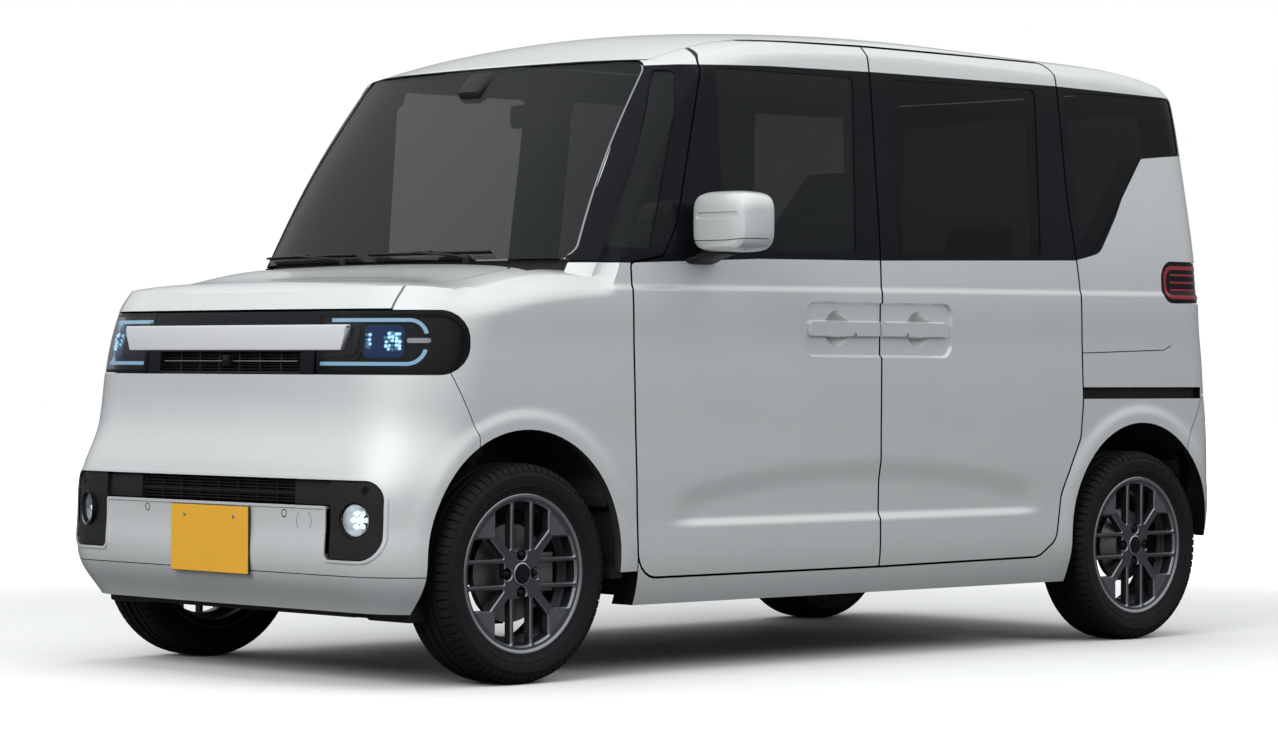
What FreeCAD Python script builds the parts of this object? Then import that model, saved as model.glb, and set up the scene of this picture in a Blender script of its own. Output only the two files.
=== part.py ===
import FreeCAD, Part
import math
import os

# Kei-class electric super-height wagon, front along -Y, left side along +X, standing on Z = 0.

doc = FreeCAD.newDocument("kei_car")
V = FreeCAD.Vector

# Driving sizes in millimetres and degrees
SIZES = [
    ("overall_length", "3395", "bumper to bumper"),
    ("overall_width", "1475", "over the doors, mirrors left out"),
    ("overall_height", "1800", "floor to roof crown"),
    ("wheelbase", "2520", "front axle to rear axle"),
    ("front_overhang", "460", "front axle to bumper"),
    ("ground_clearance", "187", "floor to the bottom of the sill"),
    ("wall_thickness", "80", "pillar, sill and quarter panel, skin to trim"),
    ("door_thickness", "42", "door skin to door trim"),
    ("fender_thickness", "26", "fender skin to its inner brace"),
    ("hood_thickness", "18", "hood skin to its inner frame"),
    ("bumper_thickness", "24", "bumper cover with its ribs"),
    ("roof_thickness", "28", "roof skin to headlining"),
    ("glass_thickness", "5", "all panes"),
    ("glass_recess", "3", "pane set back from the skin"),
    ("panel_gap", "7", "shut line between a panel that moves and its neighbour"),
    ("fixed_gap", "0.6", "joint line between two fixed panels"),
    ("door_seal_gap", "7", "door trim to the frame behind it"),
    ("door_flange", "38", "frame that shows inside a door opening"),
    ("screen_pillar", "20", "pillar between the windscreen and the front quarter glass"),
    ("overrun", "30", "how far a cutting shape runs past what it cuts"),
    ("shortest_edge", "0.01", "shortest straight run worth drawing in an outline"),
    ("tyre_diameter", "573.5", "over the tread"),
    ("tyre_width", "175", "over the sidewalls"),
    ("rim_diameter", "415", "over the flange"),
    ("rim_width", "150", "over the flanges"),
    ("rim_wall", "9", "barrel thickness"),
    ("track_width", "1290", "between tyre centre planes"),
    ("arch_radius", "332", "wheel opening in the body"),
    ("arch_height", "328", "centre of the wheel opening above the floor"),
    ("well_inner", "395", "centre plane to the inner wall of a wheel well"),
    ("well_clearance", "24", "wheel opening to the liner above the tyre"),
    ("sheet_metal", "12", "inner panels with their stiffening beads"),
    ("kingpin_offset", "40", "tyre centre plane to steering axis"),
    ("disc_diameter", "256", "front brake disc"),
    ("disc_thickness", "18", "front brake disc"),
    ("hub_diameter", "132", "wheel centre boss"),
    ("hood_half_width", "590", "hood at its rear corner"),
    ("hood_front_half_width", "560", "hood at its front corner"),
    ("hood_corner", "30", "hood's rear corners"),
    ("cowl_lap", "50", "cowl panel beyond the hood"),
    ("roof_shoulder", "300", "turn of the roof's side seam"),
    ("handle_bar_bottom", "908", "door handle bar"),
    ("handle_bar_top", "956", "door handle bar"),
    ("handle_bar_thickness", "10", "door handle bar"),
    ("cup_radius", "70", "finger cup behind the handle bars"),
    ("cup_depth", "26", "finger cup behind the handle bars"),
    ("scoop_radius", "95", "hollow along the foot of the doors"),
    ("scoop_depth", "6", "hollow along the foot of the doors"),
    ("scoop_height", "446", "hollow along the foot of the doors"),
    ("lamp_bottom", "801", "lower edge of the lamp band"),
    ("lamp_top", "965", "upper edge of the lamp band"),
    ("lamp_inner", "355", "centre plane to the lamp's inner end"),
    ("lamp_outer_along", "500", "lamp's outer end, along the corner's diagonal"),
    ("lamp_depth", "70", "lamp housing"),
    ("lamp_corner", "8", "lamp's inner corners"),
    ("lamp_lap", "20", "lamp run on past its inner end before it is cut square"),
    ("light_line_edge", "14", "lamp's edge to the light line inside it"),
    ("light_line_width", "9", "light line round the lamp"),
    ("light_line_depth", "4", "light line's groove"),
    ("projector_diameter", "58", "main lamp's lens"),
    ("projector_x", "486", "main lamp's lens from the centre plane"),
    ("projector_depth", "14", "main lamp's lens set back"),
    ("band_lap", "60", "lamp band run on behind the lamps"),
    ("bar_half_length", "469", "bright bar, half its length"),
    ("bar_bottom", "862", "bright bar, lower edge"),
    ("bar_top", "929", "bright bar, upper edge"),
    ("bar_stand", "9", "bright bar proud of the lamp band"),
    ("bar_corner", "12", "bright bar's corners"),
    ("mesh_bottom", "812", "mesh below the bright bar"),
    ("mesh_top", "854", "mesh below the bright bar"),
    ("mesh_pitch", "34", "from one mesh window to the next"),
    ("mesh_web", "7", "web between mesh windows"),
    ("slot_bottom", "466", "lower air slot"),
    ("slot_top", "531", "lower air slot"),
    ("slot_corner", "8", "lower air slot's corners"),
    ("slot_window_pitch", "67", "from one window of the lower grille to the next"),
    ("slot_window_height", "18", "window of the lower grille"),
    ("insert_depth", "40", "fog lamp pods and lower grille, skin to back"),
    ("pod_bottom", "330", "fog lamp pod"),
    ("pod_inner", "470", "centre plane to the fog lamp pod's inner edge"),
    ("pod_outer", "655", "centre plane to the fog lamp pod's outer edge"),
    ("pod_inner_corner", "14", "fog lamp pod"),
    ("pod_low_corner", "60", "fog lamp pod"),
    ("pod_high_corner", "50", "fog lamp pod"),
    ("fog_height", "432", "fog lamp centre above the floor"),
    ("fog_offset", "562", "fog lamp centre from the centre plane"),
    ("fog_diameter", "84", "fog lamp lens"),
    ("fog_groove", "8", "groove round the fog lamp"),
    ("fog_depth", "14", "groove round the fog lamp"),
    ("plate_hole_spacing", "210", "number plate screws"),
    ("plate_hole_diameter", "6", "number plate screws"),
    ("plate_height", "428", "number plate screws above the floor"),
    ("plate_boss_set", "2", "flat boss behind the bumper's foremost line"),
    ("plate_boss_depth", "10", "flat boss behind the number plate"),
    ("plate_boss_half_width", "150", "flat boss behind the number plate"),
    ("plate_boss_half_height", "26", "flat boss behind the number plate"),
    ("tail_lamp_bottom", "1026", "rear lamp"),
    ("tail_lamp_top", "1152", "rear lamp"),
    ("tail_lamp_corner", "50", "rear lamp's front corners"),
    ("gate_half_width", "590", "tailgate at its lower edge"),
    ("gate_top_half_width", "520", "tailgate at its upper edge"),
    ("gate_bottom", "640", "tailgate's lower edge"),
    ("gate_top", "1690", "tailgate's upper edge"),
    ("gate_glass_bottom", "1175", "rear window"),
    ("gate_glass_top", "1610", "rear window"),
    ("gate_corner", "40", "corners of the tailgate and its window"),
    ("gate_side_round", "300", "turn of the tailgate's edge above the lamps"),
    ("gate_frame", "45", "tailgate's frame beside its window"),
    ("gate_frame_top", "20", "tailgate's frame beside its window, at the top"),
    ("recess_width", "360", "number plate recess in the tailgate"),
    ("recess_bottom", "700", "number plate recess in the tailgate"),
    ("recess_top", "872", "number plate recess in the tailgate"),
    ("recess_corner", "30", "number plate recess in the tailgate"),
    ("skin_recess", "18", "depth of the plate recess and the slide rail's slot"),
    ("bumper_rear_bottom", "305", "rear bumper's lower edge"),
    ("floor_height", "262", "cabin floor's underside"),
    ("floor_thickness", "40", "cabin floor"),
    ("cargo_floor_height", "500", "cargo floor's underside"),
    ("battery_length", "1250", "traction battery"),
    ("battery_width", "900", "traction battery"),
    ("battery_height", "68", "traction battery"),
    ("battery_round", "12", "traction battery's edges"),
    ("drive_length", "420", "motor and gear case along the car"),
    ("drive_width", "520", "motor and gear case across the car"),
    ("drive_height", "330", "motor and gear case"),
    ("drive_round", "30", "motor and gear case's edges"),
    ("seat_width", "470", "front seat"),
    ("seat_depth", "480", "front seat cushion"),
    ("seat_height", "600", "seat cushion's top above the floor"),
    ("seat_cushion", "130", "seat cushion thickness"),
    ("seat_back_height", "580", "seat backrest"),
    ("seat_back_thickness", "120", "seat backrest"),
    ("seat_back_tilt", "18", "seat backrest, degrees from upright"),
    ("seat_offset", "315", "centre plane to the seat's centre"),
    ("seat_front", "-380", "front seat cushion's front edge"),
    ("rear_seat_front", "390", "rear seat cushion's front edge"),
    ("rear_seat_width", "1120", "rear bench"),
    ("head_width", "250", "head restraint"),
    ("head_height", "150", "head restraint"),
    ("head_thickness", "90", "head restraint"),
    ("post_diameter", "12", "head restraint post"),
    ("head_gap", "36", "backrest to head restraint"),
    ("head_set_back", "8", "head restraint behind the backrest's face"),
    ("head_post_length", "110", "head restraint post"),
    ("head_post_set_back", "34", "head restraint post behind the backrest's face"),
    ("head_post_sunk", "40", "head restraint post inside the backrest"),
    ("riser_front", "60", "seat riser behind the cushion's front edge"),
    ("riser_rear", "40", "seat riser ahead of the cushion's rear edge"),
    ("riser_sunk", "10", "seat riser inside the cushion"),
    ("steering_diameter", "370", "steering wheel"),
    ("steering_grip", "27", "steering wheel rim"),
    ("steering_tilt", "62", "steering column from upright, degrees"),
    ("steering_offset", "350", "steering wheel centre from the centre plane"),
    ("steering_y", "-470", "steering wheel centre along the car"),
    ("steering_height", "985", "steering wheel centre above the floor"),
    ("column_diameter", "46", "steering column cover"),
    ("dash_depth", "330", "dashboard"),
    ("dash_height", "260", "dashboard"),
    ("dash_round", "40", "dashboard's edges"),
    ("mirror_width", "200", "door mirror across"),
    ("mirror_height", "165", "door mirror"),
    ("mirror_depth", "110", "door mirror front to back"),
    ("mirror_y", "-610", "door mirror centre"),
    ("mirror_z", "1212", "door mirror centre"),
    ("mirror_x", "850", "door mirror centre"),
    ("mirror_round", "38", "door mirror's edges"),
    ("mirror_frame", "14", "door mirror's rim round its glass"),
    ("mirror_glass_set", "4", "door mirror's glass behind its rim"),
    ("mirror_foot_front", "40", "door mirror's foot ahead of the mirror's centre"),
    ("mirror_foot_rear", "60", "door mirror's foot behind the mirror's centre"),
    ("mirror_foot_height", "45", "door mirror's foot"),
    ("mirror_foot_sunk", "20", "door mirror's foot inside the mirror"),
    ("mirror_foot_reach", "40", "door mirror's foot inside the body's widest line"),
    ("wiper_thickness", "14", "wiper arm and spindle"),
    ("beam_diameter", "76", "rear axle beam"),
    ("arm_thickness", "36", "suspension arms"),
    ("rim_lip", "15", "flange above the bead seat"),
    ("rim_drop", "19", "bead seat down to the well"),
    ("rim_offset", "45", "wheel centre plane to the hub face"),
    ("spoke_depth", "22", "spokes, front to back at the hub"),
    ("cap_diameter", "56", "wheel centre cap"),
    ("spoke_gap", "56", "window between a pair of bars"),
    ("spoke_bar", "12", "one bar of a pair"),
    ("diagonal_spoke", "25", "spoke on the diagonal"),
    ("web_edge", "90", "centre line of a pair to the corner web"),
    ("window_radius", "181", "outer end of the wheel windows"),
    ("face_dish", "6", "wheel face set back at the hub"),
    ("face_crown", "3", "wheel face proud at the rim"),
    ("cap_groove", "4", "groove round the wheel centre cap"),
    ("window_inset", "6", "wheel windows inside the hub's edge"),
    ("tyre_wall", "9", "tyre carcass"),
    ("seat_clearance", "0.3", "pieces that rest on each other"),
    ("disc_set_in", "34", "hub face to the middle of the disc"),
    ("spindle_diameter", "44", "hub spindle"),
    ("spindle_length", "60", "spindle from the middle of the disc inwards"),
    ("drum_diameter", "220", "rear brake drum"),
    ("carrier_wall", "16", "hub carrier round its bearing"),
    ("disc_clearance", "3", "brake disc to what stands beside it"),
    ("bearing_clearance", "0.05", "spindle in its bearing"),
    ("post_radius", "14", "post on the steering axis"),
    ("post_reach", "112", "half the post's height"),
    ("steering_arm", "110", "arm to the track rod"),
    ("subframe_half", "330", "front cross member, half its width"),
    ("subframe_front", "120", "front cross member ahead of the axle"),
    ("subframe_rear", "150", "front cross member behind the axle"),
    ("strut_foot", "60", "damper's foot above the axle"),
    ("strut_diameter", "50", "damper tube"),
    ("strut_x", "505", "centre plane to the strut"),
    ("spring_diameter", "92", "coil spring"),
    ("spring_length", "95", "coil spring"),
    ("beam_half", "560", "rear axle beam, half its length"),
    ("beam_lap", "20", "hub stub inside the beam"),
    ("trailing_arm", "380", "rear trailing arm"),
    ("trailing_x", "440", "centre plane to the trailing arm"),
    ("rear_spring_x", "300", "centre plane to the rear spring"),
    ("floor_half", "730", "floor, half its width"),
    ("floor_front", "-930", "bulkhead along the car"),
    ("kick_up", "960", "step to the cargo floor"),
    ("floor_rear", "1600", "cargo floor's rear edge"),
    ("bulkhead_top", "985", "bulkhead's top edge"),
    ("rail_front", "-1600", "front end of the side rails"),
    ("dash_front", "-1090", "dashboard's front edge under the windscreen"),
    ("dash_shelf", "45", "thin front part of the dashboard"),
    ("dash_gap", "6", "bulkhead to the dashboard"),
    ("dash_top", "1060", "dashboard's top"),
    ("dash_half", "730", "dashboard, half its width"),
    ("seat_post", "90", "seat riser, half its width"),
    ("soft_radius", "28", "rounded edge of a seat"),
    ("wiper_height", "1130", "wiper blades above the floor"),
    ("wiper_blade", "16", "wiper blade seen from the front"),
    ("wiper_reach", "9", "wiper blade proud of the glass"),
    ("wiper_spindle_y", "-1136", "wiper spindles along the car"),
    ("wiper_arm", "60", "wiper arm from its spindle to the blade"),
    ("cowl_thickness", "12", "cowl panel"),
    ("hinge_radius", "3.1", "hinge pins in the shut lines"),
    ("hinge_length", "30", "hinge pins in the shut lines"),
    ("hinge_lug", "16", "lug that carries a hinge pin"),
    ("door_hinge_x", "731.5", "door hinge axis from the centre plane"),
    ("door_hinge_low", "450", "lower door hinge above the floor"),
    ("door_hinge_high", "930", "upper door hinge above the floor"),
    ("hood_hinge_z", "1080", "hood hinge axis above the floor"),
    ("hood_hinge_x", "450", "hood hinges from the centre plane"),
    ("gate_hinge_y", "1560.5", "tailgate hinge axis along the car"),
    ("gate_hinge_x", "350", "tailgate hinges from the centre plane"),
    ("seal_pad", "24", "roller or rubber stop behind a door"),
]

sheet = doc.addObject("Spreadsheet::Sheet", "sizes")
for row, (name, value, note) in enumerate(SIZES, start=1):
    sheet.set("A%d" % row, note)
    sheet.set("B%d" % row, value)
    sheet.setAlias("B%d" % row, name)
doc.recompute()


def size(name):
    return float(sheet.get(name))


half_length = size("overall_length") / 2
half_width = size("overall_width") / 2
height = size("overall_height")
overrun = size("overrun")
front_axle = -half_length + size("front_overhang")
rear_axle = front_axle + size("wheelbase")
wheel_height = size("tyre_diameter") / 2
wheel_centre = size("track_width") / 2

# Body form. Each row is one height: share of the overall height, then half width as a share of
# half the overall width, nose and tail as shares of half the length, the nose's crown and the
# corner radii as shares of half the width.
PLAN_SHARES = [
    (0.080, 0.930, 0.950, 0.960, 0.010, 0.215, 0.150),
    (0.114, 0.968, 0.967, 0.975, 0.010, 0.225, 0.165),
    (0.150, 0.991, 0.993, 0.985, 0.009, 0.231, 0.176),
    (0.224, 0.997, 0.9990, 0.9985, 0.007, 0.231, 0.176),
    (0.294, 0.999, 0.9985, 0.9990, 0.013, 0.250, 0.176),
    (0.357, 0.999, 0.983, 0.996, 0.016, 0.310, 0.176),
    (0.411, 1.000, 0.975, 0.988, 0.017, 0.325, 0.176),
    (0.478, 1.000, 0.973, 0.981, 0.025, 0.350, 0.176),
    (0.537, 0.999, 0.961, 0.972, 0.038, 0.366, 0.176),
    (0.580, 0.996, 0.950, 0.969, 0.045, 0.400, 0.176),
    (0.622, 0.992, 0.945, 0.966, 0.050, 0.430, 0.176),
    (0.722, 0.974, 0.940, 0.955, 0.050, 0.430, 0.176),
    (0.832, 0.950, 0.935, 0.940, 0.050, 0.430, 0.176),
    (0.923, 0.928, 0.930, 0.923, 0.050, 0.430, 0.176),
    (0.967, 0.908, 0.925, 0.910, 0.050, 0.430, 0.176),
    (1.020, 0.870, 0.920, 0.890, 0.050, 0.430, 0.176),
]
SIDE_BOW_SHARES = (0.016, 0.008)

# Centre-line profile: shares of half the length along the car and of the overall height.
HOOD_SHARES = [(-1.060, 0.500), (-0.978, 0.538), (-0.942, 0.5655), (-0.825, 0.586), (-0.666, 0.611)]
SCREEN_SHARES = [(-0.666, 0.611), (-0.555, 0.770), (-0.436, 0.925)]
ROOF_SHARES = [(-0.436, 0.925), (-0.265, 0.9722), (-0.059, 0.994), (0.177, 1.000),
               (0.589, 0.992), (0.825, 0.978), (0.930, 0.953), (1.060, 0.905)]
# Stations across the car, as shares of half the width, and how the profile falls away there.
STATION_SHARES = (-1.06, -0.93, -0.80, -0.55, 0.0, 0.55, 0.80, 0.93, 1.06)
HOOD_FALL_SHARES = (0.008, 0.022)
SCREEN_SWEEP_SHARES = (0.035, 0.082)
ROOF_FALL_SHARES = (0.031, 0.028)


def arc(a, b, c):
    return Part.Arc(a, b, c).toShape()


def line(a, b):
    return Part.makeLine(a, b)


def plan_wire(shares, inset):
    level, wide, nose, tail, crown, nose_corner, tail_corner = shares
    z = level * height
    w = wide * half_width - inset
    front = -nose * half_length + inset
    rear = tail * half_length - inset
    bow = crown * half_width
    rf = max(nose_corner * half_width - inset, overrun)
    rr = max(tail_corner * half_width - inset, overrun)
    bow_front, bow_rear = (share * half_width for share in SIDE_BOW_SHARES)
    diagonal = 1 - math.sqrt(0.5)
    wf = w - bow_front
    wr = w - bow_rear
    edges = []
    right_front = V(-(wf - rf), front + bow, z)
    left_front = V(wf - rf, front + bow, z)
    edges.append(arc(right_front, V(0, front, z), left_front))
    corner = V(wf - rf * diagonal, front + bow + rf * diagonal, z)
    left_side = V(wf, front + bow + rf, z)
    edges.append(arc(left_front, corner, left_side))
    left_back = V(wr, rear - rr, z)
    edges.append(arc(left_side, V(w, 0, z), left_back))
    corner = V(wr - rr * diagonal, rear - rr * diagonal, z)
    edges.append(arc(left_back, corner, V(wr - rr, rear, z)))
    edges.append(line(V(wr - rr, rear, z), V(-(wr - rr), rear, z)))
    corner = V(-(wr - rr * diagonal), rear - rr * diagonal, z)
    edges.append(arc(V(-(wr - rr), rear, z), corner, V(-wr, rear - rr, z)))
    right_side = V(-wf, front + bow + rf, z)
    edges.append(arc(V(-wr, rear - rr, z), V(-w, 0, z), right_side))
    corner = V(-(wf - rf * diagonal), front + bow + rf * diagonal, z)
    edges.append(arc(right_side, corner, right_front))
    return Part.Wire(edges)


def spline(points):
    curve = Part.BSplineCurve()
    curve.interpolate(points)
    return curve.toShape()


def profile_wire(station, inset):
    x = station * half_width
    u = abs(station)
    hood_fall = height * (HOOD_FALL_SHARES[0] * u ** 2 + HOOD_FALL_SHARES[1] * u ** 8)
    roof_fall = height * (ROOF_FALL_SHARES[0] * u ** 2 + ROOF_FALL_SHARES[1] * u ** 12)
    sweep = half_length * (SCREEN_SWEEP_SHARES[0] * u ** 2 + SCREEN_SWEEP_SHARES[1] * u ** 6)
    hood = [V(x, a * half_length, b * height - hood_fall - inset) for a, b in HOOD_SHARES]
    screen = [V(x, a * half_length + sweep + inset, b * height - inset) for a, b in SCREEN_SHARES]
    roof = [V(x, a * half_length, b * height - roof_fall - inset) for a, b in ROOF_SHARES]
    cowl = V(x, screen[0].y, hood[-1].z)
    header = V(x, screen[-1].y, screen[-1].z - roof_fall / 3)
    screen[0] = cowl
    screen[-1] = header
    hood[-1] = V(x, min(hood[-1].y, cowl.y), cowl.z)
    hood.append(cowl)
    if (hood[-1] - hood[-2]).Length < overrun / 10:
        hood.pop(-2)
    roof[0] = header
    bottom = -overrun
    front_foot = V(x, hood[0].y, bottom)
    rear_foot = V(x, roof[-1].y, bottom)
    edges = [line(front_foot, hood[0]), spline(hood), spline(screen), spline(roof),
             line(roof[-1], rear_foot), line(rear_foot, front_foot)]
    return Part.Wire(edges)


envelopes = {}


def envelope(inset):
    """The body's form moved in by inset, or out where it is negative."""
    if inset not in envelopes:
        column = Part.makeLoft([plan_wire(shares, inset) for shares in PLAN_SHARES], True)
        profile = Part.makeLoft([profile_wire(station, inset) for station in STATION_SHARES], True)
        envelopes[inset] = column.common(profile)
    return envelopes[inset]


LONGEST_CORNER_SHARE = 0.49


def rounded_wire(corners, plane):
    """Closed outline of straight runs with a tangent arc at each corner: (a, b, radius) in a plane."""
    flat = [V(a, b, 0) for a, b, r in corners]
    count = len(corners)
    starts = []
    edges = []
    for i in range(count):
        here = flat[i]
        back = (flat[i - 1] - here)
        ahead = (flat[(i + 1) % count] - here)
        radius = corners[i][2]
        turn = back.getAngle(ahead)
        reach = radius / math.tan(turn / 2) if radius > 0 else 0
        reach = min(reach, back.Length * LONGEST_CORNER_SHARE, ahead.Length * LONGEST_CORNER_SHARE)
        back.normalize()
        ahead.normalize()
        first = here + back * reach
        last = here + ahead * reach
        middle = None
        if reach > 0:
            inward = back + ahead
            inward.normalize()
            true_radius = reach * math.tan(turn / 2)
            middle = here + inward * (true_radius / math.sin(turn / 2) - true_radius)
        starts.append((first, middle, last))
    for i in range(count):
        first, middle, last = starts[i]
        following = starts[(i + 1) % count][0]
        if middle is not None:
            edges.append(Part.Arc(plane(first), plane(middle), plane(last)).toShape())
        if (following - last).Length > size("shortest_edge"):
            edges.append(Part.makeLine(plane(last), plane(following)))
    return Part.Wire(edges)


def side_plane(p):
    return V(0, p.x, p.y)


def front_plane(p):
    return V(p.x, 0, p.y)


def top_plane(p):
    return V(p.x, p.y, 0)


def prism(corners, plane, low, high, grow=0):
    """Outline pushed along the third axis from low to high, its edge moved out by grow."""
    face = Part.Face(rounded_wire(corners, plane))
    if grow:
        face = face.makeOffset2D(grow)
    normal = V(1, 0, 0) if plane is side_plane else V(0, 1, 0) if plane is front_plane else V(0, 0, 1)
    face.translate(normal * low)
    return face.extrude(normal * (high - low))


def scaled(shares):
    return [(a * half_length, b * height, r * height) for a, b, r in shares]


def mirrored(shape):
    return shape.mirror(V(0, 0, 0), V(1, 0, 0))


def block(x0, x1, y0, y1, z0, z1):
    return Part.makeBox(x1 - x0, y1 - y0, z1 - z0, V(x0, y0, z0))


def both(shape):
    return [shape, mirrored(shape)]


far = half_length + half_width
SIDE_FROM_SHARE = 0.25
NOSE_TO_SHARE = -0.80

# Side view outlines: shares of half the length and of the height, then the corner's radius as a
# share of the height.
SPLIT_SHARE = 0.0636
HINGE_LOW_SHARES = (-0.4915, 0.1039)
HINGE_HIGH_SHARES = (-0.5102, 0.6111)
FRONT_DOOR_SHARES = [(-0.4930, 0.1450, 0.040), (*HINGE_HIGH_SHARES, 0.008),
                     (-0.4390, 0.622, 0.010), (-0.4059, 0.672, 0.030), (-0.3290, 0.924, 0.030),
                     (-0.2800, 0.9600, 0.030), (SPLIT_SHARE, 0.9650, 0.0), (SPLIT_SHARE, 0.1450, 0.0)]
SLIDING_DOOR_SHARES = [(SPLIT_SHARE, 0.1450, 0.0), (SPLIT_SHARE, 0.9650, 0.0), (0.5500, 0.9650, 0.033),
                       (0.5514, 0.9170, 0.0), (0.5597, 0.7372, 0.0), (0.5826, 0.5961, 0.20),
                       (0.5920, 0.4000, 0.10), (0.5860, 0.3430, 0.030), (0.5330, 0.2500, 0.060),
                       (0.5200, 0.1750, 0.030), (0.4750, 0.1480, 0.040)]
FRONT_WINDOW_SHARES = [(-0.3016, 0.6350, 0.010), (-0.3016, 0.9110, 0.012), (0.0224, 0.9128, 0.010),
                       (0.0040, 0.6350, 0.010)]
SLIDING_WINDOW_SHARES = [(0.1060, 0.6390, 0.010), (0.1184, 0.9150, 0.010), (0.4907, 0.9167, 0.010),
                         (0.4790, 0.6417, 0.010)]
QUARTER_WINDOW_SHARES = [(0.5700, 0.9170, 0.006), (0.8800, 0.9200, 0.012), (0.8950, 0.8230, 0.012),
                         (0.7780, 0.8150, 0.020), (0.6500, 0.6730, 0.050), (0.6100, 0.6440, 0.020),
                         (0.5930, 0.6430, 0.010)]
FRONT_QUARTER_SHARES = [(-0.5550, 0.6330, 0.006), (-0.4680, 0.6330, 0.006), (-0.3740, 0.9040, 0.008),
                        (-0.3990, 0.9040, 0.006)]
FENDER_SHARES = [(-1.10, 0.4900, 0.0), (-0.8736, 0.4489, 0.0), (-0.8253, 0.3556, 0.0),
                 (-0.8253, 0.1800, 0.0), (-0.4943, 0.1800, 0.0), (*HINGE_HIGH_SHARES, 0.0),
                 (-0.70, 0.6150, 0.0), (-1.10, 0.6150, 0.0)]
BUMPER_SHARES = [(-1.10, 0.1055, 0.0), (-1.10, 0.4900, 0.0), (-0.8736, 0.4489, 0.0),
                 (-0.8253, 0.3556, 0.0), (-0.8253, 0.1055, 0.0)]
REAR_BUMPER_SHARES = [(0.8884, 0.1694, 0.0), (0.8884, 0.3289, 0.0), (0.9379, 0.4128, 0.0),
                      (1.10, 0.4128, 0.0), (1.10, 0.1694, 0.0)]

gap = size("panel_gap") / 2
joint = size("fixed_gap") / 2
wall = size("wall_thickness")
door = size("door_thickness")

outer = envelope(0)
glass_outer = envelope(size("glass_recess"))
glass_inner = envelope(size("glass_recess") + size("glass_thickness"))
hood_inner = envelope(size("hood_thickness"))
fender_inner = envelope(size("fender_thickness"))
door_inner = envelope(door)
door_seat = envelope(door + size("door_seal_gap"))
wall_inner = envelope(wall)


def carve(shape, tools):
    """Cut each tool away in turn."""
    for tool in tools:
        shape = shape.cut(tool)
    return shape


def pane_in(zone):
    """Glass that fills an opening, set back from the skin."""
    return glass_outer.common(zone).cut(glass_inner)


def side_prism(shares, grow=0):
    """Outline in the side view, pushed through the left side of the body."""
    return prism(scaled(shares), side_plane, half_width * SIDE_FROM_SHARE, far, grow)


def tube(radius, length, place, direction):
    return Part.makeCylinder(radius, length, place, direction)


def wheel_opening(axle):
    radius = size("arch_radius")
    top = size("arch_height")
    foot = block(size("well_inner"), far, axle - radius, axle + radius, -overrun, top)
    round_top = tube(radius, far - size("well_inner"), V(size("well_inner"), axle, top), V(1, 0, 0))
    return foot.fuse(round_top)


well_front = wheel_opening(front_axle)
well_rear = wheel_opening(rear_axle)

shelf = {}


def keep(label, shape):
    """Put a finished shape in the document under its own label."""
    feature = doc.addObject("Part::Feature", label)
    place = shape.Placement
    feature.Shape = shape
    feature.Label = label
    feature.Placement = place
    shelf[label] = feature


def largest(shape):
    return max(shape.Solids, key=lambda solid: solid.Volume)


def solids(parts):
    return Part.makeCompound([solid for part in parts for solid in part.Solids])


# Front corner outline, drawn on the plane that faces the corner's diagonal.
diagonal_share = math.sqrt(0.5)


def corner_plane(p):
    return V(p.x * diagonal_share, p.x * diagonal_share, p.y)


NOSE_LINE_SHARE = 0.973
LAMP_ROUND_SHARE = 0.45
lamp_in = (size("lamp_inner") - NOSE_LINE_SHARE * half_length + size("lamp_lap")) * diagonal_share
lamp_out = -size("lamp_outer_along")
lamp_tall = size("lamp_top") - size("lamp_bottom")
lamp_middle = (size("lamp_top") + size("lamp_bottom")) / 2


def lamp_prism(grow=0):
    """Lamp outline pushed out through the front left corner."""
    outer_round = lamp_tall * LAMP_ROUND_SHARE
    inner_round = size("lamp_corner")
    corners = [(lamp_in, size("lamp_bottom"), inner_round), (lamp_in, size("lamp_top"), inner_round),
               (lamp_out, size("lamp_top"), outer_round), (lamp_out, size("lamp_bottom"), outer_round)]
    face = Part.Face(rounded_wire(corners, corner_plane))
    if grow:
        face = face.makeOffset2D(grow)
    normal = V(1, -1, 0)
    face.translate(normal * (half_width * SIDE_FROM_SHARE))
    return face.extrude(normal * (far / 2))


lamp_zone = lamp_prism(joint)
band_half = size("lamp_inner") + size("band_lap")
band = block(-band_half, band_half, -far, NOSE_TO_SHARE * half_length,
             size("lamp_bottom") - joint, size("lamp_top") + joint)
band_zone = band.fuse(both(lamp_zone))

# Hood, seen from above
HOOD_REAR_SHARE = -0.683
HOOD_TOP_SHARE = 0.66
hood_rear = HOOD_REAR_SHARE * half_length
hood_corners = [(-size("hood_front_half_width"), -far, 0), (size("hood_front_half_width"), -far, 0),
                (size("hood_half_width"), hood_rear, size("hood_corner")),
                (-size("hood_half_width"), hood_rear, size("hood_corner"))]


def hood_zone(grow):
    hood_low = size("lamp_top") + joint + gap - grow
    return prism(hood_corners, top_plane, hood_low, height * HOOD_TOP_SHARE, grow)


hood = outer.common(hood_zone(-gap)).cut(hood_inner)
keep("hood", largest(hood))

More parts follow.
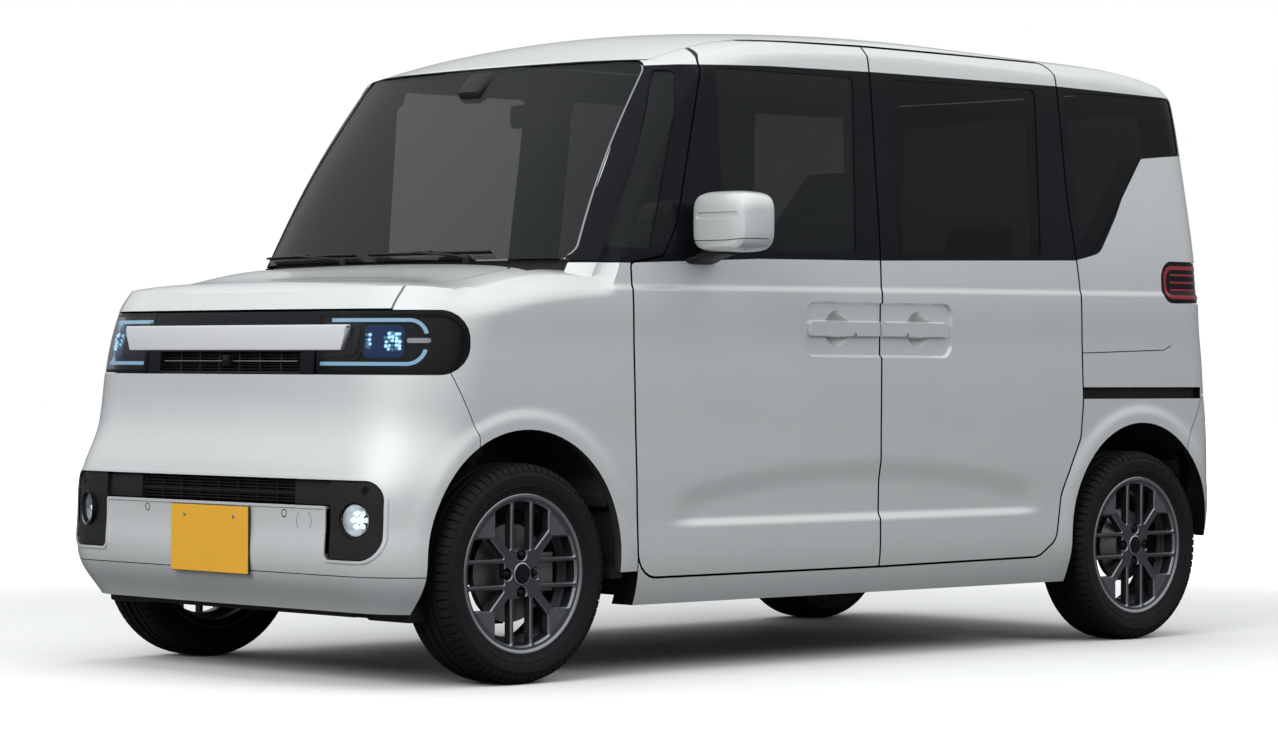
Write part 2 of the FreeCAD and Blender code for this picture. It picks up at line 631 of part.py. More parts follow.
# Cowl panel between the hood and the windscreen
COWL_REAR_SHARE = -0.56
COWL_LOW_SHARE = 0.55
SCREEN_FOOT_SHARE = 0.6150
SCREEN_HEAD_SHARE = 0.9200
SCREEN_BACK_SHARE = -0.2
SCREEN_OUTLINE_SHARES = [(-0.885, SCREEN_FOOT_SHARE, 0.020), (0.885, SCREEN_FOOT_SHARE, 0.020),
                         (0.790, SCREEN_HEAD_SHARE, 0.022), (-0.790, SCREEN_HEAD_SHARE, 0.022)]
cowl_half = size("hood_half_width") + size("cowl_lap")
cowl_rear = COWL_REAR_SHARE * half_length
cowl_corners = [(-cowl_half, hood_rear, 0), (cowl_half, hood_rear, 0), (cowl_half, cowl_rear, 0),
                (-cowl_half, cowl_rear, 0)]


def screen_zone(grow):
    corners = [(a * half_width, b * height, r * height) for a, b, r in SCREEN_OUTLINE_SHARES]
    return prism(corners, front_plane, -far, SCREEN_BACK_SHARE * half_length, grow)


cowl_low = COWL_LOW_SHARE * height
cowl_top = SCREEN_FOOT_SHARE * height
cowl_zone = prism(cowl_corners, top_plane, cowl_low, cowl_top)
cowl_inner = envelope(size("hood_thickness") + size("cowl_thickness"))
cowl = hood_inner.common(prism(cowl_corners, top_plane, cowl_low, cowl_top - joint, -joint)).cut(cowl_inner)
cowl = largest(cowl.cut(hood_zone(gap)))
lug = size("hinge_lug")
pin_radius = size("hinge_radius")
pin_length = size("hinge_length")
for sign in (-1, 1):
    middle = sign * size("hood_hinge_x")
    left = middle - pin_length / 2
    pin = tube(pin_radius, pin_length, V(left, hood_rear, size("hood_hinge_z")), V(1, 0, 0))
    base = block(left, left + pin_length, hood_rear + pin_radius / 2, hood_rear + lug,
                 size("hood_hinge_z") - lug, size("hood_hinge_z"))
    cowl = cowl.fuse([pin, base])
keep("cowl_panel", cowl)

# Roof panel
ROOF_SEAM_SHARES = (0.72, 0.78)
ROOF_TURN_SHARE = -0.2
ROOF_LOW_SHARE = 0.9215
seam_front, seam_rear = (share * half_width for share in ROOF_SEAM_SHARES)
seam_turn = ROOF_TURN_SHARE * half_length
roof_corners = [(-seam_front, -far, 0), (seam_front, -far, 0), (seam_rear, seam_turn, size("roof_shoulder")),
                (seam_rear, far, 0), (-seam_rear, far, 0), (-seam_rear, seam_turn, size("roof_shoulder"))]


def roof_zone(grow):
    return prism(roof_corners, top_plane, ROOF_LOW_SHARE * height - grow, height + overrun, grow)


roof_inner = envelope(size("roof_thickness"))
roof = outer.common(roof_zone(-joint)).cut(roof_inner).cut(screen_zone(joint))
roof_blank = largest(roof)

# Windscreen
windscreen = pane_in(screen_zone(-joint))
keep("windscreen", largest(windscreen))

# Tailgate
GATE_TURN_SHARE = 0.75
GATE_FRONT_SHARE = 0.885
GATE_GLASS_FRONT_SHARE = 0.75
gate_low = size("gate_half_width")
gate_high = size("gate_top_half_width")
gate_corner = size("gate_corner")
gate_turn = GATE_TURN_SHARE * height
gate_corners = [(-gate_low, size("gate_bottom"), gate_corner), (gate_low, size("gate_bottom"), gate_corner),
                (gate_low, gate_turn, size("gate_side_round")), (gate_high, size("gate_top"), gate_corner),
                (-gate_high, size("gate_top"), gate_corner), (-gate_low, gate_turn, size("gate_side_round"))]
glass_low = gate_low - size("gate_frame")
glass_high = gate_high - size("gate_frame_top")
gate_glass_corners = [(-glass_low, size("gate_glass_bottom"), gate_corner),
                      (glass_low, size("gate_glass_bottom"), gate_corner),
                      (glass_high, size("gate_glass_top"), gate_corner),
                      (-glass_high, size("gate_glass_top"), gate_corner)]


def gate_zone(grow):
    return prism(gate_corners, front_plane, GATE_FRONT_SHARE * half_length, far, grow)


def gate_window(grow):
    return prism(gate_glass_corners, front_plane, GATE_GLASS_FRONT_SHARE * half_length, far, grow)


recess_half = size("recess_width") / 2
recess_corners = [(-recess_half, size("recess_bottom"), size("recess_corner")),
                  (recess_half, size("recess_bottom"), size("recess_corner")),
                  (recess_half, size("recess_top"), size("recess_corner")),
                  (-recess_half, size("recess_top"), size("recess_corner"))]
skin_recess = envelope(size("skin_recess"))
plate_recess = prism(recess_corners, front_plane, GATE_FRONT_SHARE * half_length, far).cut(skin_recess)
tailgate = outer.common(gate_zone(-gap)).cut(door_inner).cut(gate_window(0)).cut(plate_recess)
keep("tailgate", largest(tailgate))
keep("tailgate_glass", largest(pane_in(gate_window(-joint))))
gate_hinge_z = size("gate_top")
roof_blank = largest(roof_blank.cut(gate_zone(gap)))
for sign in (-1, 1):
    left = sign * size("gate_hinge_x") - pin_length / 2
    pin = tube(pin_radius, pin_length, V(left, size("gate_hinge_y"), gate_hinge_z), V(1, 0, 0))
    base = block(left, left + pin_length, size("gate_hinge_y") - lug, size("gate_hinge_y"),
                 gate_hinge_z + pin_radius / 2, gate_hinge_z + lug)
    roof_blank = roof_blank.fuse([pin, base])
keep("roof", roof_blank)

# Rear lamps wrap the rear corners
TAIL_LAMP_FRONT_SHARE = 0.815
TAIL_LAMP_INNER_SHARE = 0.9
lamp_front = TAIL_LAMP_FRONT_SHARE * half_length
tail_corners = [(lamp_front, size("tail_lamp_bottom"), size("tail_lamp_corner")),
                (lamp_front, size("tail_lamp_top"), size("tail_lamp_corner")),
                (far, size("tail_lamp_top"), 0), (far, size("tail_lamp_bottom"), 0)]


def tail_zone(grow):
    return prism(tail_corners, side_plane, TAIL_LAMP_INNER_SHARE * gate_low, far, grow)


tail_lamp = glass_outer.common(tail_zone(-joint)).cut(door_inner).cut(gate_zone(gap))
keep("tail_lamps", solids(both(largest(tail_lamp))))

# Front doors, sliding doors and their panes
STOP_SHARES = [(0.16, 0.160), (0.4500, 0.160), (0.572, 0.42), (0.30, 0.955)]
stop_limit = envelope(door + size("door_seal_gap") - size("seat_clearance"))


def sliding_stops():
    """Rollers and stops that hold a closed sliding door against its frame."""
    stops = []
    radius = size("seal_pad") / 2
    reach = wall + door * 3
    for a, b in STOP_SHARES:
        rod = tube(radius, reach, V(half_width - reach, a * half_length, b * height), V(1, 0, 0))
        stops.append(largest(rod.cut(stop_limit).common(glass_inner)))
    return stops


# Handle recess across the split of the doors: finger cups behind bars that stay flush
HANDLE_SHARES = [(-0.1196, 0.4733, 0.020), (-0.1196, 0.5589, 0.020), (0.2398, 0.5589, 0.020),
                 (0.2398, 0.4733, 0.020)]
BAR_SHARES = (-0.1120, 0.2320)
CUP_SHARES = (-0.0412, 0.1590)
cup_x = half_width - size("cup_depth") + size("cup_radius")
bar_middle = (size("handle_bar_bottom") + size("handle_bar_top")) / 2
handle_tool = side_prism(HANDLE_SHARES).cut(glass_inner)
for share in CUP_SHARES:
    cup = Part.makeSphere(size("cup_radius"), V(cup_x, share * half_length, bar_middle))
    handle_tool = handle_tool.fuse(cup)
bar_front, bar_rear = (share * half_length for share in BAR_SHARES)
handle_bars = block(half_width - size("handle_bar_thickness"), far, bar_front, bar_rear,
                    size("handle_bar_bottom"), size("handle_bar_top"))
handle_tool = handle_tool.cut(handle_bars)


# Hollow along the foot of both doors: circles along the car that leave the skin at the ends
SCOOP_SHARES = [(-0.430, -0.8), (-0.300, 0.35), (-0.100, 0.9), (0.100, 1.0), (0.300, 0.6), (0.440, -0.8)]
SCOOP_SKIN_SHARE = 0.9935


def scoop():
    radius = size("scoop_radius")
    rings = []
    for along, deep in SCOOP_SHARES:
        bow = SIDE_BOW_SHARES[0] * half_width * along ** 2
        x = SCOOP_SKIN_SHARE * half_width - bow + radius - deep * size("scoop_depth")
        ring = Part.makeCircle(radius, V(x, along * half_length, size("scoop_height")), V(0, 1, 0))
        rings.append(Part.Wire(ring))
    return Part.makeLoft(rings, True)


door_scoop = scoop()


for name, shares, window in (("door", FRONT_DOOR_SHARES, FRONT_WINDOW_SHARES),
                             ("sliding_door", SLIDING_DOOR_SHARES, SLIDING_WINDOW_SHARES)):
    panel = outer.common(side_prism(shares, -gap)).cut(door_inner).cut(side_prism(window))
    panel = largest(panel.cut(roof_zone(gap)))
    panel = largest(panel.cut(handle_tool).cut(door_scoop))
    if name == "sliding_door":
        panel = panel.fuse(sliding_stops())
    keep(name + "_left", panel)
    keep(name + "_right", mirrored(panel))
door_pane = largest(pane_in(side_prism(FRONT_WINDOW_SHARES, -joint)))
keep("door_glass_left", door_pane)
keep("door_glass_right", mirrored(door_pane))
fixed_panes = []
for window in (SLIDING_WINDOW_SHARES, QUARTER_WINDOW_SHARES):
    fixed_panes += both(largest(pane_in(side_prism(window, -joint))))
pillar_zone = screen_zone(size("screen_pillar"))
quarter_pane = pane_in(side_prism(FRONT_QUARTER_SHARES, -joint))
quarter_pane = quarter_pane.cut(screen_zone(size("screen_pillar") + joint))
fixed_panes += both(largest(quarter_pane))
keep("side_glass", solids(fixed_panes))

# Fenders
fender_zone = side_prism(FENDER_SHARES, -joint)
fender = outer.common(fender_zone).cut(fender_inner)
fender = carve(fender, [hood_zone(gap), band_zone, well_front, cowl_zone, screen_zone(joint),
                        side_prism(FRONT_DOOR_SHARES, gap)])
fender = largest(fender)
hinge_run = (HINGE_HIGH_SHARES[0] - HINGE_LOW_SHARES[0]) * half_length
hinge_rise = (HINGE_HIGH_SHARES[1] - HINGE_LOW_SHARES[1]) * height
hinge_axis = V(0, hinge_run, hinge_rise)
hinge_axis.normalize()
hinge_foot = HINGE_LOW_SHARES[0] * half_length
for level in (size("door_hinge_low"), size("door_hinge_high")):
    along = hinge_foot + (level - HINGE_LOW_SHARES[1] * height) * hinge_run / hinge_rise
    centre = V(size("door_hinge_x"), along, level)
    pin = tube(pin_radius, pin_length, centre - hinge_axis * (pin_length / 2), hinge_axis)
    base = block(size("door_hinge_x") - lug, size("door_hinge_x"), along - lug, along - pin_radius / 2,
                 level - lug / 2, level + lug / 2)
    fender = fender.fuse([pin, base])
keep("fender_left", fender)
keep("fender_right", mirrored(fender))

# Front bumper with the lower air slot and the fog lamp pods cut into it
pod_in = size("pod_inner")
pod_out = size("pod_outer")
pod_half_outline = [(pod_in, size("slot_bottom"), size("slot_corner")),
                    (pod_in, size("pod_bottom"), size("pod_inner_corner")),
                    (pod_out, size("pod_bottom"), size("pod_low_corner")),
                    (pod_out, size("slot_top"), size("pod_high_corner"))]
insert_corners = pod_half_outline + [(-a, b, r) for a, b, r in reversed(pod_half_outline)]


def insert_zone(grow):
    return prism(insert_corners, front_plane, -far, NOSE_TO_SHARE * half_length, grow)


bumper_inner = envelope(size("bumper_thickness"))
bumper_shape = prism(scaled(BUMPER_SHARES), side_plane, -far, far, -joint)
bumper = outer.common(bumper_shape).cut(bumper_inner)
bumper = carve(bumper, [band_zone, insert_zone(joint), well_front, mirrored(well_front)])
bumper = largest(bumper)
boss_half = size("plate_boss_half_width")
boss_tall = size("plate_boss_half_height")
boss_z = size("plate_height")
boss_face = -half_length + size("plate_boss_set")
boss_back = boss_face + size("bumper_thickness") + size("plate_boss_depth")
boss = block(-boss_half, boss_half, boss_face, boss_back, boss_z - boss_tall, boss_z + boss_tall)
flat_front = block(-boss_half, boss_half, -far, boss_face, boss_z - boss_tall, boss_z + boss_tall)
bumper = bumper.cut(flat_front).fuse(boss)
for sign in (-1, 1):
    hole = tube(size("plate_hole_diameter") / 2, far, V(sign * size("plate_hole_spacing") / 2, -far, boss_z),
                V(0, 1, 0))
    bumper = bumper.cut(hole)
keep("front_bumper", largest(bumper))


def window_row(half_run, pitch, web, low, high):
    """Row of windows along the nose, with a web between each two."""
    count = int(2 * half_run / pitch)
    first = -count * pitch / 2
    windows = []
    for i in range(count):
        left = first + i * pitch + web / 2
        windows.append(block(left, left + pitch - web, -far, NOSE_TO_SHARE * half_length, low, high))
    return windows


# Lower grille between the fog lamp pods: two rows of windows, a groove round each fog lamp
mesh_web = size("mesh_web")
slot_middle = (size("slot_bottom") + size("slot_top")) / 2
slot_rows = []
for low in (slot_middle - mesh_web / 2 - size("slot_window_height"), slot_middle + mesh_web / 2):
    slot_rows += window_row(pod_in, size("slot_window_pitch"), mesh_web, low, low + size("slot_window_height"))
lower_grille = glass_outer.common(insert_zone(-joint)).cut(envelope(size("insert_depth")))
lower_grille = lower_grille.cut(Part.makeCompound(slot_rows))
fog_radius = size("fog_diameter") / 2
fog_place = V(size("fog_offset"), -far, size("fog_height"))
fog_run = far + NOSE_TO_SHARE * half_length
fog_ring = tube(fog_radius + size("fog_groove"), fog_run, fog_place, V(0, 1, 0))
fog_ring = fog_ring.cut(tube(fog_radius, fog_run, fog_place, V(0, 1, 0)))
fog_ring = fog_ring.cut(envelope(size("glass_recess") + size("fog_depth")))
lower_grille = carve(lower_grille, both(fog_ring))
keep("lower_grille", largest(lower_grille))

# Head lamps, the panel between them and the bright bar
lamp_inner_env = envelope(size("lamp_depth"))
headlamp = glass_outer.common(lamp_prism(0)).cut(lamp_inner_env)
headlamp = headlamp.cut(block(-far, size("lamp_inner"), -far, 0, 0, height))
line_edge = size("light_line_edge")
line_inner = line_edge + size("light_line_width")
light_line = lamp_prism(-line_edge).cut(lamp_prism(-line_inner))
light_line = light_line.cut(envelope(size("glass_recess") + size("light_line_depth")))
lens_radius = size("projector_diameter") / 2
lens_place = V(size("projector_x"), -far, lamp_middle)
lens_well = tube(lens_radius, fog_run, lens_place, V(0, 1, 0))
lens_well = lens_well.cut(envelope(size("glass_recess") + size("projector_depth")))
headlamp = carve(headlamp, [light_line, lens_well])
keep("headlamps", solids(both(largest(headlamp))))
panel_half = size("lamp_inner") - joint * 2
panel_zone = block(-panel_half, panel_half, -far, NOSE_TO_SHARE * half_length,
                   size("lamp_bottom"), size("lamp_top"))
front_panel = glass_outer.common(panel_zone).cut(bumper_inner)
mesh_windows = window_row(panel_half - size("bar_corner"), size("mesh_pitch"), mesh_web,
                          size("mesh_bottom"), size("mesh_top"))
front_panel = front_panel.cut(Part.makeCompound(mesh_windows))
keep("upper_grille", largest(front_panel))
bar_half_outline = [(size("bar_half_length"), size("bar_bottom"), size("bar_corner")),
                    (size("bar_half_length"), size("bar_top"), size("bar_corner"))]
bar_outline = bar_half_outline + [(-a, b, r) for a, b, r in reversed(bar_half_outline)]
bar_zone = prism(bar_outline, front_plane, -far, NOSE_TO_SHARE * half_length)
bar = envelope(-size("bar_stand")).common(bar_zone).cut(envelope(size("glass_recess") - size("seat_clearance")))
keep("grille_bar", largest(bar))

# Rear bumper
rear_shape = prism(scaled(REAR_BUMPER_SHARES), side_plane, -far, far, -joint)
rear_bumper = outer.common(rear_shape).cut(bumper_inner)
rear_bumper = carve(rear_bumper, [well_rear, mirrored(well_rear), gate_zone(gap)])
keep("rear_bumper", largest(rear_bumper))

# Body sides: pillars, sills, roof rails and rear quarters in one pressing
SIDE_SHARES = [(*HINGE_LOW_SHARES, 0.0), (*HINGE_HIGH_SHARES, 0.0), (-0.70, SCREEN_FOOT_SHARE, 0.0),
               (-0.70, 1.05, 0.0), (1.05, 1.05, 0.0), (1.05, 0.4128, 0.0), (0.9379, 0.4128, 0.0),
               (0.8884, 0.3289, 0.0), (0.8884, 0.1039, 0.0)]
RAIL_SHARES = [(0.592, 0.4070, 0.008), (0.592, 0.4265, 0.008), (0.932, 0.4265, 0.008),
               (0.932, 0.4070, 0.008)]
side = outer.common(side_prism(SIDE_SHARES, -joint)).cut(wall_inner)
side = carve(side, [screen_zone(joint), roof_zone(joint), cowl_zone, gate_zone(gap), well_rear,
                    tail_zone(joint), side_prism(QUARTER_WINDOW_SHARES),
                    side_prism(FRONT_QUARTER_SHARES).cut(pillar_zone),
                    side_prism(RAIL_SHARES).cut(skin_recess)])
for shares in (FRONT_DOOR_SHARES, SLIDING_DOOR_SHARES):
    pocket = side_prism(shares, gap).cut(door_seat)
    aperture = side_prism(shares, -size("door_flange"))
    side = carve(side, [pocket, aperture])
side = largest(side)
keep("body_side_left", side)
keep("body_side_right", mirrored(side))


# Pieces bound to the sheet by expressions
def add(kind, name, **expressions):
    """Document object whose properties follow the sheet; x, y and z set its place."""
    piece = doc.addObject(kind, name)
    for prop, expression in expressions.items():
        path = {"x": "Placement.Base.x", "y": "Placement.Base.y", "z": "Placement.Base.z"}.get(prop, prop)
        piece.setExpression(path, expression)
    return piece


def node(piece, label):
    piece.Label = label
    shelf[label] = piece
    return piece


def round_all(piece, name, radius):
    """The piece with every edge rounded."""
    doc.recompute()
    fillet = doc.addObject("Part::Fillet", name)
    fillet.Base = piece
    fillet.Edges = [(i + 1, radius, radius) for i in range(len(piece.Shape.Edges))]
    return fillet


FRONT_AXLE = "(-sizes.overall_length / 2 + sizes.front_overhang)"
REAR_AXLE = "(-sizes.overall_length / 2 + sizes.front_overhang + sizes.wheelbase)"
AXLE_HEIGHT = "sizes.tyre_diameter / 2"
WHEEL_X = "sizes.track_width / 2"


def origin_plane(body, role):
    return [feature for feature in body.Origin.OriginFeatures if feature.Role == role][0]


def sketch_loop(sketch, points):
    """Closed run of straight lines through the points."""
    for i in range(len(points)):
        a = points[i]
        b = points[(i + 1) % len(points)]
        sketch.addGeometry(Part.LineSegment(V(a[0], a[1], 0), V(b[0], b[1], 0)), False)


def turned_body(label, points):
    """Body revolved about its own Z axis from points of radius and height."""
    body = doc.addObject("PartDesign::Body", label)
    sketch = body.newObject("Sketcher::SketchObject", label + "_profile")
    sketch.AttachmentSupport = [(origin_plane(body, "XZ_Plane"), "")]
    sketch.MapMode = "FlatFace"
    sketch_loop(sketch, points)
    turn = body.newObject("PartDesign::Revolution", label + "_turn")
    turn.Profile = sketch
    turn.ReferenceAxis = (sketch, ["V_Axis"])
    turn.setExpression("Angle", "360")
    doc.recompute()
    return body


def wheel_place(body, side, axle_expression):
    """Turn a body's axis across the car and set it on a wheel's centre."""
    turn = FreeCAD.Rotation(V(0, 1, 0), 90 * side)
    body.Placement = FreeCAD.Placement(V(0, 0, 0), turn)
    body.setExpression("Placement.Base.x", "%d * %s" % (side, WHEEL_X))
    body.setExpression("Placement.Base.y", axle_expression)
    body.setExpression("Placement.Base.z", AXLE_HEIGHT)


rim_radius = size("rim_diameter") / 2
rim_half = size("rim_width") / 2
rim_wall = size("rim_wall")
bead = rim_radius - size("rim_lip")
well = bead - size("rim_drop")
face_back = size("rim_offset")
face_front = face_back + size("spoke_depth")
lip = size("rim_lip")
hub_radius = size("hub_diameter") / 2
cap_radius = size("cap_diameter") / 2
dish = face_front - size("face_dish")
# Points of radius and height: back of the face, inside of the barrel, drop well, bead seats,
# outer flange and the face with its cap.
RIM_PROFILE = [
    (0, face_back), (hub_radius, face_back), (well - rim_wall, face_back - rim_wall),
    (well - rim_wall, -rim_wall), (bead - rim_wall, -rim_wall * 4), (bead - rim_wall, -rim_half + lip),
    (rim_radius - rim_wall / 2, -rim_half), (rim_radius, -rim_half), (rim_radius, -rim_half + rim_wall),
    (bead, -rim_half + lip), (bead, -rim_wall * 4), (well, -rim_wall), (well, rim_wall * 3),
    (bead, rim_wall * 4.5), (bead, rim_half - lip), (rim_radius, rim_half - rim_wall), (rim_radius, rim_half),
    (rim_radius - rim_wall, rim_half), (bead - rim_wall / 2, face_front + size("face_crown")),
    (hub_radius, dish),
    (cap_radius + size("cap_groove"), dish), (cap_radius, face_front), (0, face_front)]
tread = size("tyre_diameter") / 2
tyre_half = size("tyre_width") / 2
tyre_wall = size("tyre_wall")
fit = size("seat_clearance")
side_tall = tread - rim_radius
# Side wall from the flange to the tread: shares of its height, then of half the tyre's width.
SIDE_WALL_SHARES = [(0.42, 1.0), (0.78, 0.94), (0.93, 0.82), (1.0, 0.62)]
SIDE_WALL_INNER_SHARES = [(0.70, 0.94), (0.42, 1.0)]
BEAD_SHARE = 0.6
TYRE_HALF_PROFILE = [
    (bead + fit, rim_half - lip - tyre_wall * 2), (bead + fit, rim_half - lip - fit),
    (rim_radius + fit, rim_half - rim_wall - fit), (rim_radius + lip * BEAD_SHARE, rim_half)]
TYRE_HALF_PROFILE += [(rim_radius + side_tall * a, tyre_half * b) for a, b in SIDE_WALL_SHARES]
TYRE_INNER = [(tread - tyre_wall, tyre_half * SIDE_WALL_SHARES[-1][1])]
TYRE_INNER += [(rim_radius + side_tall * a, tyre_half * b - tyre_wall) for a, b in SIDE_WALL_INNER_SHARES]
TYRE_INNER.append((rim_radius + lip * BEAD_SHARE, rim_half - tyre_wall))
tyre_profile = (TYRE_HALF_PROFILE + [(r, -z) for r, z in reversed(TYRE_HALF_PROFILE)]
                + [(r, -z) for r, z in reversed(TYRE_INNER)] + list(TYRE_INNER))

spoke_gap = size("spoke_gap") / 2
bar_outer = spoke_gap + size("spoke_bar")
web = size("web_edge")
slant = size("diagonal_spoke") / 2 / diagonal_share
window_end = size("window_radius")
cap_clear = hub_radius - size("window_inset")


def add_window(sketch, side):
    """Window between a bar and its diagonal spoke, closed by an arc at the rim."""
    low = bar_outer + slant
    top_in = math.sqrt(window_end ** 2 - bar_outer ** 2)
    top_out = math.sqrt(window_end ** 2 - web ** 2)
    middle = (bar_outer + web) / 2
    top_mid = math.sqrt(window_end ** 2 - middle ** 2)
    a = V(side * bar_outer, low, 0)
    b = V(side * bar_outer, top_in, 0)
    c = V(side * web, top_out, 0)
    d = V(side * web, web + slant, 0)
    sketch.addGeometry(Part.LineSegment(a, b), False)
    sketch.addGeometry(Part.Arc(b, V(side * middle, top_mid, 0), c), False)
    sketch.addGeometry(Part.LineSegment(c, d), False)
    sketch.addGeometry(Part.LineSegment(d, a), False)


def make_rim(label, side, axle_expression):
    """Wheel rim: turned section, then the windows of one quarter cut and repeated round it."""
    body = turned_body(label, RIM_PROFILE)
    sketch = body.newObject("Sketcher::SketchObject", label + "_windows")
    sketch.AttachmentSupport = [(origin_plane(body, "XY_Plane"), "")]
    sketch.MapMode = "FlatFace"
    top = math.sqrt(window_end ** 2 - spoke_gap ** 2)
    a, b = V(-spoke_gap, cap_clear, 0), V(-spoke_gap, top, 0)
    c, d = V(spoke_gap, top, 0), V(spoke_gap, cap_clear, 0)
    sketch.addGeometry(Part.LineSegment(a, b), False)
    sketch.addGeometry(Part.Arc(b, V(0, window_end, 0), c), False)
    sketch.addGeometry(Part.LineSegment(c, d), False)
    sketch.addGeometry(Part.LineSegment(d, a), False)
    add_window(sketch, 1)
    add_window(sketch, -1)
    pocket = body.newObject("PartDesign::Pocket", label + "_cut")
    pocket.Profile = sketch
    pocket.Type = "Length"
    pocket.Reversed = True
    pocket.setExpression("Length", "sizes.rim_width")
    doc.recompute()
    pattern = body.newObject("PartDesign::PolarPattern", label + "_pattern")
    pattern.Originals = [pocket]
    pattern.Axis = (sketch, ["N_Axis"])
    pattern.Angle = 360
    pattern.Occurrences = 4
    body.Tip = pattern
    doc.recompute()
    wheel_place(body, side, axle_expression)
    return node(body, label)


disc_half = size("disc_thickness") / 2
hub_face = face_back - size("seat_clearance")
disc_plane = hub_face - size("disc_set_in")
spindle = size("spindle_diameter") / 2
spindle_end = disc_plane - size("spindle_length")
disc_radius = size("disc_diameter") / 2
DISC_PROFILE = [(0, spindle_end), (spindle, spindle_end), (spindle, disc_plane - disc_half),
                (disc_radius, disc_plane - disc_half), (disc_radius, disc_plane + disc_half),
                (hub_radius, disc_plane + disc_half), (hub_radius, hub_face), (0, hub_face)]
drum_radius = size("drum_diameter") / 2
DRUM_PROFILE = [(0, spindle_end), (spindle, spindle_end), (spindle, disc_plane - disc_half),
                (drum_radius, disc_plane - disc_half), (drum_radius, disc_plane + disc_half),
                (hub_radius, hub_face), (0, hub_face)]
for end, axle_expression in (("front", FRONT_AXLE), ("rear", REAR_AXLE)):
    for name, side in (("left", 1), ("right", -1)):
        make_rim("rim_%s_%s" % (end, name), side, axle_expression)
        tyre = turned_body("tyre_%s_%s" % (end, name), tyre_profile)
        wheel_place(tyre, side, axle_expression)
        node(tyre, "tyre_%s_%s" % (end, name))
        kind, profile = ("brake_disc", DISC_PROFILE) if end == "front" else ("brake_drum", DRUM_PROFILE)
        brake = turned_body("%s_%s" % (kind, name), profile)
        wheel_place(brake, side, axle_expression)
        node(brake, "%s_%s" % (kind, name))

# Hub carriers: a bored boss for the spindle, the post on the steering axis, the steering arm
# and the caliper over the disc.
disc_clear = size("disc_clearance")
disc_back = wheel_centre + disc_plane - disc_half - disc_clear
carrier_length = size("spindle_length") - disc_half - disc_clear
carrier_start = disc_back - carrier_length
kingpin = wheel_centre - size("kingpin_offset")
boss_radius = spindle + size("carrier_wall")
post = size("post_radius")


carrier = tube(boss_radius, carrier_length, V(carrier_start, front_axle, wheel_height), V(1, 0, 0))
pin = tube(post, size("post_reach") * 2, V(kingpin, front_axle, wheel_height - size("post_reach")), V(0, 0, 1))
arm = block(kingpin - post, kingpin + post, front_axle, front_axle + size("steering_arm"),
            wheel_height - post * 3, wheel_height - post * 1.6)
carrier = carrier.fuse([pin, arm])
bore = tube(spindle + size("bearing_clearance"), far, V(0, front_axle, wheel_height), V(1, 0, 0))
CALIPER_SHARES = (0.27, 0.56)
CALIPER_TALL_SHARE = 0.2
BRACKET_SHARE = 0.4
disc_wide = size("disc_diameter")
caliper_near, caliper_far = (front_axle + share * disc_wide for share in CALIPER_SHARES)
caliper_tall = disc_wide * CALIPER_TALL_SHARE
caliper = block(disc_back - post, disc_back + (disc_half + disc_clear) * 2 + post / 2, caliper_near,
                caliper_far, wheel_height - caliper_tall, wheel_height + caliper_tall)
caliper = caliper.makeFillet(post / 4, caliper.Edges)
slot = tube(disc_radius + disc_clear, (disc_half + disc_clear) * 2,
            V(disc_back, front_axle, wheel_height), V(1, 0, 0))
bracket = block(carrier_start, disc_back, front_axle, front_axle + disc_wide * BRACKET_SHARE,
                wheel_height - post, wheel_height + post)
carrier = carrier.fuse([caliper, bracket]).cut(slot).cut(bore)
keep("knuckle_left", largest(carrier))
keep("knuckle_right", mirrored(largest(carrier)))

# Front suspension: cross member, lower arms to the hub carriers, struts with their springs
joint_z = wheel_height - size("post_reach")
arm_tall = size("arm_thickness")
ARM_TALL_SHARE = 0.6
arm_top = joint_z - fit
arm_low = arm_top - arm_tall * ARM_TALL_SHARE
sub = block(-size("subframe_half"), size("subframe_half"), front_axle - size("subframe_front"),
            front_axle + size("subframe_rear"), arm_low, size("ground_clearance") + arm_tall)
liner_radius = size("arch_radius") + size("well_clearance")
strut_top = size("arch_height") + math.sqrt(liner_radius ** 2 - (size("spring_diameter") / 2) ** 2) - fit
pieces = [sub]
for sign in (-1, 1):
    link = block(0, kingpin + post, front_axle - arm_tall / 2, front_axle + arm_tall / 2, arm_low, arm_top)
    strut_low = wheel_height + size("strut_foot")
    strut = tube(size("strut_diameter") / 2, strut_top - strut_low, V(size("strut_x"), front_axle, strut_low),
                 V(0, 0, 1))
    spring = tube(size("spring_diameter") / 2, size("spring_length"),
                  V(size("strut_x"), front_axle, strut_top - size("spring_length")), V(0, 0, 1))
    bracket_low = wheel_height + size("post_reach") + fit
    top_bracket = block(size("strut_x"), kingpin + post, front_axle - post, front_axle + post,
                        bracket_low, bracket_low + post)
    corner = link.fuse([strut, spring, top_bracket])
    pieces.append(corner if sign > 0 else mirrored(corner))
whole = pieces[0].fuse(pieces[1:])
keep("front_suspension", whole)

